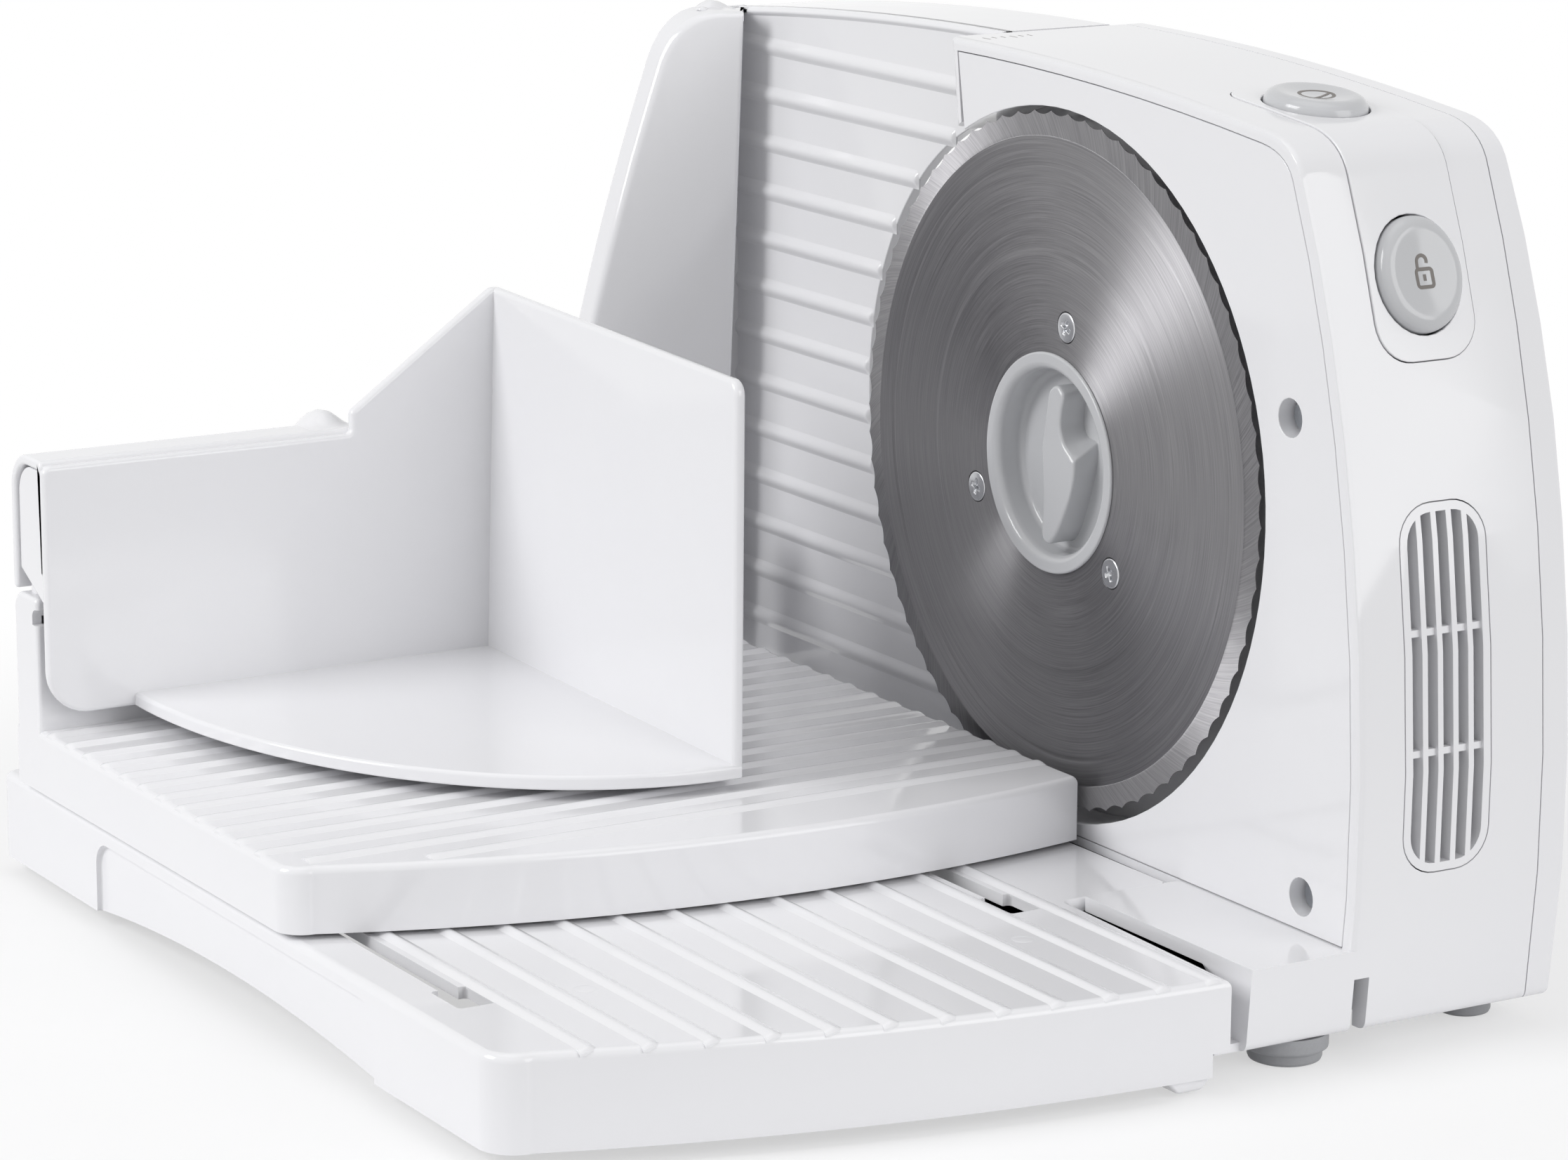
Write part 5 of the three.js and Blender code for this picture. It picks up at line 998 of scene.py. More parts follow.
@dataclass
class LockKnob:
    """The knob in the blade's middle: a round cup with a rim, and a sail-shaped grip across it."""

    rim_radius: float = 27.0
    rim_front: float = -1.0
    rim_foot: float = -0.1
    cup_radius: float = 24.0
    well_radius: float = 22.6
    floor: float = 6.8
    back: float = 8.0
    grip_front: float = -0.4
    grip_round: float = 0.9
    grip_root: float = 0.5
    point_start: float = 3.5
    point_span: float = 6.5
    point_rise: float = 0.55
    edge: float = 0.6
    lip: float = 2.4
    fall: float = 2.6
    fillet: float = 1.6
    foot_edge: float = 0.15
    outline: tuple[tuple[float, float], ...] = (
        (2.4, 19.4), (4.9, 18.0), (5.4, 16.2), (4.5, 12.6), (4.3, 9.0), (6.0, 5.4), (9.4, 2.6), (10.4, 1.0),
        (10.2, -3.2), (8.6, -8.0), (5.9, -13.0), (3.2, -17.2), (0.3, -19.9), (-2.2, -19.5), (-3.0, -17.0),
        (-2.5, -10.5), (-3.0, -1.5), (-3.5, 3.4), (-2.6, 7.6), (-1.7, 12.8), (-0.6, 17.6),
    )

    def build(self) -> None:
        """Makes the cup and the grip as one piece."""
        knob = gather("blade_lock_knob_shown", self.cup(), self.grip())
        smooth(knob, 40.0)
        dress(knob, GREY_ABS, Slot.GREY, "knob", ["blade_lock_knob"])

    def cup(self) -> Piece:
        """The cup, turned about the blade's axis: rounded rim, hollow flank, fillet and floor.

        Returns:
            A closed object.
        """
        quarter = np.linspace(0, math.pi / 2, 7)
        outer = [(self.rim_radius - self.edge * (1 - math.cos(a)),
                  self.rim_front + self.edge * (1 - math.sin(a))) for a in quarter]
        lip = self.rim_radius - self.lip
        fall = [(lip - (lip - self.well_radius) * math.sin(a), self.rim_front + self.fall * (1 - math.cos(a)))
                for a in quarter[1:]]
        bottom = [(self.well_radius - self.fillet * (1 - math.cos(a)),
                   self.floor - self.fillet * (1 - math.sin(a))) for a in quarter]
        profile = [(AXIS_GAP, self.back), (self.cup_radius, self.back), (self.cup_radius, self.rim_foot),
                   (self.rim_radius - self.foot_edge, self.rim_foot),
                   (self.rim_radius, self.rim_foot - self.foot_edge)]
        profile += outer + [(lip, self.rim_front)] + fall + bottom + [(AXIS_GAP, self.floor)]
        return turned("cup", profile, "x", (0, 0, 0))

    def grip(self) -> Piece:
        """The grip, one outline carried inward, whose point climbs as it goes deeper.

        Each ring is the outline at one depth. Points near the grip's point are lifted by a share of the
        depth, and the first rings are drawn in for the rounded front edge.

        Returns:
            A closed object.
        """
        flat = smooth_through(self.outline)
        quarter = np.linspace(math.pi / 2, 0, 6)
        levels = [(self.grip_front + self.grip_round * (1 - math.sin(a)), self.grip_round * (1 - math.cos(a)))
                  for a in quarter]
        straight = np.linspace(self.grip_front + self.grip_round, self.floor + self.grip_root, 9)[1:]
        levels += [(x, 0.0) for x in straight]
        rings = []
        for depth, drawn_in in levels:
            ring = inset(flat, drawn_in)
            near_point = np.clip((ring[:, 0] - self.point_start) / self.point_span, 0, 1)
            lean = near_point * (depth - self.grip_front) * self.point_rise
            ring = np.stack([-ring[:, 0], ring[:, 1] + lean], -1)
            rings.append(on_axis(ring, "x", depth))
        return sheet("grip", np.stack(rings))


class Icon(Enum):
    """The symbol on a button."""

    OPEN_LOCK = "open_lock"
    BARRED_RING = "barred_ring"


@dataclass
class PushButton:
    """A dished push button on the tower's skin, with a printed symbol."""

    node: str
    body: str
    icon: Icon
    centre: tuple[float, float, float]
    out: tuple[float, float, float]
    half_width: float = 11.4
    half_length: float = 13.4
    proud: float = 3.2
    crest: float = 0.74
    dish: float = 0.85
    shoulder: float = 3.0
    skirt: float = -0.6
    foot: float = -5.2
    ring_radius: float = 4.0
    stroke: float = 0.86
    print_height: float = 0.035

    def build(self) -> None:
        """Makes the cap and its symbol."""
        angle = np.linspace(0, 2 * math.pi, 96, endpoint=False)
        share = np.concatenate([np.linspace(0.01, self.crest, 18), np.linspace(self.crest, 1.0, 14)[1:]])
        high = self.level(share)
        share = np.append(share, [1.0, 1.0])[:, None]
        high = np.append(high, [self.skirt, self.foot])[:, None]
        grid = self.at(self.half_width * share * np.cos(angle), self.half_length * share * np.sin(angle),
                       high + np.zeros_like(angle))
        cap = sheet(self.node + "_shown", grid)
        smooth(cap, 50.0)
        dress(cap, GREY_ABS, Slot.GREY, self.body, [self.node])
        strokes = [self.ribbon(path, closed) for path, closed in self.paths()]
        mark = gather(self.node + "_symbol", *strokes)
        mark.data.shade_smooth()
        mark.data.set_sharp_from_angle(angle=math.radians(40))
        dress(mark, GREY_PRINT, Slot.GREY, self.body)

    def level(self, share: Array) -> Array:
        """Height over the skin: a shallow bowl inside the crest and a quarter ellipse outside it.

        Args:
            share: Distance from the middle as a share of the button's edge.

        Returns:
            The height in millimetres.
        """
        bowl = self.proud - self.dish * (1 - np.clip(share / self.crest, 0, 1) ** 2) ** 1.5
        fall = np.clip((share - self.crest) / (1 - self.crest), 0, 1)
        return bowl - self.shoulder * (1 - np.sqrt(1 - fall ** 2))

    def at(self, across: Array, up: Array, high: Array) -> Array:
        """Places points given across, up and out of the button's face.

        Args:
            across: Distance along X.
            up: Distance up the face.
            high: Height over the skin.

        Returns:
            The points in blade-frame millimetres.
        """
        out = np.array(self.out)
        climb = np.cross(out, X_AXIS)
        return (np.array(self.centre) + across[..., None] * np.array(X_AXIS)
                + up[..., None] * climb + high[..., None] * out)

    def paths(self) -> list[tuple[Array, bool]]:
        """The symbol's strokes, each with whether it is closed.

        Returns:
            Points across and up the face for each stroke, and whether it is closed.
        """
        turn = np.linspace(0, 2 * math.pi, 48, endpoint=False)
        if self.icon is Icon.BARRED_RING:
            ring = self.ring_radius * np.stack([np.cos(turn), np.sin(turn)], -1)
            bar = np.array([(3.6, 0.1), (0.66, -1.33), (-2.3, -2.8)])
            return [(ring, True), (bar, False)]
        shell = rounded([(-2.15, -3.3, 0.7), (2.15, -3.3, 0.7), (2.15, 0.8, 0.7), (-2.15, 0.8, 0.7)])
        arch = np.linspace(math.pi, -0.35, 22)
        shackle = np.stack([-0.3 + 1.35 * np.cos(arch), 2.55 + 1.35 * np.sin(arch)], -1)
        shackle = np.concatenate([[(-1.65, 0.8), (-1.65, 1.7)], shackle])
        slot = np.array([(0.0, -0.4), (0.0, -1.0), (0.0, -1.9)])
        return [(shell, True), (shackle, False), (slot, False)]

    def ribbon(self, path: Array, closed: bool) -> Piece:
        """A flat printed stroke that follows the button's face.

        Args:
            path: Points across and up the face.
            closed: Joins the last point to the first.

        Returns:
            A closed thin object.
        """
        if closed:
            slope = np.roll(path, -1, 0) - np.roll(path, 1, 0)
        else:
            slope = np.gradient(path, axis=0)
        slope = slope / np.linalg.norm(slope, axis=1, keepdims=True)
        side = np.stack([-slope[:, 1], slope[:, 0]], -1) * self.stroke / 2
        rows = []
        for lean, lift in ((1, 0.0), (1, self.print_height), (-1, self.print_height), (-1, 0.0)):
            flat = path + side * lean
            share = np.hypot(flat[:, 0] / self.half_width, flat[:, 1] / self.half_length)
            rows.append(self.at(flat[:, 0], flat[:, 1], self.level(share) + lift))
        return sheet("stroke", np.stack(rows, 1), loop=closed)


@dataclass
class StopPlate:
    """The sliding stop: ribbed wall with a chute opening, top flange, bosses, and the wing.

    The edge fields give the wing's free upright edge: its reach before the wall, how far it comes forward,
    and how both change with the height below its level.
    """

    front: float = 16.9
    back: float = 19.9
    near: float = 49.0
    far: float = 181.0
    foot: float = -106.5
    crown_top: float = 98.0
    crown_centre: float = 38.0
    crown_radius: float = 1400.0
    chute_centre: float = 31.5
    chute_radius: float = 79.0
    rib_height: float = 1.0
    rib_half_width: float = 2.5
    rib_pitch: float = 13.0
    rib_drop: float = 9.5
    table_top: float = -90.0
    flange_back: float = 49.0
    flange_thickness: float = 2.5
    wing_thickness: float = 8.0
    wing_round: float = 1.6
    wing_foot: float = 2.5
    wing_top_reach: float = 14.0
    wing_corner_reach: float = 26.4
    wing_shoulder_reach: float = 31.3
    wing_shoulder_drop: float = 16.0
    wing_waist_reach: float = 62.6
    wing_waist_level: float = -12.0
    wing_foot_reach: float = 66.4
    bow_points: int = 24
    back_round: float = 1.2
    stiffener: float = 36.0
    rod_places: tuple[float, float] = (85.0, 140.0)
    rod_level: float = -100.0
    rod_socket: float = 5.5
    rod_radius: float = 4.0
    boss_end: float = 28.4
    edge_level: float = 85.0
    edge_reach: float = 7.2
    edge_slant: float = 0.018
    edge_forward: float = 11.4
    edge_lean: float = 0.04
    back_plate: float = 2.2
    plate_set_in: float = 0.3
    plate_inset: float = 0.4
    bridge_foot: float = 3.0
    bridge_top: float = 0.6
    lip_drop: float = 1.3
    lip_half_width: float = 1.2
    lip_height: float = 0.8
    bump: float = 2.0
    bump_x: float = 8.3
    bump_half_width: float = 5.2
    dot_x: float = 3.4

    def crown(self, y: Array) -> Array:
        """Height of the top edge along Y, a shallow parabola."""
        return self.crown_top - (y - self.crown_centre) ** 2 / (2 * self.crown_radius)

    def build(self) -> None:
        """Makes the stop plate as one piece."""
        wall_far = self.far - self.wing_thickness
        wall = self.wall()
        parts = [wall, self.flange(), self.lip(wall_far), self.wing(), *self.bumps()]
        level = float(self.crown(np.array(wall_far))) - self.rib_drop
        while level > self.table_top + self.rib_half_width + 1:
            parts.append(self.rib(level, self.far - 1.5))
            level -= self.rib_pitch
        bore, start = self.rod_radius + 0.1, self.front + 1
        socket = [(bore, start), (self.rod_socket, start), (self.rod_socket, self.boss_end),
                  (bore, self.boss_end), (bore, start)]
        parts += [turned("socket", socket, "x", (0, y, self.rod_level), 48) for y in self.rod_places]
        plate = gather("stop_plate_shown", *parts)
        smooth(plate, 38.0)
        dress(plate, WHITE_ABS, Slot.WHITE, "stop", ["stop_plate"])

    def wall(self) -> Piece:
        """The upright wall, whose near edge is the arc of the chute.

        Returns:
            A closed object.
        """
        y = np.linspace(self.near, self.far, 60)
        top = np.stack([y, self.crown(y)], -1)
        reach = self.near - self.chute_centre
        span = math.acos(reach / self.chute_radius)
        turn = np.linspace(-span, span, 72)
        arc = self.chute_radius * np.stack([np.cos(turn), np.sin(turn)], -1) + (self.chute_centre, 0.0)
        outline = np.concatenate([top, [(self.far, self.foot), (self.near, self.foot)], arc])
        return solid("wall", outline, "x", self.front, self.back, 0.4, 0.4, 4)

    def rib(self, level: float, far: float) -> Piece:
        """One ridge along the wall, from the chute's edge to the far end.

        Args:
            level: Its height.
            far: Y of its far end.

        Returns:
            A closed object.
        """
        inside = self.chute_radius ** 2 - level ** 2
        start = max(self.near, self.chute_centre + math.sqrt(inside) if inside > 0 else self.near)
        y = np.concatenate([[start, start + 0.6, start + 1.2], np.linspace(start + 4, far, 8)])
        path = np.stack([np.full_like(y, self.front), y, np.full_like(y, level)], -1)
        heights = self.rib_height * np.concatenate([[0.0, 0.7, 1.0], np.ones(8)])
        return ridge("rib", path, Z_AXIS, FOOD_SIDE, self.rib_half_width, heights)

    def flange(self) -> Piece:
        """The flange that goes back from the top edge over the chute.

        Returns:
            A closed object.
        """
        y = np.linspace(self.near, self.far, 60)
        top = np.stack([y, self.crown(y)], -1)
        under = np.stack([y, self.crown(y) - self.flange_thickness], -1)[::-1]
        return solid("flange", np.concatenate([top, under]), "x", self.front, self.flange_back, 0.8, 0.8, 5)

    def lip(self, far: float) -> Piece:
        """A rounded lip along the top edge of the wall's front.

        Args:
            far: Y of its far end.

        Returns:
            A closed object.
        """
        y = np.linspace(self.near, far, 50)
        path = np.stack([np.full_like(y, self.front), y, self.crown(y) - self.lip_drop], -1)
        return ridge("lip", path, Z_AXIS, FOOD_SIDE, self.lip_half_width, np.full_like(y, self.lip_height))

    def wing_outline(self) -> Array:
        """The wing's outline across X and up Z: straight right side, level top, rounded corner and slant.

        Returns:
            Points from the right side's foot over the top to the slant's foot.
        """
        top = float(self.crown(np.array(self.far - self.wing_thickness)))
        right = self.back
        foot = self.table_top + self.wing_foot
        share = np.linspace(0, 1, self.bow_points)[:, None]

        def bow(start: tuple, pull: tuple, end: tuple) -> Array:
            """A quadratic curve between two points, drawn toward a third."""
            a, b, c = (np.array(p, float) for p in (start, pull, end))
            return (1 - share) ** 2 * a + 2 * share * (1 - share) * b + share ** 2 * c

        shoulder = (right - self.wing_shoulder_reach, top - self.wing_shoulder_drop)
        corner = bow((right - self.wing_top_reach, top), (right - self.wing_corner_reach, top), shoulder)
        waist = (right - self.wing_waist_reach, self.wing_waist_level)
        slant = bow(shoulder, waist, (right - self.wing_foot_reach, foot))
        return np.concatenate([[(right, foot), (right, top)], corner, slant[1:]])

    def free_edge(self, z: Array) -> Array:
        """X of the wing's free upright edge at a height."""
        return self.front - self.edge_reach - self.edge_slant * (self.edge_level - z)

    def wing(self) -> Piece:
        """The wing's body with its back plate, the web behind the flange and the bridge over the pocket.

        Returns:
            All of it as one object.
        """
        line = self.wing_outline()
        wing_top = line[1, 1]
        plate_far = self.far - self.plate_set_in
        plate = solid("back_plate", inset(line, self.plate_inset), "y", plate_far - self.back_plate,
                      plate_far, 0.4, 0.4)
        top = float(self.crown(np.array(self.far))) - self.flange_thickness / 2
        web = rounded([(self.front + 1, top - self.stiffener, 2), (self.flange_back, top - self.stiffener, 6),
                       (self.flange_back, top, 2), (self.front + 1, top, 1)])
        brace = solid("web", web, "y", self.far - self.wing_thickness + 2.5, self.far - 0.25, 0.6, 0.6, 4)
        corner = float(self.free_edge(wing_top)) - 0.5
        near = self.far - self.wing_thickness - self.edge_forward + 1.2
        plan = rounded([(corner - 5, self.far - 4, 1), (corner, near, 1), (self.front + 0.5, near + 14, 0.6),
                        (self.front + 0.5, self.far - 4, 1)])
        bridge = solid("bridge", plan, "z", wing_top - self.bridge_foot, wing_top - self.bridge_top, 0.5, 0.8)
        return gather("wing", self.wedge(line), plate, brace, bridge)

    def wedge(self, line: Array) -> Piece:
        """The wing's body, whose front comes forward from its slanted side to the free upright edge.

        Rings run from the front's middle to the rim, over the rounded edges and to the back. A point comes
        forward by what the free edge does at its height, times its share of the way from the slant to the
        free edge, times its share of the way from the back to the front.

        Args:
            line: The wing's outline.

        Returns:
            A closed object.
        """
        foot, top = line[0, 1], line[1, 1]
        rise = np.linspace(foot, top, 40)
        across = np.linspace(line[-1, 0], float(self.free_edge(foot)), 14)[1:-1]
        under = np.stack([across, np.full_like(across, foot)], -1)
        front = np.concatenate([np.stack([self.free_edge(rise), rise], -1), line[2:], under])
        base = self.far - self.wing_thickness
        core = inset(front, self.wing_round)
        middle = core.mean(0)
        rings = [on_axis(middle + (core - middle) * share, "y", base)
                 for share in np.linspace(0.02, 0.98, 14)]
        rings += edge_rings(front, "y", base, self.wing_round, 7)
        rings += edge_rings(front, "y", self.far, self.back_round, 7, last=True)
        grid = np.stack(rings)
        slant = line[self.bow_points + 1:][::-1]
        step = slant[-1] - slant[-2]
        slant = np.concatenate([slant, [slant[-1] + step / step[1] * (top - slant[-1, 1])]])
        x, y, z = np.moveaxis(grid, -1, 0)
        left = np.interp(z, slant[:, 1], slant[:, 0])
        share = np.clip((x - left) / (self.free_edge(z) - left), 0, 1)
        forward = np.maximum(self.edge_forward - self.edge_lean * (self.edge_level - z), 0)
        depth = np.clip((self.far - 1.5 - y) / (self.wing_thickness - 1.5), 0, 1)
        grid[..., 1] = y - forward * share * depth
        return sheet("wedge", grid)

    def bumps(self) -> list[Piece]:
        """A soft bump across the wing's top and a small round dot before it.

        Returns:
            The bump and the dot.
        """
        top = self.wing_outline()[:, 1].max()
        y = np.linspace(self.far - self.wing_thickness + 1.5, self.far - 0.8, 9)
        path = np.stack([np.full_like(y, self.bump_x), y, np.full_like(y, top - 0.4)], -1)
        heights = self.bump * smoothstep(np.linspace(0.02, 2.2, 9)) * smoothstep(np.linspace(6, 0.5, 9))
        swell = ridge("bump", path, X_AXIS, Z_AXIS, self.bump_half_width, heights)
        dot = turned("dot", [(1.6, -0.3), (1.5, 0.1), (1.1, 0.32), (AXIS_GAP, 0.4)], "z",
                     (self.dot_x, self.far - self.wing_thickness + 1.6, top), 32)
        return [swell, dot]


@dataclass
class Table:
    """The fold-out table: bowed near edge, long ridges, runner slots, scooped left side and stand tab."""

    left: float = -201.0
    right: float = -31.0
    tongue_right: float = -1.5
    tongue_near: float = -57.5
    tongue_far: float = 99.5
    far: float = 176.0
    top: float = -90.8
    foot: float = -113.0
    tongue_foot: float = -107.5
    wall: float = 2.5
    plate: float = 2.8
    bow_radius: float = 512.0
    bow_x: float = -15.0
    bow_base: float = 386.0
    corner: float = 9.0
    edge_round: float = 2.0
    ridge_first: float = -37.5
    ridge_pitch: float = 13.0
    ridge_count: int = 12
    ridge_height: float = 0.8
    ridge_half_width: float = 2.3
    slots: tuple[float, float] = (-44.0, -187.0)
    slot_width: float = 5.0
    slot_near: float = -59.0
    slot_far: float = 168.0
    mouth_width: float = 9.0
    mouth_length: float = 14.0
    scoop_near: float = -36.0
    scoop_far: float = 117.0
    scoop_top: float = -95.0
    scoop_depth: float = 1.4
    arch_rise: float = 4.3
    tab_x: float = -43.0
    tab_foot: float = -116.0
    tab_half_width: float = 6.0
    tab_foot_half: float = 3.4
    pin_x: float = -14.0
    pin_z: float = -101.0
    pin_bore: float = 3.1
    dot_places: tuple[tuple[float, float], ...] = ((-57.0, -77.0), (-161.0, -60.0))
    dot_radius: float = 2.6
    post_places: tuple[tuple[float, float], ...] = ((-174.0, -74.7), (-174.0, 150.0))
    post_radius: float = 6.5

    def near_edge(self, x: Array) -> Array:
        """Y of the near edge, an arc with a long radius."""
        return self.bow_base - np.sqrt(self.bow_radius ** 2 - (x - self.bow_x) ** 2)

    def outline(self) -> Array:
        """The outline in plan: bowed near edge, tongue at the right, far edge and left side.

        Returns:
            Points around the table.
        """
        side = bowed_side(self.near_edge, self.left, self.right - 2.5, self.corner)
        near_right = float(self.near_edge(np.array(self.right)))
        corner_points = 6
        rest = rounded([(self.right, near_right, 2.5), (self.right, self.tongue_near, 1.0),
                        (self.tongue_right, self.tongue_near, 1.0), (self.tongue_right, self.tongue_far, 1.0),
                        (self.right, self.tongue_far, 1.0), (self.right, self.far, 2.5),
                        (self.left, self.far, 3.0), (self.left, side[0, 1], 0.0)], corner_points)
        return np.concatenate([side, rest[corner_points:-1]])

    def build(self) -> None:
        """Makes the table as one piece."""
        outline = self.outline()
        body = solid("table_shown", outline, "z", self.foot, self.top, 0.0, self.edge_round, 8)
        hollow = solid("hollow", inset(outline, self.wall), "z", self.foot - 1, self.top - self.plate)
        beside = block("beside", (self.right - 7, 40), (-200, 220), (self.foot - 5, self.tongue_foot))
        cutters = [hollow, beside]
        for x in self.slots:
            half, wide = self.slot_width / 2, self.mouth_width / 2
            line = rounded([(x - half, self.slot_near + 1, 1), (x + half, self.slot_near + 1, 1),
                            (x + half, self.slot_far, 2.4), (x - half, self.slot_far, 2.4)])
            mouth = rounded([(x - wide, self.slot_near, 1.2), (x + wide, self.slot_near, 1.2),
                             (x + wide, self.slot_near + self.mouth_length, 1.2),
                             (x - wide, self.slot_near + self.mouth_length, 1.2)])
            cutters += [solid("slot", line, "z", self.top - 8, self.top + 2),
                        solid("mouth", mouth, "z", self.top - 8, self.top + 2)]
        scoop = rounded([(self.scoop_near, self.foot - 3, 0), (self.scoop_far, self.foot - 3, 0),
                         (self.scoop_far, self.scoop_top, 6), (self.scoop_near, self.scoop_top, 6)])
        cutters.append(solid("scoop", scoop, "x", self.left - 2, self.left + self.scoop_depth, 0.0, 0.6, 4))
        y = np.linspace(self.scoop_near, self.scoop_far, 30)
        share = (y - self.scoop_near) / (self.scoop_far - self.scoop_near)
        arch = np.stack([y, self.foot + self.arch_rise * 4 * share * (1 - share)], -1)
        arch = np.concatenate([arch, [(self.scoop_far, self.foot - 3), (self.scoop_near, self.foot - 3)]])
        cutters.append(solid("arch", arch, "x", self.left - 2, self.left + self.wall + 1))
        shape(body, Shape.CUT, *cutters)
        bore = [(self.pin_bore, self.tongue_near - 2), (self.pin_bore, self.tongue_far + 2)]
        pin = turned("pin", bore, "y", (self.pin_x, 0, self.pin_z), 32)
        shape(body, Shape.CUT, pin)
        soften(body, 0.45, 50.0)
        ridges = [self.ridge_at(self.ridge_first - i * self.ridge_pitch) for i in range(self.ridge_count)]
        dot = [(self.dot_radius, self.top - 0.3), (self.dot_radius, self.top + 0.02),
               (self.dot_radius - 0.6, self.top + 0.1), (AXIS_GAP, self.top + 0.1)]
        dots = [turned("dot", dot, "z", (x, y, 0), 32) for x, y in self.dot_places]
        extras = gather("extras", *ridges, *dots, self.tab(), *self.posts())
        smooth(extras, 40.0)
        table = gather("table_shown", body, extras)
        dress(table, WHITE_ABS, Slot.WHITE, "base", ["table"])

    def ridge_at(self, x: float) -> Piece:
        """One ridge along Y that follows the near edge's rounding and ends in it.

        Args:
            x: Where it lies along X.

        Returns:
            A closed object.
        """
        edge = float(self.near_edge(np.array(x)))
        away = np.concatenate([np.linspace(0.12, 1.0, 9) * 2 * self.edge_round, [30.0]])
        y = np.concatenate([edge + away, [self.far - 7, self.far - 4]])
        z = self.top - edge_drop(y - edge, self.edge_round)
        rise = np.sqrt(1 - (1 - np.clip(away / (2 * self.edge_round), 0, 1)) ** 2)
        heights = self.ridge_height * np.concatenate([rise, [1.0, 0.0]])
        path = np.stack([np.full_like(y, x), y, z], -1)
        return ridge("ridge", path, X_AXIS, Z_AXIS, self.ridge_half_width, heights)

    def tab(self) -> Piece:
        """The small stand tab under the near edge.

        Returns:
            A closed object.
        """
        edge = float(self.near_edge(np.array(self.tab_x)))
        left, right = spread(self.tab_x, self.tab_half_width)
        foot_left, foot_right = spread(self.tab_x, self.tab_foot_half)
        line = rounded([(left, self.foot + 4, 0), (left, self.foot, 1.5), (foot_left, self.tab_foot, 2),
                        (foot_right, self.tab_foot, 2), (right, self.foot, 1.5), (right, self.foot + 4, 0)])
        return solid("tab", line, "y", edge + 1.25, edge + 9, 0.8, 0.8, 4)

    def posts(self) -> list[Piece]:
        """The posts that carry the table's feet.

        Returns:
            One object for each post.
        """
        top = self.top - 2
        radius = self.post_radius
        profile = [(AXIS_GAP, self.foot), (radius - 0.2, self.foot), (radius, self.foot + 0.3), (radius, top),
                   (AXIS_GAP, top)]
        return [turned("post", profile, "z", (x, y, 0), 40) for x, y in self.post_places]


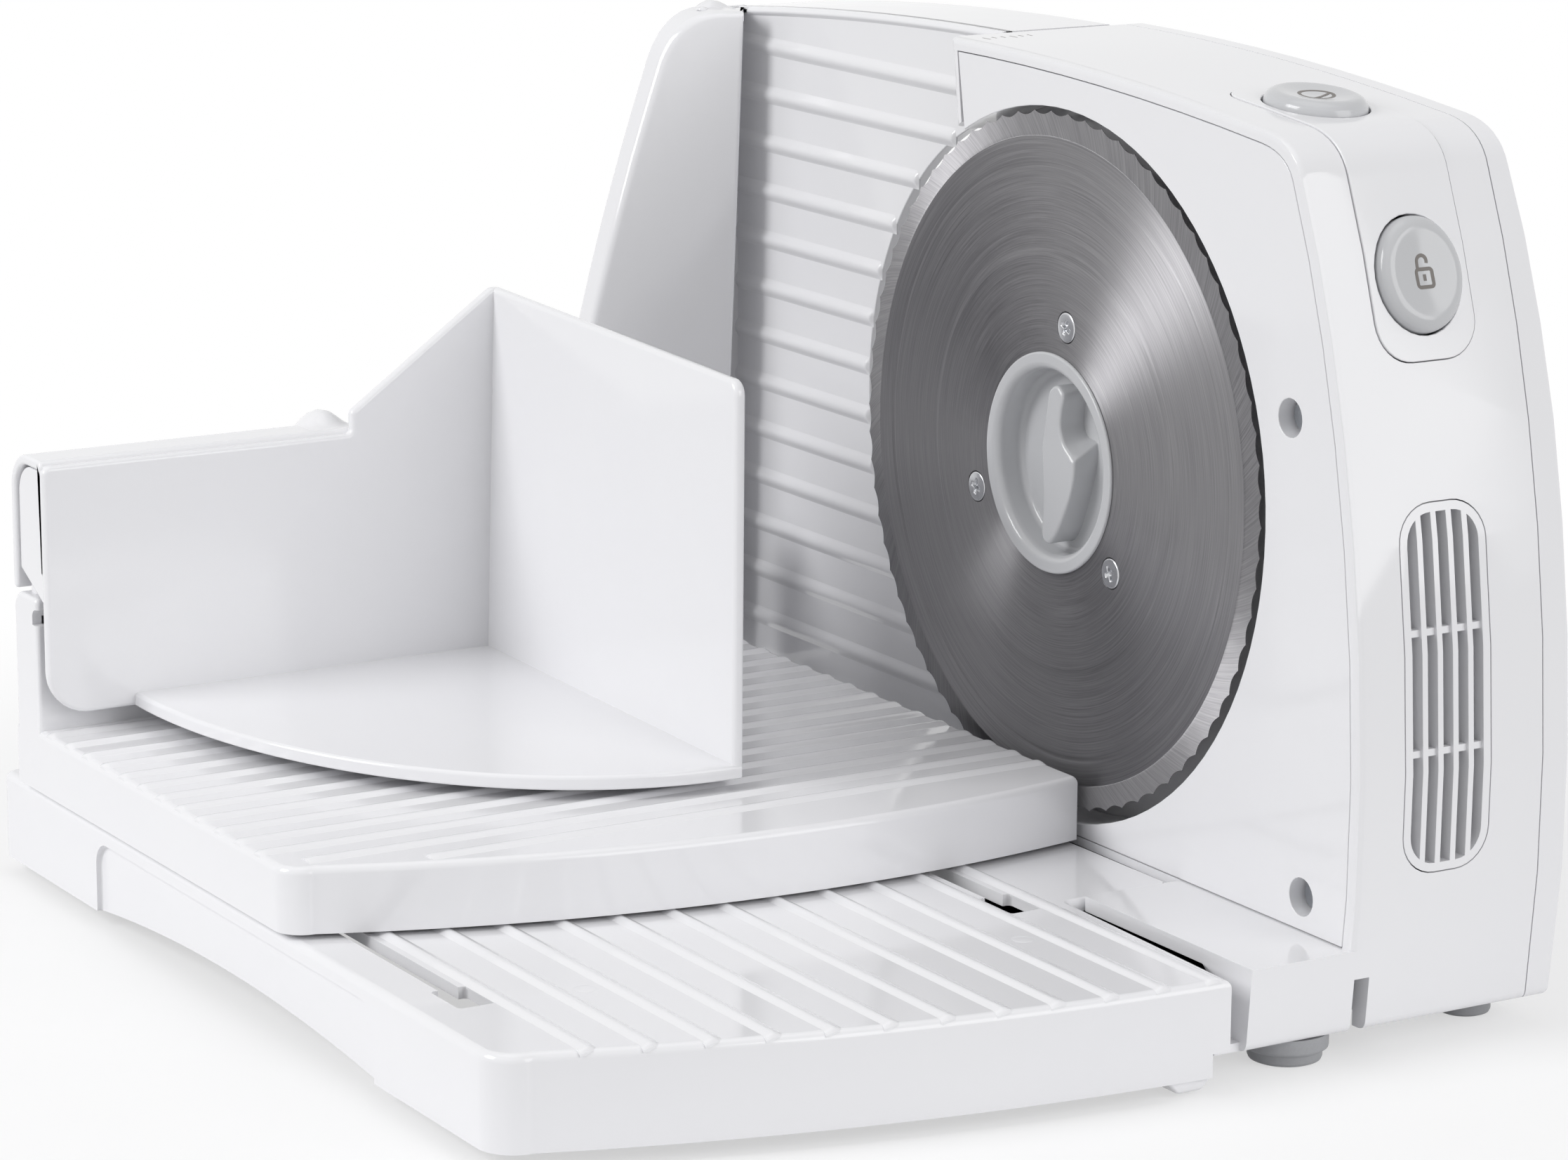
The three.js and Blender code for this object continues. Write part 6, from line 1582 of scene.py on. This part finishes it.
@dataclass
class Carriage:
    """The food carriage: bowed near edge, ridges, hollow underside, back wall, tongue and runner hooks."""

    left: float = -203.0
    right: float = -2.0
    foot: float = -89.6
    top: float = -73.8
    wall: float = 2.5
    bow_radius: float = 330.0
    bow_x: float = -65.0
    bow_near: float = -24.0
    corner: float = 7.0
    edge_round: float = 1.8
    back_near: float = 146.0
    back_far: float = 160.0
    back_top: float = -40.0
    ridge_pitch: float = 11.0
    ridge_count: int = 14
    ridge_height: float = 0.8
    ridge_half_width: float = 2.7
    tongue_width: float = 4.0
    tongue_height: float = 6.0
    groove_low: float = -47.0
    groove_high: float = -43.0
    groove_depth: float = 2.5
    hook_lines: tuple[float, float] = (-44.0, -187.0)
    hook_places: tuple[float, float] = (66.0, 125.0)
    hook_length: float = 18.0
    hook_neck: float = 1.8
    hook_half_width: float = 3.8
    hook_top: float = -93.9
    hook_foot: float = -96.4

    def near_edge(self, x: Array) -> Array:
        """Y of the near edge, an arc."""
        return self.bow_near + self.bow_radius - np.sqrt(self.bow_radius ** 2 - (x - self.bow_x) ** 2)

    def outline(self) -> Array:
        """The outline in plan.

        Returns:
            Points around the carriage.
        """
        side = bowed_side(self.near_edge, self.left, self.right - 2.0, self.corner)
        near_right = float(self.near_edge(np.array(self.right)))
        rest = np.array([(self.right - 0.6, near_right - 0.1), (self.right, near_right + 1.2),
                         (self.right, self.back_far), (self.left, self.back_far)])
        return np.concatenate([side, rest])

    def build(self) -> None:
        """Makes the carriage as one piece."""
        outline = self.outline()
        body = solid("carriage_shown", outline, "z", self.foot, self.top, 0.0, self.edge_round, 8)
        back = self.back_wall()
        shape(body, Shape.JOIN, back)
        hollow = solid("hollow", inset(outline, self.wall), "z", self.foot - 1, self.top - self.wall)
        inside = block("inside", (self.left + self.wall, self.right - 2 * self.wall),
                       (self.back_near + self.wall, self.back_far - self.wall),
                       (self.foot - 1, self.back_top - self.wall))
        before, behind = self.back_near - 2, self.back_near + self.groove_depth
        groove = rounded([(before, self.groove_low, 0), (behind, self.groove_low, 0.0),
                          (behind, self.groove_high, 2.4), (before, self.groove_high, 0)])
        channel = solid("channel", groove, "x", self.left - 2, self.right + 2)
        shape(body, Shape.CUT, hollow, inside, channel)
        soften(body, 0.5, 50.0)
        ridges = [self.ridge_at(self.back_near - self.ridge_pitch * (i + 0.5))
                  for i in range(self.ridge_count)]
        extras = gather("extras", *[r for r in ridges if r is not None], self.tongue(), *self.hooks())
        smooth(extras, 40.0)
        carriage = gather("carriage_shown", body, extras)
        dress(carriage, WHITE_ABS, Slot.WHITE, "carriage", ["carriage"])

    def back_wall(self) -> Piece:
        """The hollow back wall, rounded along its far top edge."""
        line = rounded([(self.back_near, self.top - 3, 0), (self.back_far, self.top - 3, 0),
                        (self.back_far, self.back_top, 4.5), (self.back_near, self.back_top, 1.6)], 10)
        return solid("back", line, "x", self.left, self.right - self.wall, 1.2, 1.2, 5)

    def tongue(self) -> Piece:
        """The guide tongue on the back wall, which the pusher's rail runs on.

        Returns:
            A closed object.
        """
        middle = (self.back_near + self.back_far) / 2
        half = self.tongue_width / 2
        line = rounded([(middle - half, self.back_top - 1, 0), (middle + half, self.back_top - 1, 0),
                        (middle + half, self.back_top + self.tongue_height, 1.2),
                        (middle - half, self.back_top + self.tongue_height, 1.2)])
        return solid("tongue", line, "x", self.left + self.wall, self.right - 2 * self.wall, 0.8, 0.8, 4)

    def hooks(self) -> list[Piece]:
        """The runner hooks under the tray.

        Returns:
            One object for each hook.
        """
        made = []
        for x in self.hook_lines:
            for y in self.hook_places:
                neck, wide = self.hook_neck, self.hook_half_width
                line = rounded([(x - neck, self.top - 2, 0), (x - neck, self.hook_top, 0),
                                (x - wide, self.hook_top, 0.6), (x - wide, self.hook_foot, 0.6),
                                (x + wide, self.hook_foot, 0.6), (x + wide, self.hook_top, 0.6),
                                (x + neck, self.hook_top, 0), (x + neck, self.top - 2, 0)], 4)
                made.append(solid("hook", line, "y", y, y + self.hook_length, 0.4, 0.4, 3))
        return made

    def ridge_at(self, y: float) -> Optional[Piece]:
        """One ridge along X that ends in the tray's edge rounding, or just inside the bowed edge.

        Args:
            y: Where it lies along Y.

        Returns:
            A closed object, or nothing where the tray is too narrow.
        """
        inner = self.bow_radius - self.edge_round - 0.8 * self.ridge_half_width
        lift = self.bow_radius - (y - self.bow_near)
        reach = math.sqrt(max(inner ** 2 - lift ** 2, 0.0))
        start, end = max(self.left, self.bow_x - reach), min(self.right, self.bow_x + reach)
        if y < float(self.near_edge(np.array(self.left + self.corner))) + self.corner:
            start = max(start, self.left + self.corner)
        if end - start < 4 * self.ridge_pitch:
            return None
        away = np.linspace(0.1, 1.0, 9) * 2 * self.edge_round
        x = np.concatenate([start + away, (end - away)[::-1]])
        drop = edge_drop(np.minimum(x - self.left, self.right - x), self.edge_round)
        rise = np.sqrt(1 - (1 - away / (2 * self.edge_round)) ** 2)
        path = np.stack([x, np.full_like(x, y), self.top - drop], -1)
        heights = self.ridge_height * np.concatenate([rise, rise[::-1]])
        return ridge("ridge", path, Y_AXIS, Z_AXIS, self.ridge_half_width, heights)


@dataclass
class Pusher:
    """The food pusher: main wall with a hooked rail over it, guard wall at the blade and a quarter floor."""

    left: float = -203.0
    face: float = 139.0
    wall: float = 3.0
    far: float = 160.0
    guard_left: float = -81.0
    guard_right: float = -78.0
    near: float = 12.5
    near_top_y: float = 16.0
    foot: float = -68.6
    near_foot: float = -71.2
    floor: float = 3.5
    floor_reach: float = 99.0
    top: float = 28.4
    near_top: float = 24.6
    lean: float = 2.6
    rail_top: float = -4.5
    rail_end: float = -119.0
    rail_foot: float = -39.6
    rail_wall: float = 2.5
    rail_set_back: float = 1.7
    rail_step: float = 1.1
    far_corner: float = 10.0
    step: float = 4.6
    hump: float = 3.6
    hump_half_length: float = 6.4
    edge: float = 1.2
    left_corner: float = 11.0
    rail_lap: float = 6.0
    end_gap: float = 0.45
    web_inset: float = 18.0
    web_thickness: float = 4.0
    tongue_slot: tuple[float, float] = (150.7, 155.3)

    def build(self) -> None:
        """Makes the pusher as one piece."""
        step_top = self.rail_top - self.rail_step
        line = rounded([(self.left, self.foot, self.left_corner), (self.guard_right, self.foot, 1.5),
                        (self.guard_right + self.lean, self.top, 1.6),
                        (self.guard_left + self.lean - 0.5, self.top, 3.0),
                        (self.rail_end, self.rail_top + self.step, 1.4), (self.rail_end, step_top, 1.4),
                        (self.left, step_top, 2.2)], 10)
        main = solid("main", line, "y", self.face, self.face + self.wall, self.edge, self.edge, 6)
        side = rounded([(self.near, self.near_foot, 2.0), (self.face + self.wall, self.foot, 1.5),
                        (self.face + self.wall, self.top, 1.6), (self.near_top_y, self.near_top, 4.0)], 10)
        guard = solid("guard", side, "x", self.guard_left, self.guard_right, self.edge, self.edge, 6)
        self.lean_over(guard)
        pusher = gather("pusher_shown", main, guard, self.quarter(), self.rail(), self.hump_piece(),
                        self.end_panel(), *self.webs())
        smooth(pusher, 40.0)
        dress(pusher, WHITE_ABS, Slot.WHITE, "pusher", ["pusher"])

    def quarter(self) -> Piece:
        """The floor, a quarter of an ellipse with a rounded edge.

        Returns:
            A closed object.
        """
        turn = np.linspace(math.pi, 1.5 * math.pi, 64)
        arc = np.stack([self.guard_left + self.floor_reach * np.cos(turn),
                        self.face + (self.face - self.near) * np.sin(turn)], -1)
        right, back = self.guard_right - 0.6, self.face + 1
        line = np.concatenate([arc, [(right, self.near), (right, back), (arc[0, 0], back)]])
        floor = solid("floor", line, "z", self.foot, self.foot + self.floor, 0.5, 1.0, 6)
        points = points_of(floor)
        share = (self.face - points[:, 1]) / (self.face - self.near)
        points[:, 2] += (self.near_foot - self.foot) * np.clip(share, 0, 1)
        move_points(floor, points)
        return floor

    def lean_over(self, guard: Piece) -> None:
        """Leans the guard toward the blade: X grows evenly from the foot to the full lean at the top.

        Args:
            guard: The upright guard.
        """
        points = points_of(guard)
        points[:, 0] += self.lean * (points[:, 2] - self.foot) / (self.top - self.foot)
        move_points(guard, points)

    def section(self) -> Array:
        """The rail's outline across Y and up Z: an upside-down U with a wide far corner.

        Returns:
            Points around the section.
        """
        near = self.face + self.rail_set_back
        near_foot = self.rail_foot + self.rail_lap
        inner_far, inner_near = self.far - self.rail_wall, self.face + self.wall
        inner_top = self.rail_top - self.rail_wall
        return rounded([(near, near_foot, 0), (near, self.rail_top, 1.9),
                        (self.far, self.rail_top, self.far_corner), (self.far, self.rail_foot, 1.2),
                        (inner_far, self.rail_foot, 1.2),
                        (inner_far, inner_top, self.far_corner - self.rail_wall),
                        (inner_near, inner_top, 1.5), (inner_near, near_foot, 0)], 10)

    def rail(self) -> Piece:
        """The rail, its section carried along X, with a rounded left end."""
        return solid("rail", self.section(), "x", self.left, self.rail_end + 1.0, 0.9, 0.0, 5)

    def hump_piece(self) -> Piece:
        """A rounded hump across the rail's right end, which climbs toward the far side.

        Its path goes level across the rail and then round the far corner, and its height rises by a smooth
        step along that path and falls again before the far side.

        Returns:
            A closed object.
        """
        bend = np.linspace(math.pi / 2, 0, 9)
        centre_y, centre_z = self.far - self.far_corner, self.rail_top - self.far_corner
        level_y = np.linspace(self.face + self.rail_set_back + 2.6, centre_y, 7)[:-1]
        y = np.concatenate([level_y, centre_y + self.far_corner * np.cos(bend)])
        z = np.concatenate([np.full(6, self.rail_top), centre_z + self.far_corner * np.sin(bend)])
        out_y = np.concatenate([np.zeros(6), np.cos(bend)])
        out_z = np.concatenate([np.ones(6), np.sin(bend)])
        share = np.linspace(0, 1, len(y))
        heights = self.hump * smoothstep(share * 2.2) * smoothstep((1 - share) * 3.5) + 0.02
        middle = self.rail_end - self.hump_half_length + 3.4
        path = np.stack([np.full_like(y, middle), y, z], -1)
        out = np.stack([np.zeros_like(y), out_y, out_z], -1)
        heights = np.minimum(heights, (self.far - y) / np.maximum(out_y, 1e-6))
        return ridge("hump", path, X_AXIS, out, self.hump_half_length, heights)

    def end_panel(self) -> Piece:
        """The panel that closes the rail's left end, set in a little.

        Returns:
            A closed object.
        """
        near = self.face + self.wall - 0.2
        far = self.far - self.rail_wall - self.end_gap
        top = self.rail_top - self.rail_wall - self.end_gap
        line = rounded([(near, self.rail_foot - 2, 0.5), (near, top, 1.2),
                        (far, top, self.far_corner - self.rail_wall), (far, self.rail_foot + 5.5, 0.5)], 10)
        return solid("end", line, "x", self.left + 0.9, self.left + 4, 0.5, 0.0, 4)

    def webs(self) -> list[Piece]:
        """Two webs inside the rail, with a slot over the guide tongue.

        Returns:
            Both halves of each web.
        """
        made = []
        spans = ((self.face + self.wall - 0.5, self.tongue_slot[0]), (self.tongue_slot[1], self.far - 1))
        for x in (self.left + self.web_inset, self.rail_end - self.web_inset):
            for start, end in spans:
                line = rounded([(start, self.rail_foot, 0.3), (end, self.rail_foot, 0.3),
                                (end, self.rail_top - 5, 2.0), (start, self.rail_top - 3, 0.3)], 4)
                made.append(solid("web", line, "x", x, x + self.web_thickness))
        return made


@dataclass
class Feet:
    """Rubber feet with a stepped lip, each given as node, X, Y, radius and top."""

    places: tuple[tuple[str, float, float, float, float], ...] = (
        ("foot_front", -8.0, -111.5, 10.0, -110.15), ("foot_rear", 49.0, -104.0, 7.5, -110.15),
        ("foot_far", 45.0, 156.0, 7.5, -110.15), ("table_foot_near", -174.0, -74.7, 6.5, -113.15),
        ("table_foot_far", -174.0, 150.0, 6.5, -113.15),
    )
    ground: float = -117.0
    low_share: float = 0.86
    step_share: float = 0.42

    def build(self) -> None:
        """Makes each foot, turned about its own axis."""
        for node, x, y, radius, top in self.places:
            low = radius * self.low_share
            step = self.ground + (top - self.ground) * self.step_share
            profile = [(AXIS_GAP, self.ground), (low - 1.0, self.ground), (low - 0.3, self.ground + 0.3),
                       (low, self.ground + 1.0), (low, step - 0.5), (low + 0.3, step),
                       (radius - 0.5, step + 0.1), (radius - 0.1, step + 0.4), (radius, step + 0.9),
                       (radius, top), (AXIS_GAP, top)]
            foot = turned(node + "_shown", profile, "z", (x, y, 0), 64)
            smooth(foot, 50.0)
            dress(foot, GREY_RUBBER, Slot.RUBBER, "base", [node])


@dataclass
class ThicknessScale:
    """Printed ticks of the thickness scale on the tower's top, beside the stop's flange."""

    y: float = 41.0
    crest: float = 97.975
    film: float = 0.015
    first: float = 5.5
    pitch: float = 2.6
    count: int = 6
    length: float = 2.2
    long_share: float = 1.6
    long_every: int = 3
    width: float = 0.35

    def build(self) -> None:
        """Makes the ticks as one thin piece that lies on the crown."""
        ticks = []
        for i in range(self.count):
            x = self.first + i * self.pitch
            length = self.length * (self.long_share if i % self.long_every == 0 else 1.0)
            right, near = x + self.width, self.y - length
            line = np.array([(x, near), (right, near), (right, self.y), (x, self.y)])
            ticks.append(solid("tick", line, "z", self.crest - 0.1, self.crest + self.film))
        scale = gather("thickness_scale", *ticks)
        dress(scale, GREY_PRINT, Slot.GREY, "base")


@dataclass(frozen=True)
class FrontPlate:
    """The plate round the blade, whose opening lies closer to it at the top than at the near side."""

    opening: float = 88.0
    radius: float = 87.2
    offset: tuple[float, float] = (-1.0, -1.0)
    facet_gap: float = 0.06
    edge_round: float = 0.4

    def build(self) -> None:
        """Draws the rim of the opening in to a circle that is set off from the blade's axis.

        A rim point's distance from the axis becomes the circle's radius plus the part of the offset that
        points the same way, and never more than the opening's own radius.
        """
        plate = copy_of("front_plate", "front_plate_shown")
        points = points_of(plate)
        reach = np.hypot(points[:, 1], points[:, 2])
        turn = points[:, 1:] / reach[:, None]
        rim = np.abs(reach - self.opening) < self.facet_gap
        wanted = np.minimum(self.radius + turn @ np.array(self.offset), self.opening)
        points[rim, 1:] = turn[rim] * wanted[rim, None]
        move_points(plate, points)
        soften(plate, self.edge_round)
        dress(plate, WHITE_ABS, Slot.WHITE, "base", ["front_plate"])


@dataclass(frozen=True)
class SoftenedNodes:
    """CAD nodes shown as copies with rounded edges, with the width of the rounding in millimetres."""

    widths: dict[str, float]

    def build(self) -> None:
        """Makes the copies and dresses each in its slot's finish."""
        slots = {row["node"]: Slot(row["material_slot"]) for row in frame["record"]["subparts"]}
        bodies = {n: b for b, members in frame["record"]["behaviour"]["bodies"].items() for n in members}
        for node, width in self.widths.items():
            piece = copy_of(node, node + "_shown")
            soften(piece, width)
            dress(piece, FINISHES[slots[node]], slots[node], bodies[node], [node])


def paint_nodes() -> None:
    """Gives every CAD node the material of its slot."""
    for row in frame["record"]["subparts"]:
        node = frame["nodes"][row["node"]]
        node.data.materials.clear()
        node.data.materials.append(material_of(FINISHES[Slot(row["material_slot"])]))


@dataclass(frozen=True)
class Lamp:
    """A square soft lamp with its place and side in metres and its power in watts."""

    name: str
    place: tuple[float, float, float]
    size: float
    power: float

    def build(self, target: Sequence[float]) -> None:
        """Hangs the lamp so that it faces a target.

        Args:
            target: The point it faces, in metres.
        """
        data = bpy.data.lights.new(self.name, "AREA")
        data.size = self.size
        data.energy = self.power
        lamp = bpy.data.objects.new(self.name, data)
        lamp.location = self.place
        lamp.rotation_euler = (Vector(target) - Vector(self.place)).to_track_quat("-Z", "Y").to_euler()
        bpy.context.scene.collection.objects.link(lamp)


@dataclass(frozen=True)
class Studio:
    """Plain pale floor, soft lamps, white world and the camera at the photograph's viewing angle."""

    floor_colour: str = "#F7F7F8"
    floor_grain: str = "#F5F5F6"
    grain_scale: float = 60.0
    floor_radius: float = 1.6
    floor_rings: int = 12
    floor_columns: int = 64
    fade_start: float = 0.2
    fade_end: float = 0.42
    world_light: float = 0.45
    floor_white: float = 0.55
    camera_place: tuple[float, float, float] = (-0.61107, -1.038647, 0.3691)
    azimuth: float = -30.7986
    elevation: float = 13.0383
    roll: float = 0.2452
    lens: float = 118.02
    sensor: float = 36.0
    target: tuple[float, float, float] = (0.0, 0.0, 0.1)
    lamps: tuple[Lamp, ...] = (
        Lamp("key_lamp", (-1.46, 0.32, 1.0), 0.8, 16.0),
        Lamp("side_lamp", (0.6, -1.7, 0.72), 1.3, 13.5),
        Lamp("top_lamp", (0.0, 0.1, 1.9), 1.3, 3.5),
    )

    def build(self) -> None:
        """Makes floor, world, lamps and camera."""
        self.add_floor()
        self.add_world()
        for lamp in self.lamps:
            lamp.build(self.target)
        self.add_camera()

    def add_floor(self) -> None:
        """Makes the floor, a round sheet of rings under the object."""
        rings, columns = self.floor_rings, self.floor_columns
        angle = np.linspace(0, 2 * math.pi, columns, endpoint=False)
        radius = np.linspace(0.001, self.floor_radius, rings)[:, None]
        grid = np.stack([radius * np.cos(angle), radius * np.sin(angle), np.zeros((rings, columns))], -1)
        mesh = bpy.data.meshes.new("floor")
        faces = grid_faces(rings, columns).tolist() + [list(range(columns))]
        mesh.from_pydata(grid.reshape(-1, 3).tolist(), [], faces)
        floor = new_object("floor", mesh)
        floor.data.materials.append(self.floor_material())

    def floor_material(self) -> Material:
        """A matt pale sheet with a faint paper grain, lifted toward white for rays that show it.

        It fades to clear away from the object.

        Returns:
            The material.
        """
        material, tree, place = new_tree("pale_paper_sheet")
        grain = noise(tree, place, self.grain_scale, 2.0, 0.5)
        colour = blend(tree, self.floor_colour, self.floor_grain, grain)
        paper = add_node(tree, "ShaderNodeBsdfDiffuse", {}, {"Color": colour})
        white = add_node(tree, "ShaderNodeEmission", {"Strength": 1.0}, {})
        share = add_node(tree, "ShaderNodeMath", {"operation": "MULTIPLY", 1: self.floor_white},
                         {0: self.shown(tree)})
        lifted = add_node(tree, "ShaderNodeMixShader", {},
                          {0: share.outputs[0], 1: paper.outputs[0], 2: white.outputs[0]})
        clear = add_node(tree, "ShaderNodeBsdfTransparent", {}, {})
        away = add_node(tree, "ShaderNodeVectorMath", {"operation": "LENGTH"}, {0: place})
        fade = add_node(tree, "ShaderNodeMapRange",
                        {"interpolation_type": "SMOOTHSTEP", "From Min": self.fade_start,
                         "From Max": self.fade_end}, {"Value": away.outputs[1]})
        mix = add_node(tree, "ShaderNodeMixShader", {},
                       {0: fade.outputs[0], 1: lifted.outputs[0], 2: clear.outputs[0]})
        close_tree(tree, mix)
        return material

    def shown(self, tree: Tree) -> Socket:
        """One for camera, mirror and clear rays, nothing for rays that light the object.

        Args:
            tree: The material's or world's tree.

        Returns:
            The socket of that number.
        """
        path = add_node(tree, "ShaderNodeLightPath", {}, {})
        seen = add_node(tree, "ShaderNodeMath", {"operation": "MAXIMUM"},
                        {0: path.outputs["Is Camera Ray"], 1: path.outputs["Is Glossy Ray"]})
        seen = add_node(tree, "ShaderNodeMath", {"operation": "MAXIMUM"},
                        {0: seen.outputs[0], 1: path.outputs["Is Transmission Ray"]})
        return seen.outputs[0]

    def add_world(self) -> None:
        """A pale world that camera, mirror and clear rays see as white."""
        world = bpy.data.worlds.new("studio_world")
        bpy.context.scene.world = world
        world.use_nodes = True
        tree = world.node_tree
        tree.nodes.clear()
        light, white = (add_node(tree, "ShaderNodeBackground", {"Color": PURE_WHITE, "Strength": power}, {})
                        for power in (self.world_light, 1.0))
        mix = add_node(tree, "ShaderNodeMixShader", {},
                       {0: self.shown(tree), 1: light.outputs[0], 2: white.outputs[0]})
        add_node(tree, "ShaderNodeOutputWorld", {}, {"Surface": mix.outputs[0]})

    def add_camera(self) -> None:
        """Sets the camera from its place, azimuth, elevation and roll."""
        data = bpy.data.cameras.new("camera")
        data.lens = self.lens
        data.sensor_width = self.sensor
        data.sensor_fit = "HORIZONTAL"
        data.clip_start = 0.05
        data.clip_end = 20.0
        turn, tilt, roll = (math.radians(a) for a in (self.azimuth, self.elevation, self.roll))
        back = Vector((math.sin(turn) * math.cos(tilt), -math.cos(turn) * math.cos(tilt), math.sin(tilt)))
        level = Vector((0, 0, 1)).cross(back).normalized()
        upright = back.cross(level)
        right = level * math.cos(roll) + upright * math.sin(roll)
        up = back.cross(right)
        camera = bpy.data.objects.new("camera", data)
        camera.matrix_world = Matrix((
            (right.x, up.x, back.x, self.camera_place[0]),
            (right.y, up.y, back.y, self.camera_place[1]),
            (right.z, up.z, back.z, self.camera_place[2]),
            (0, 0, 0, 1),
        ))
        bpy.context.scene.collection.objects.link(camera)
        bpy.context.scene.camera = camera


def write_sizes() -> None:
    """Updates the view layer."""
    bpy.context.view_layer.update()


def main() -> None:
    """Builds the sub-assemblies in order and sets the scene."""
    logging.basicConfig(level=logging.INFO, format="%(message)s")
    bpy.context.scene.view_settings.view_transform = "Standard"
    paint_nodes()
    Blade().build()
    LockKnob().build()
    PushButton("lock_button", "lock", Icon.OPEN_LOCK, (26.6, -106.764, 59.6),
               (0.0, -0.947648, 0.319316)).build()
    PushButton("power_button", "power", Icon.BARRED_RING, (26.6, -67.0, 92.88),
               (0.0, -0.097033, 0.995281)).build()
    StopPlate().build()
    Table().build()
    Carriage().build()
    Pusher().build()
    Feet().build()
    ThicknessScale().build()
    FrontPlate().build()
    SoftenedNodes({
        "tower_shell": 0.5, "rear_cover": 0.5, "switch_bezel": 0.3, "vent_grille": 0.4,
        "base_arm": 0.6, "thickness_dial": 0.4,
    }).build()
    Studio().build()
    write_sizes()


if __name__ == "__main__":
    main()
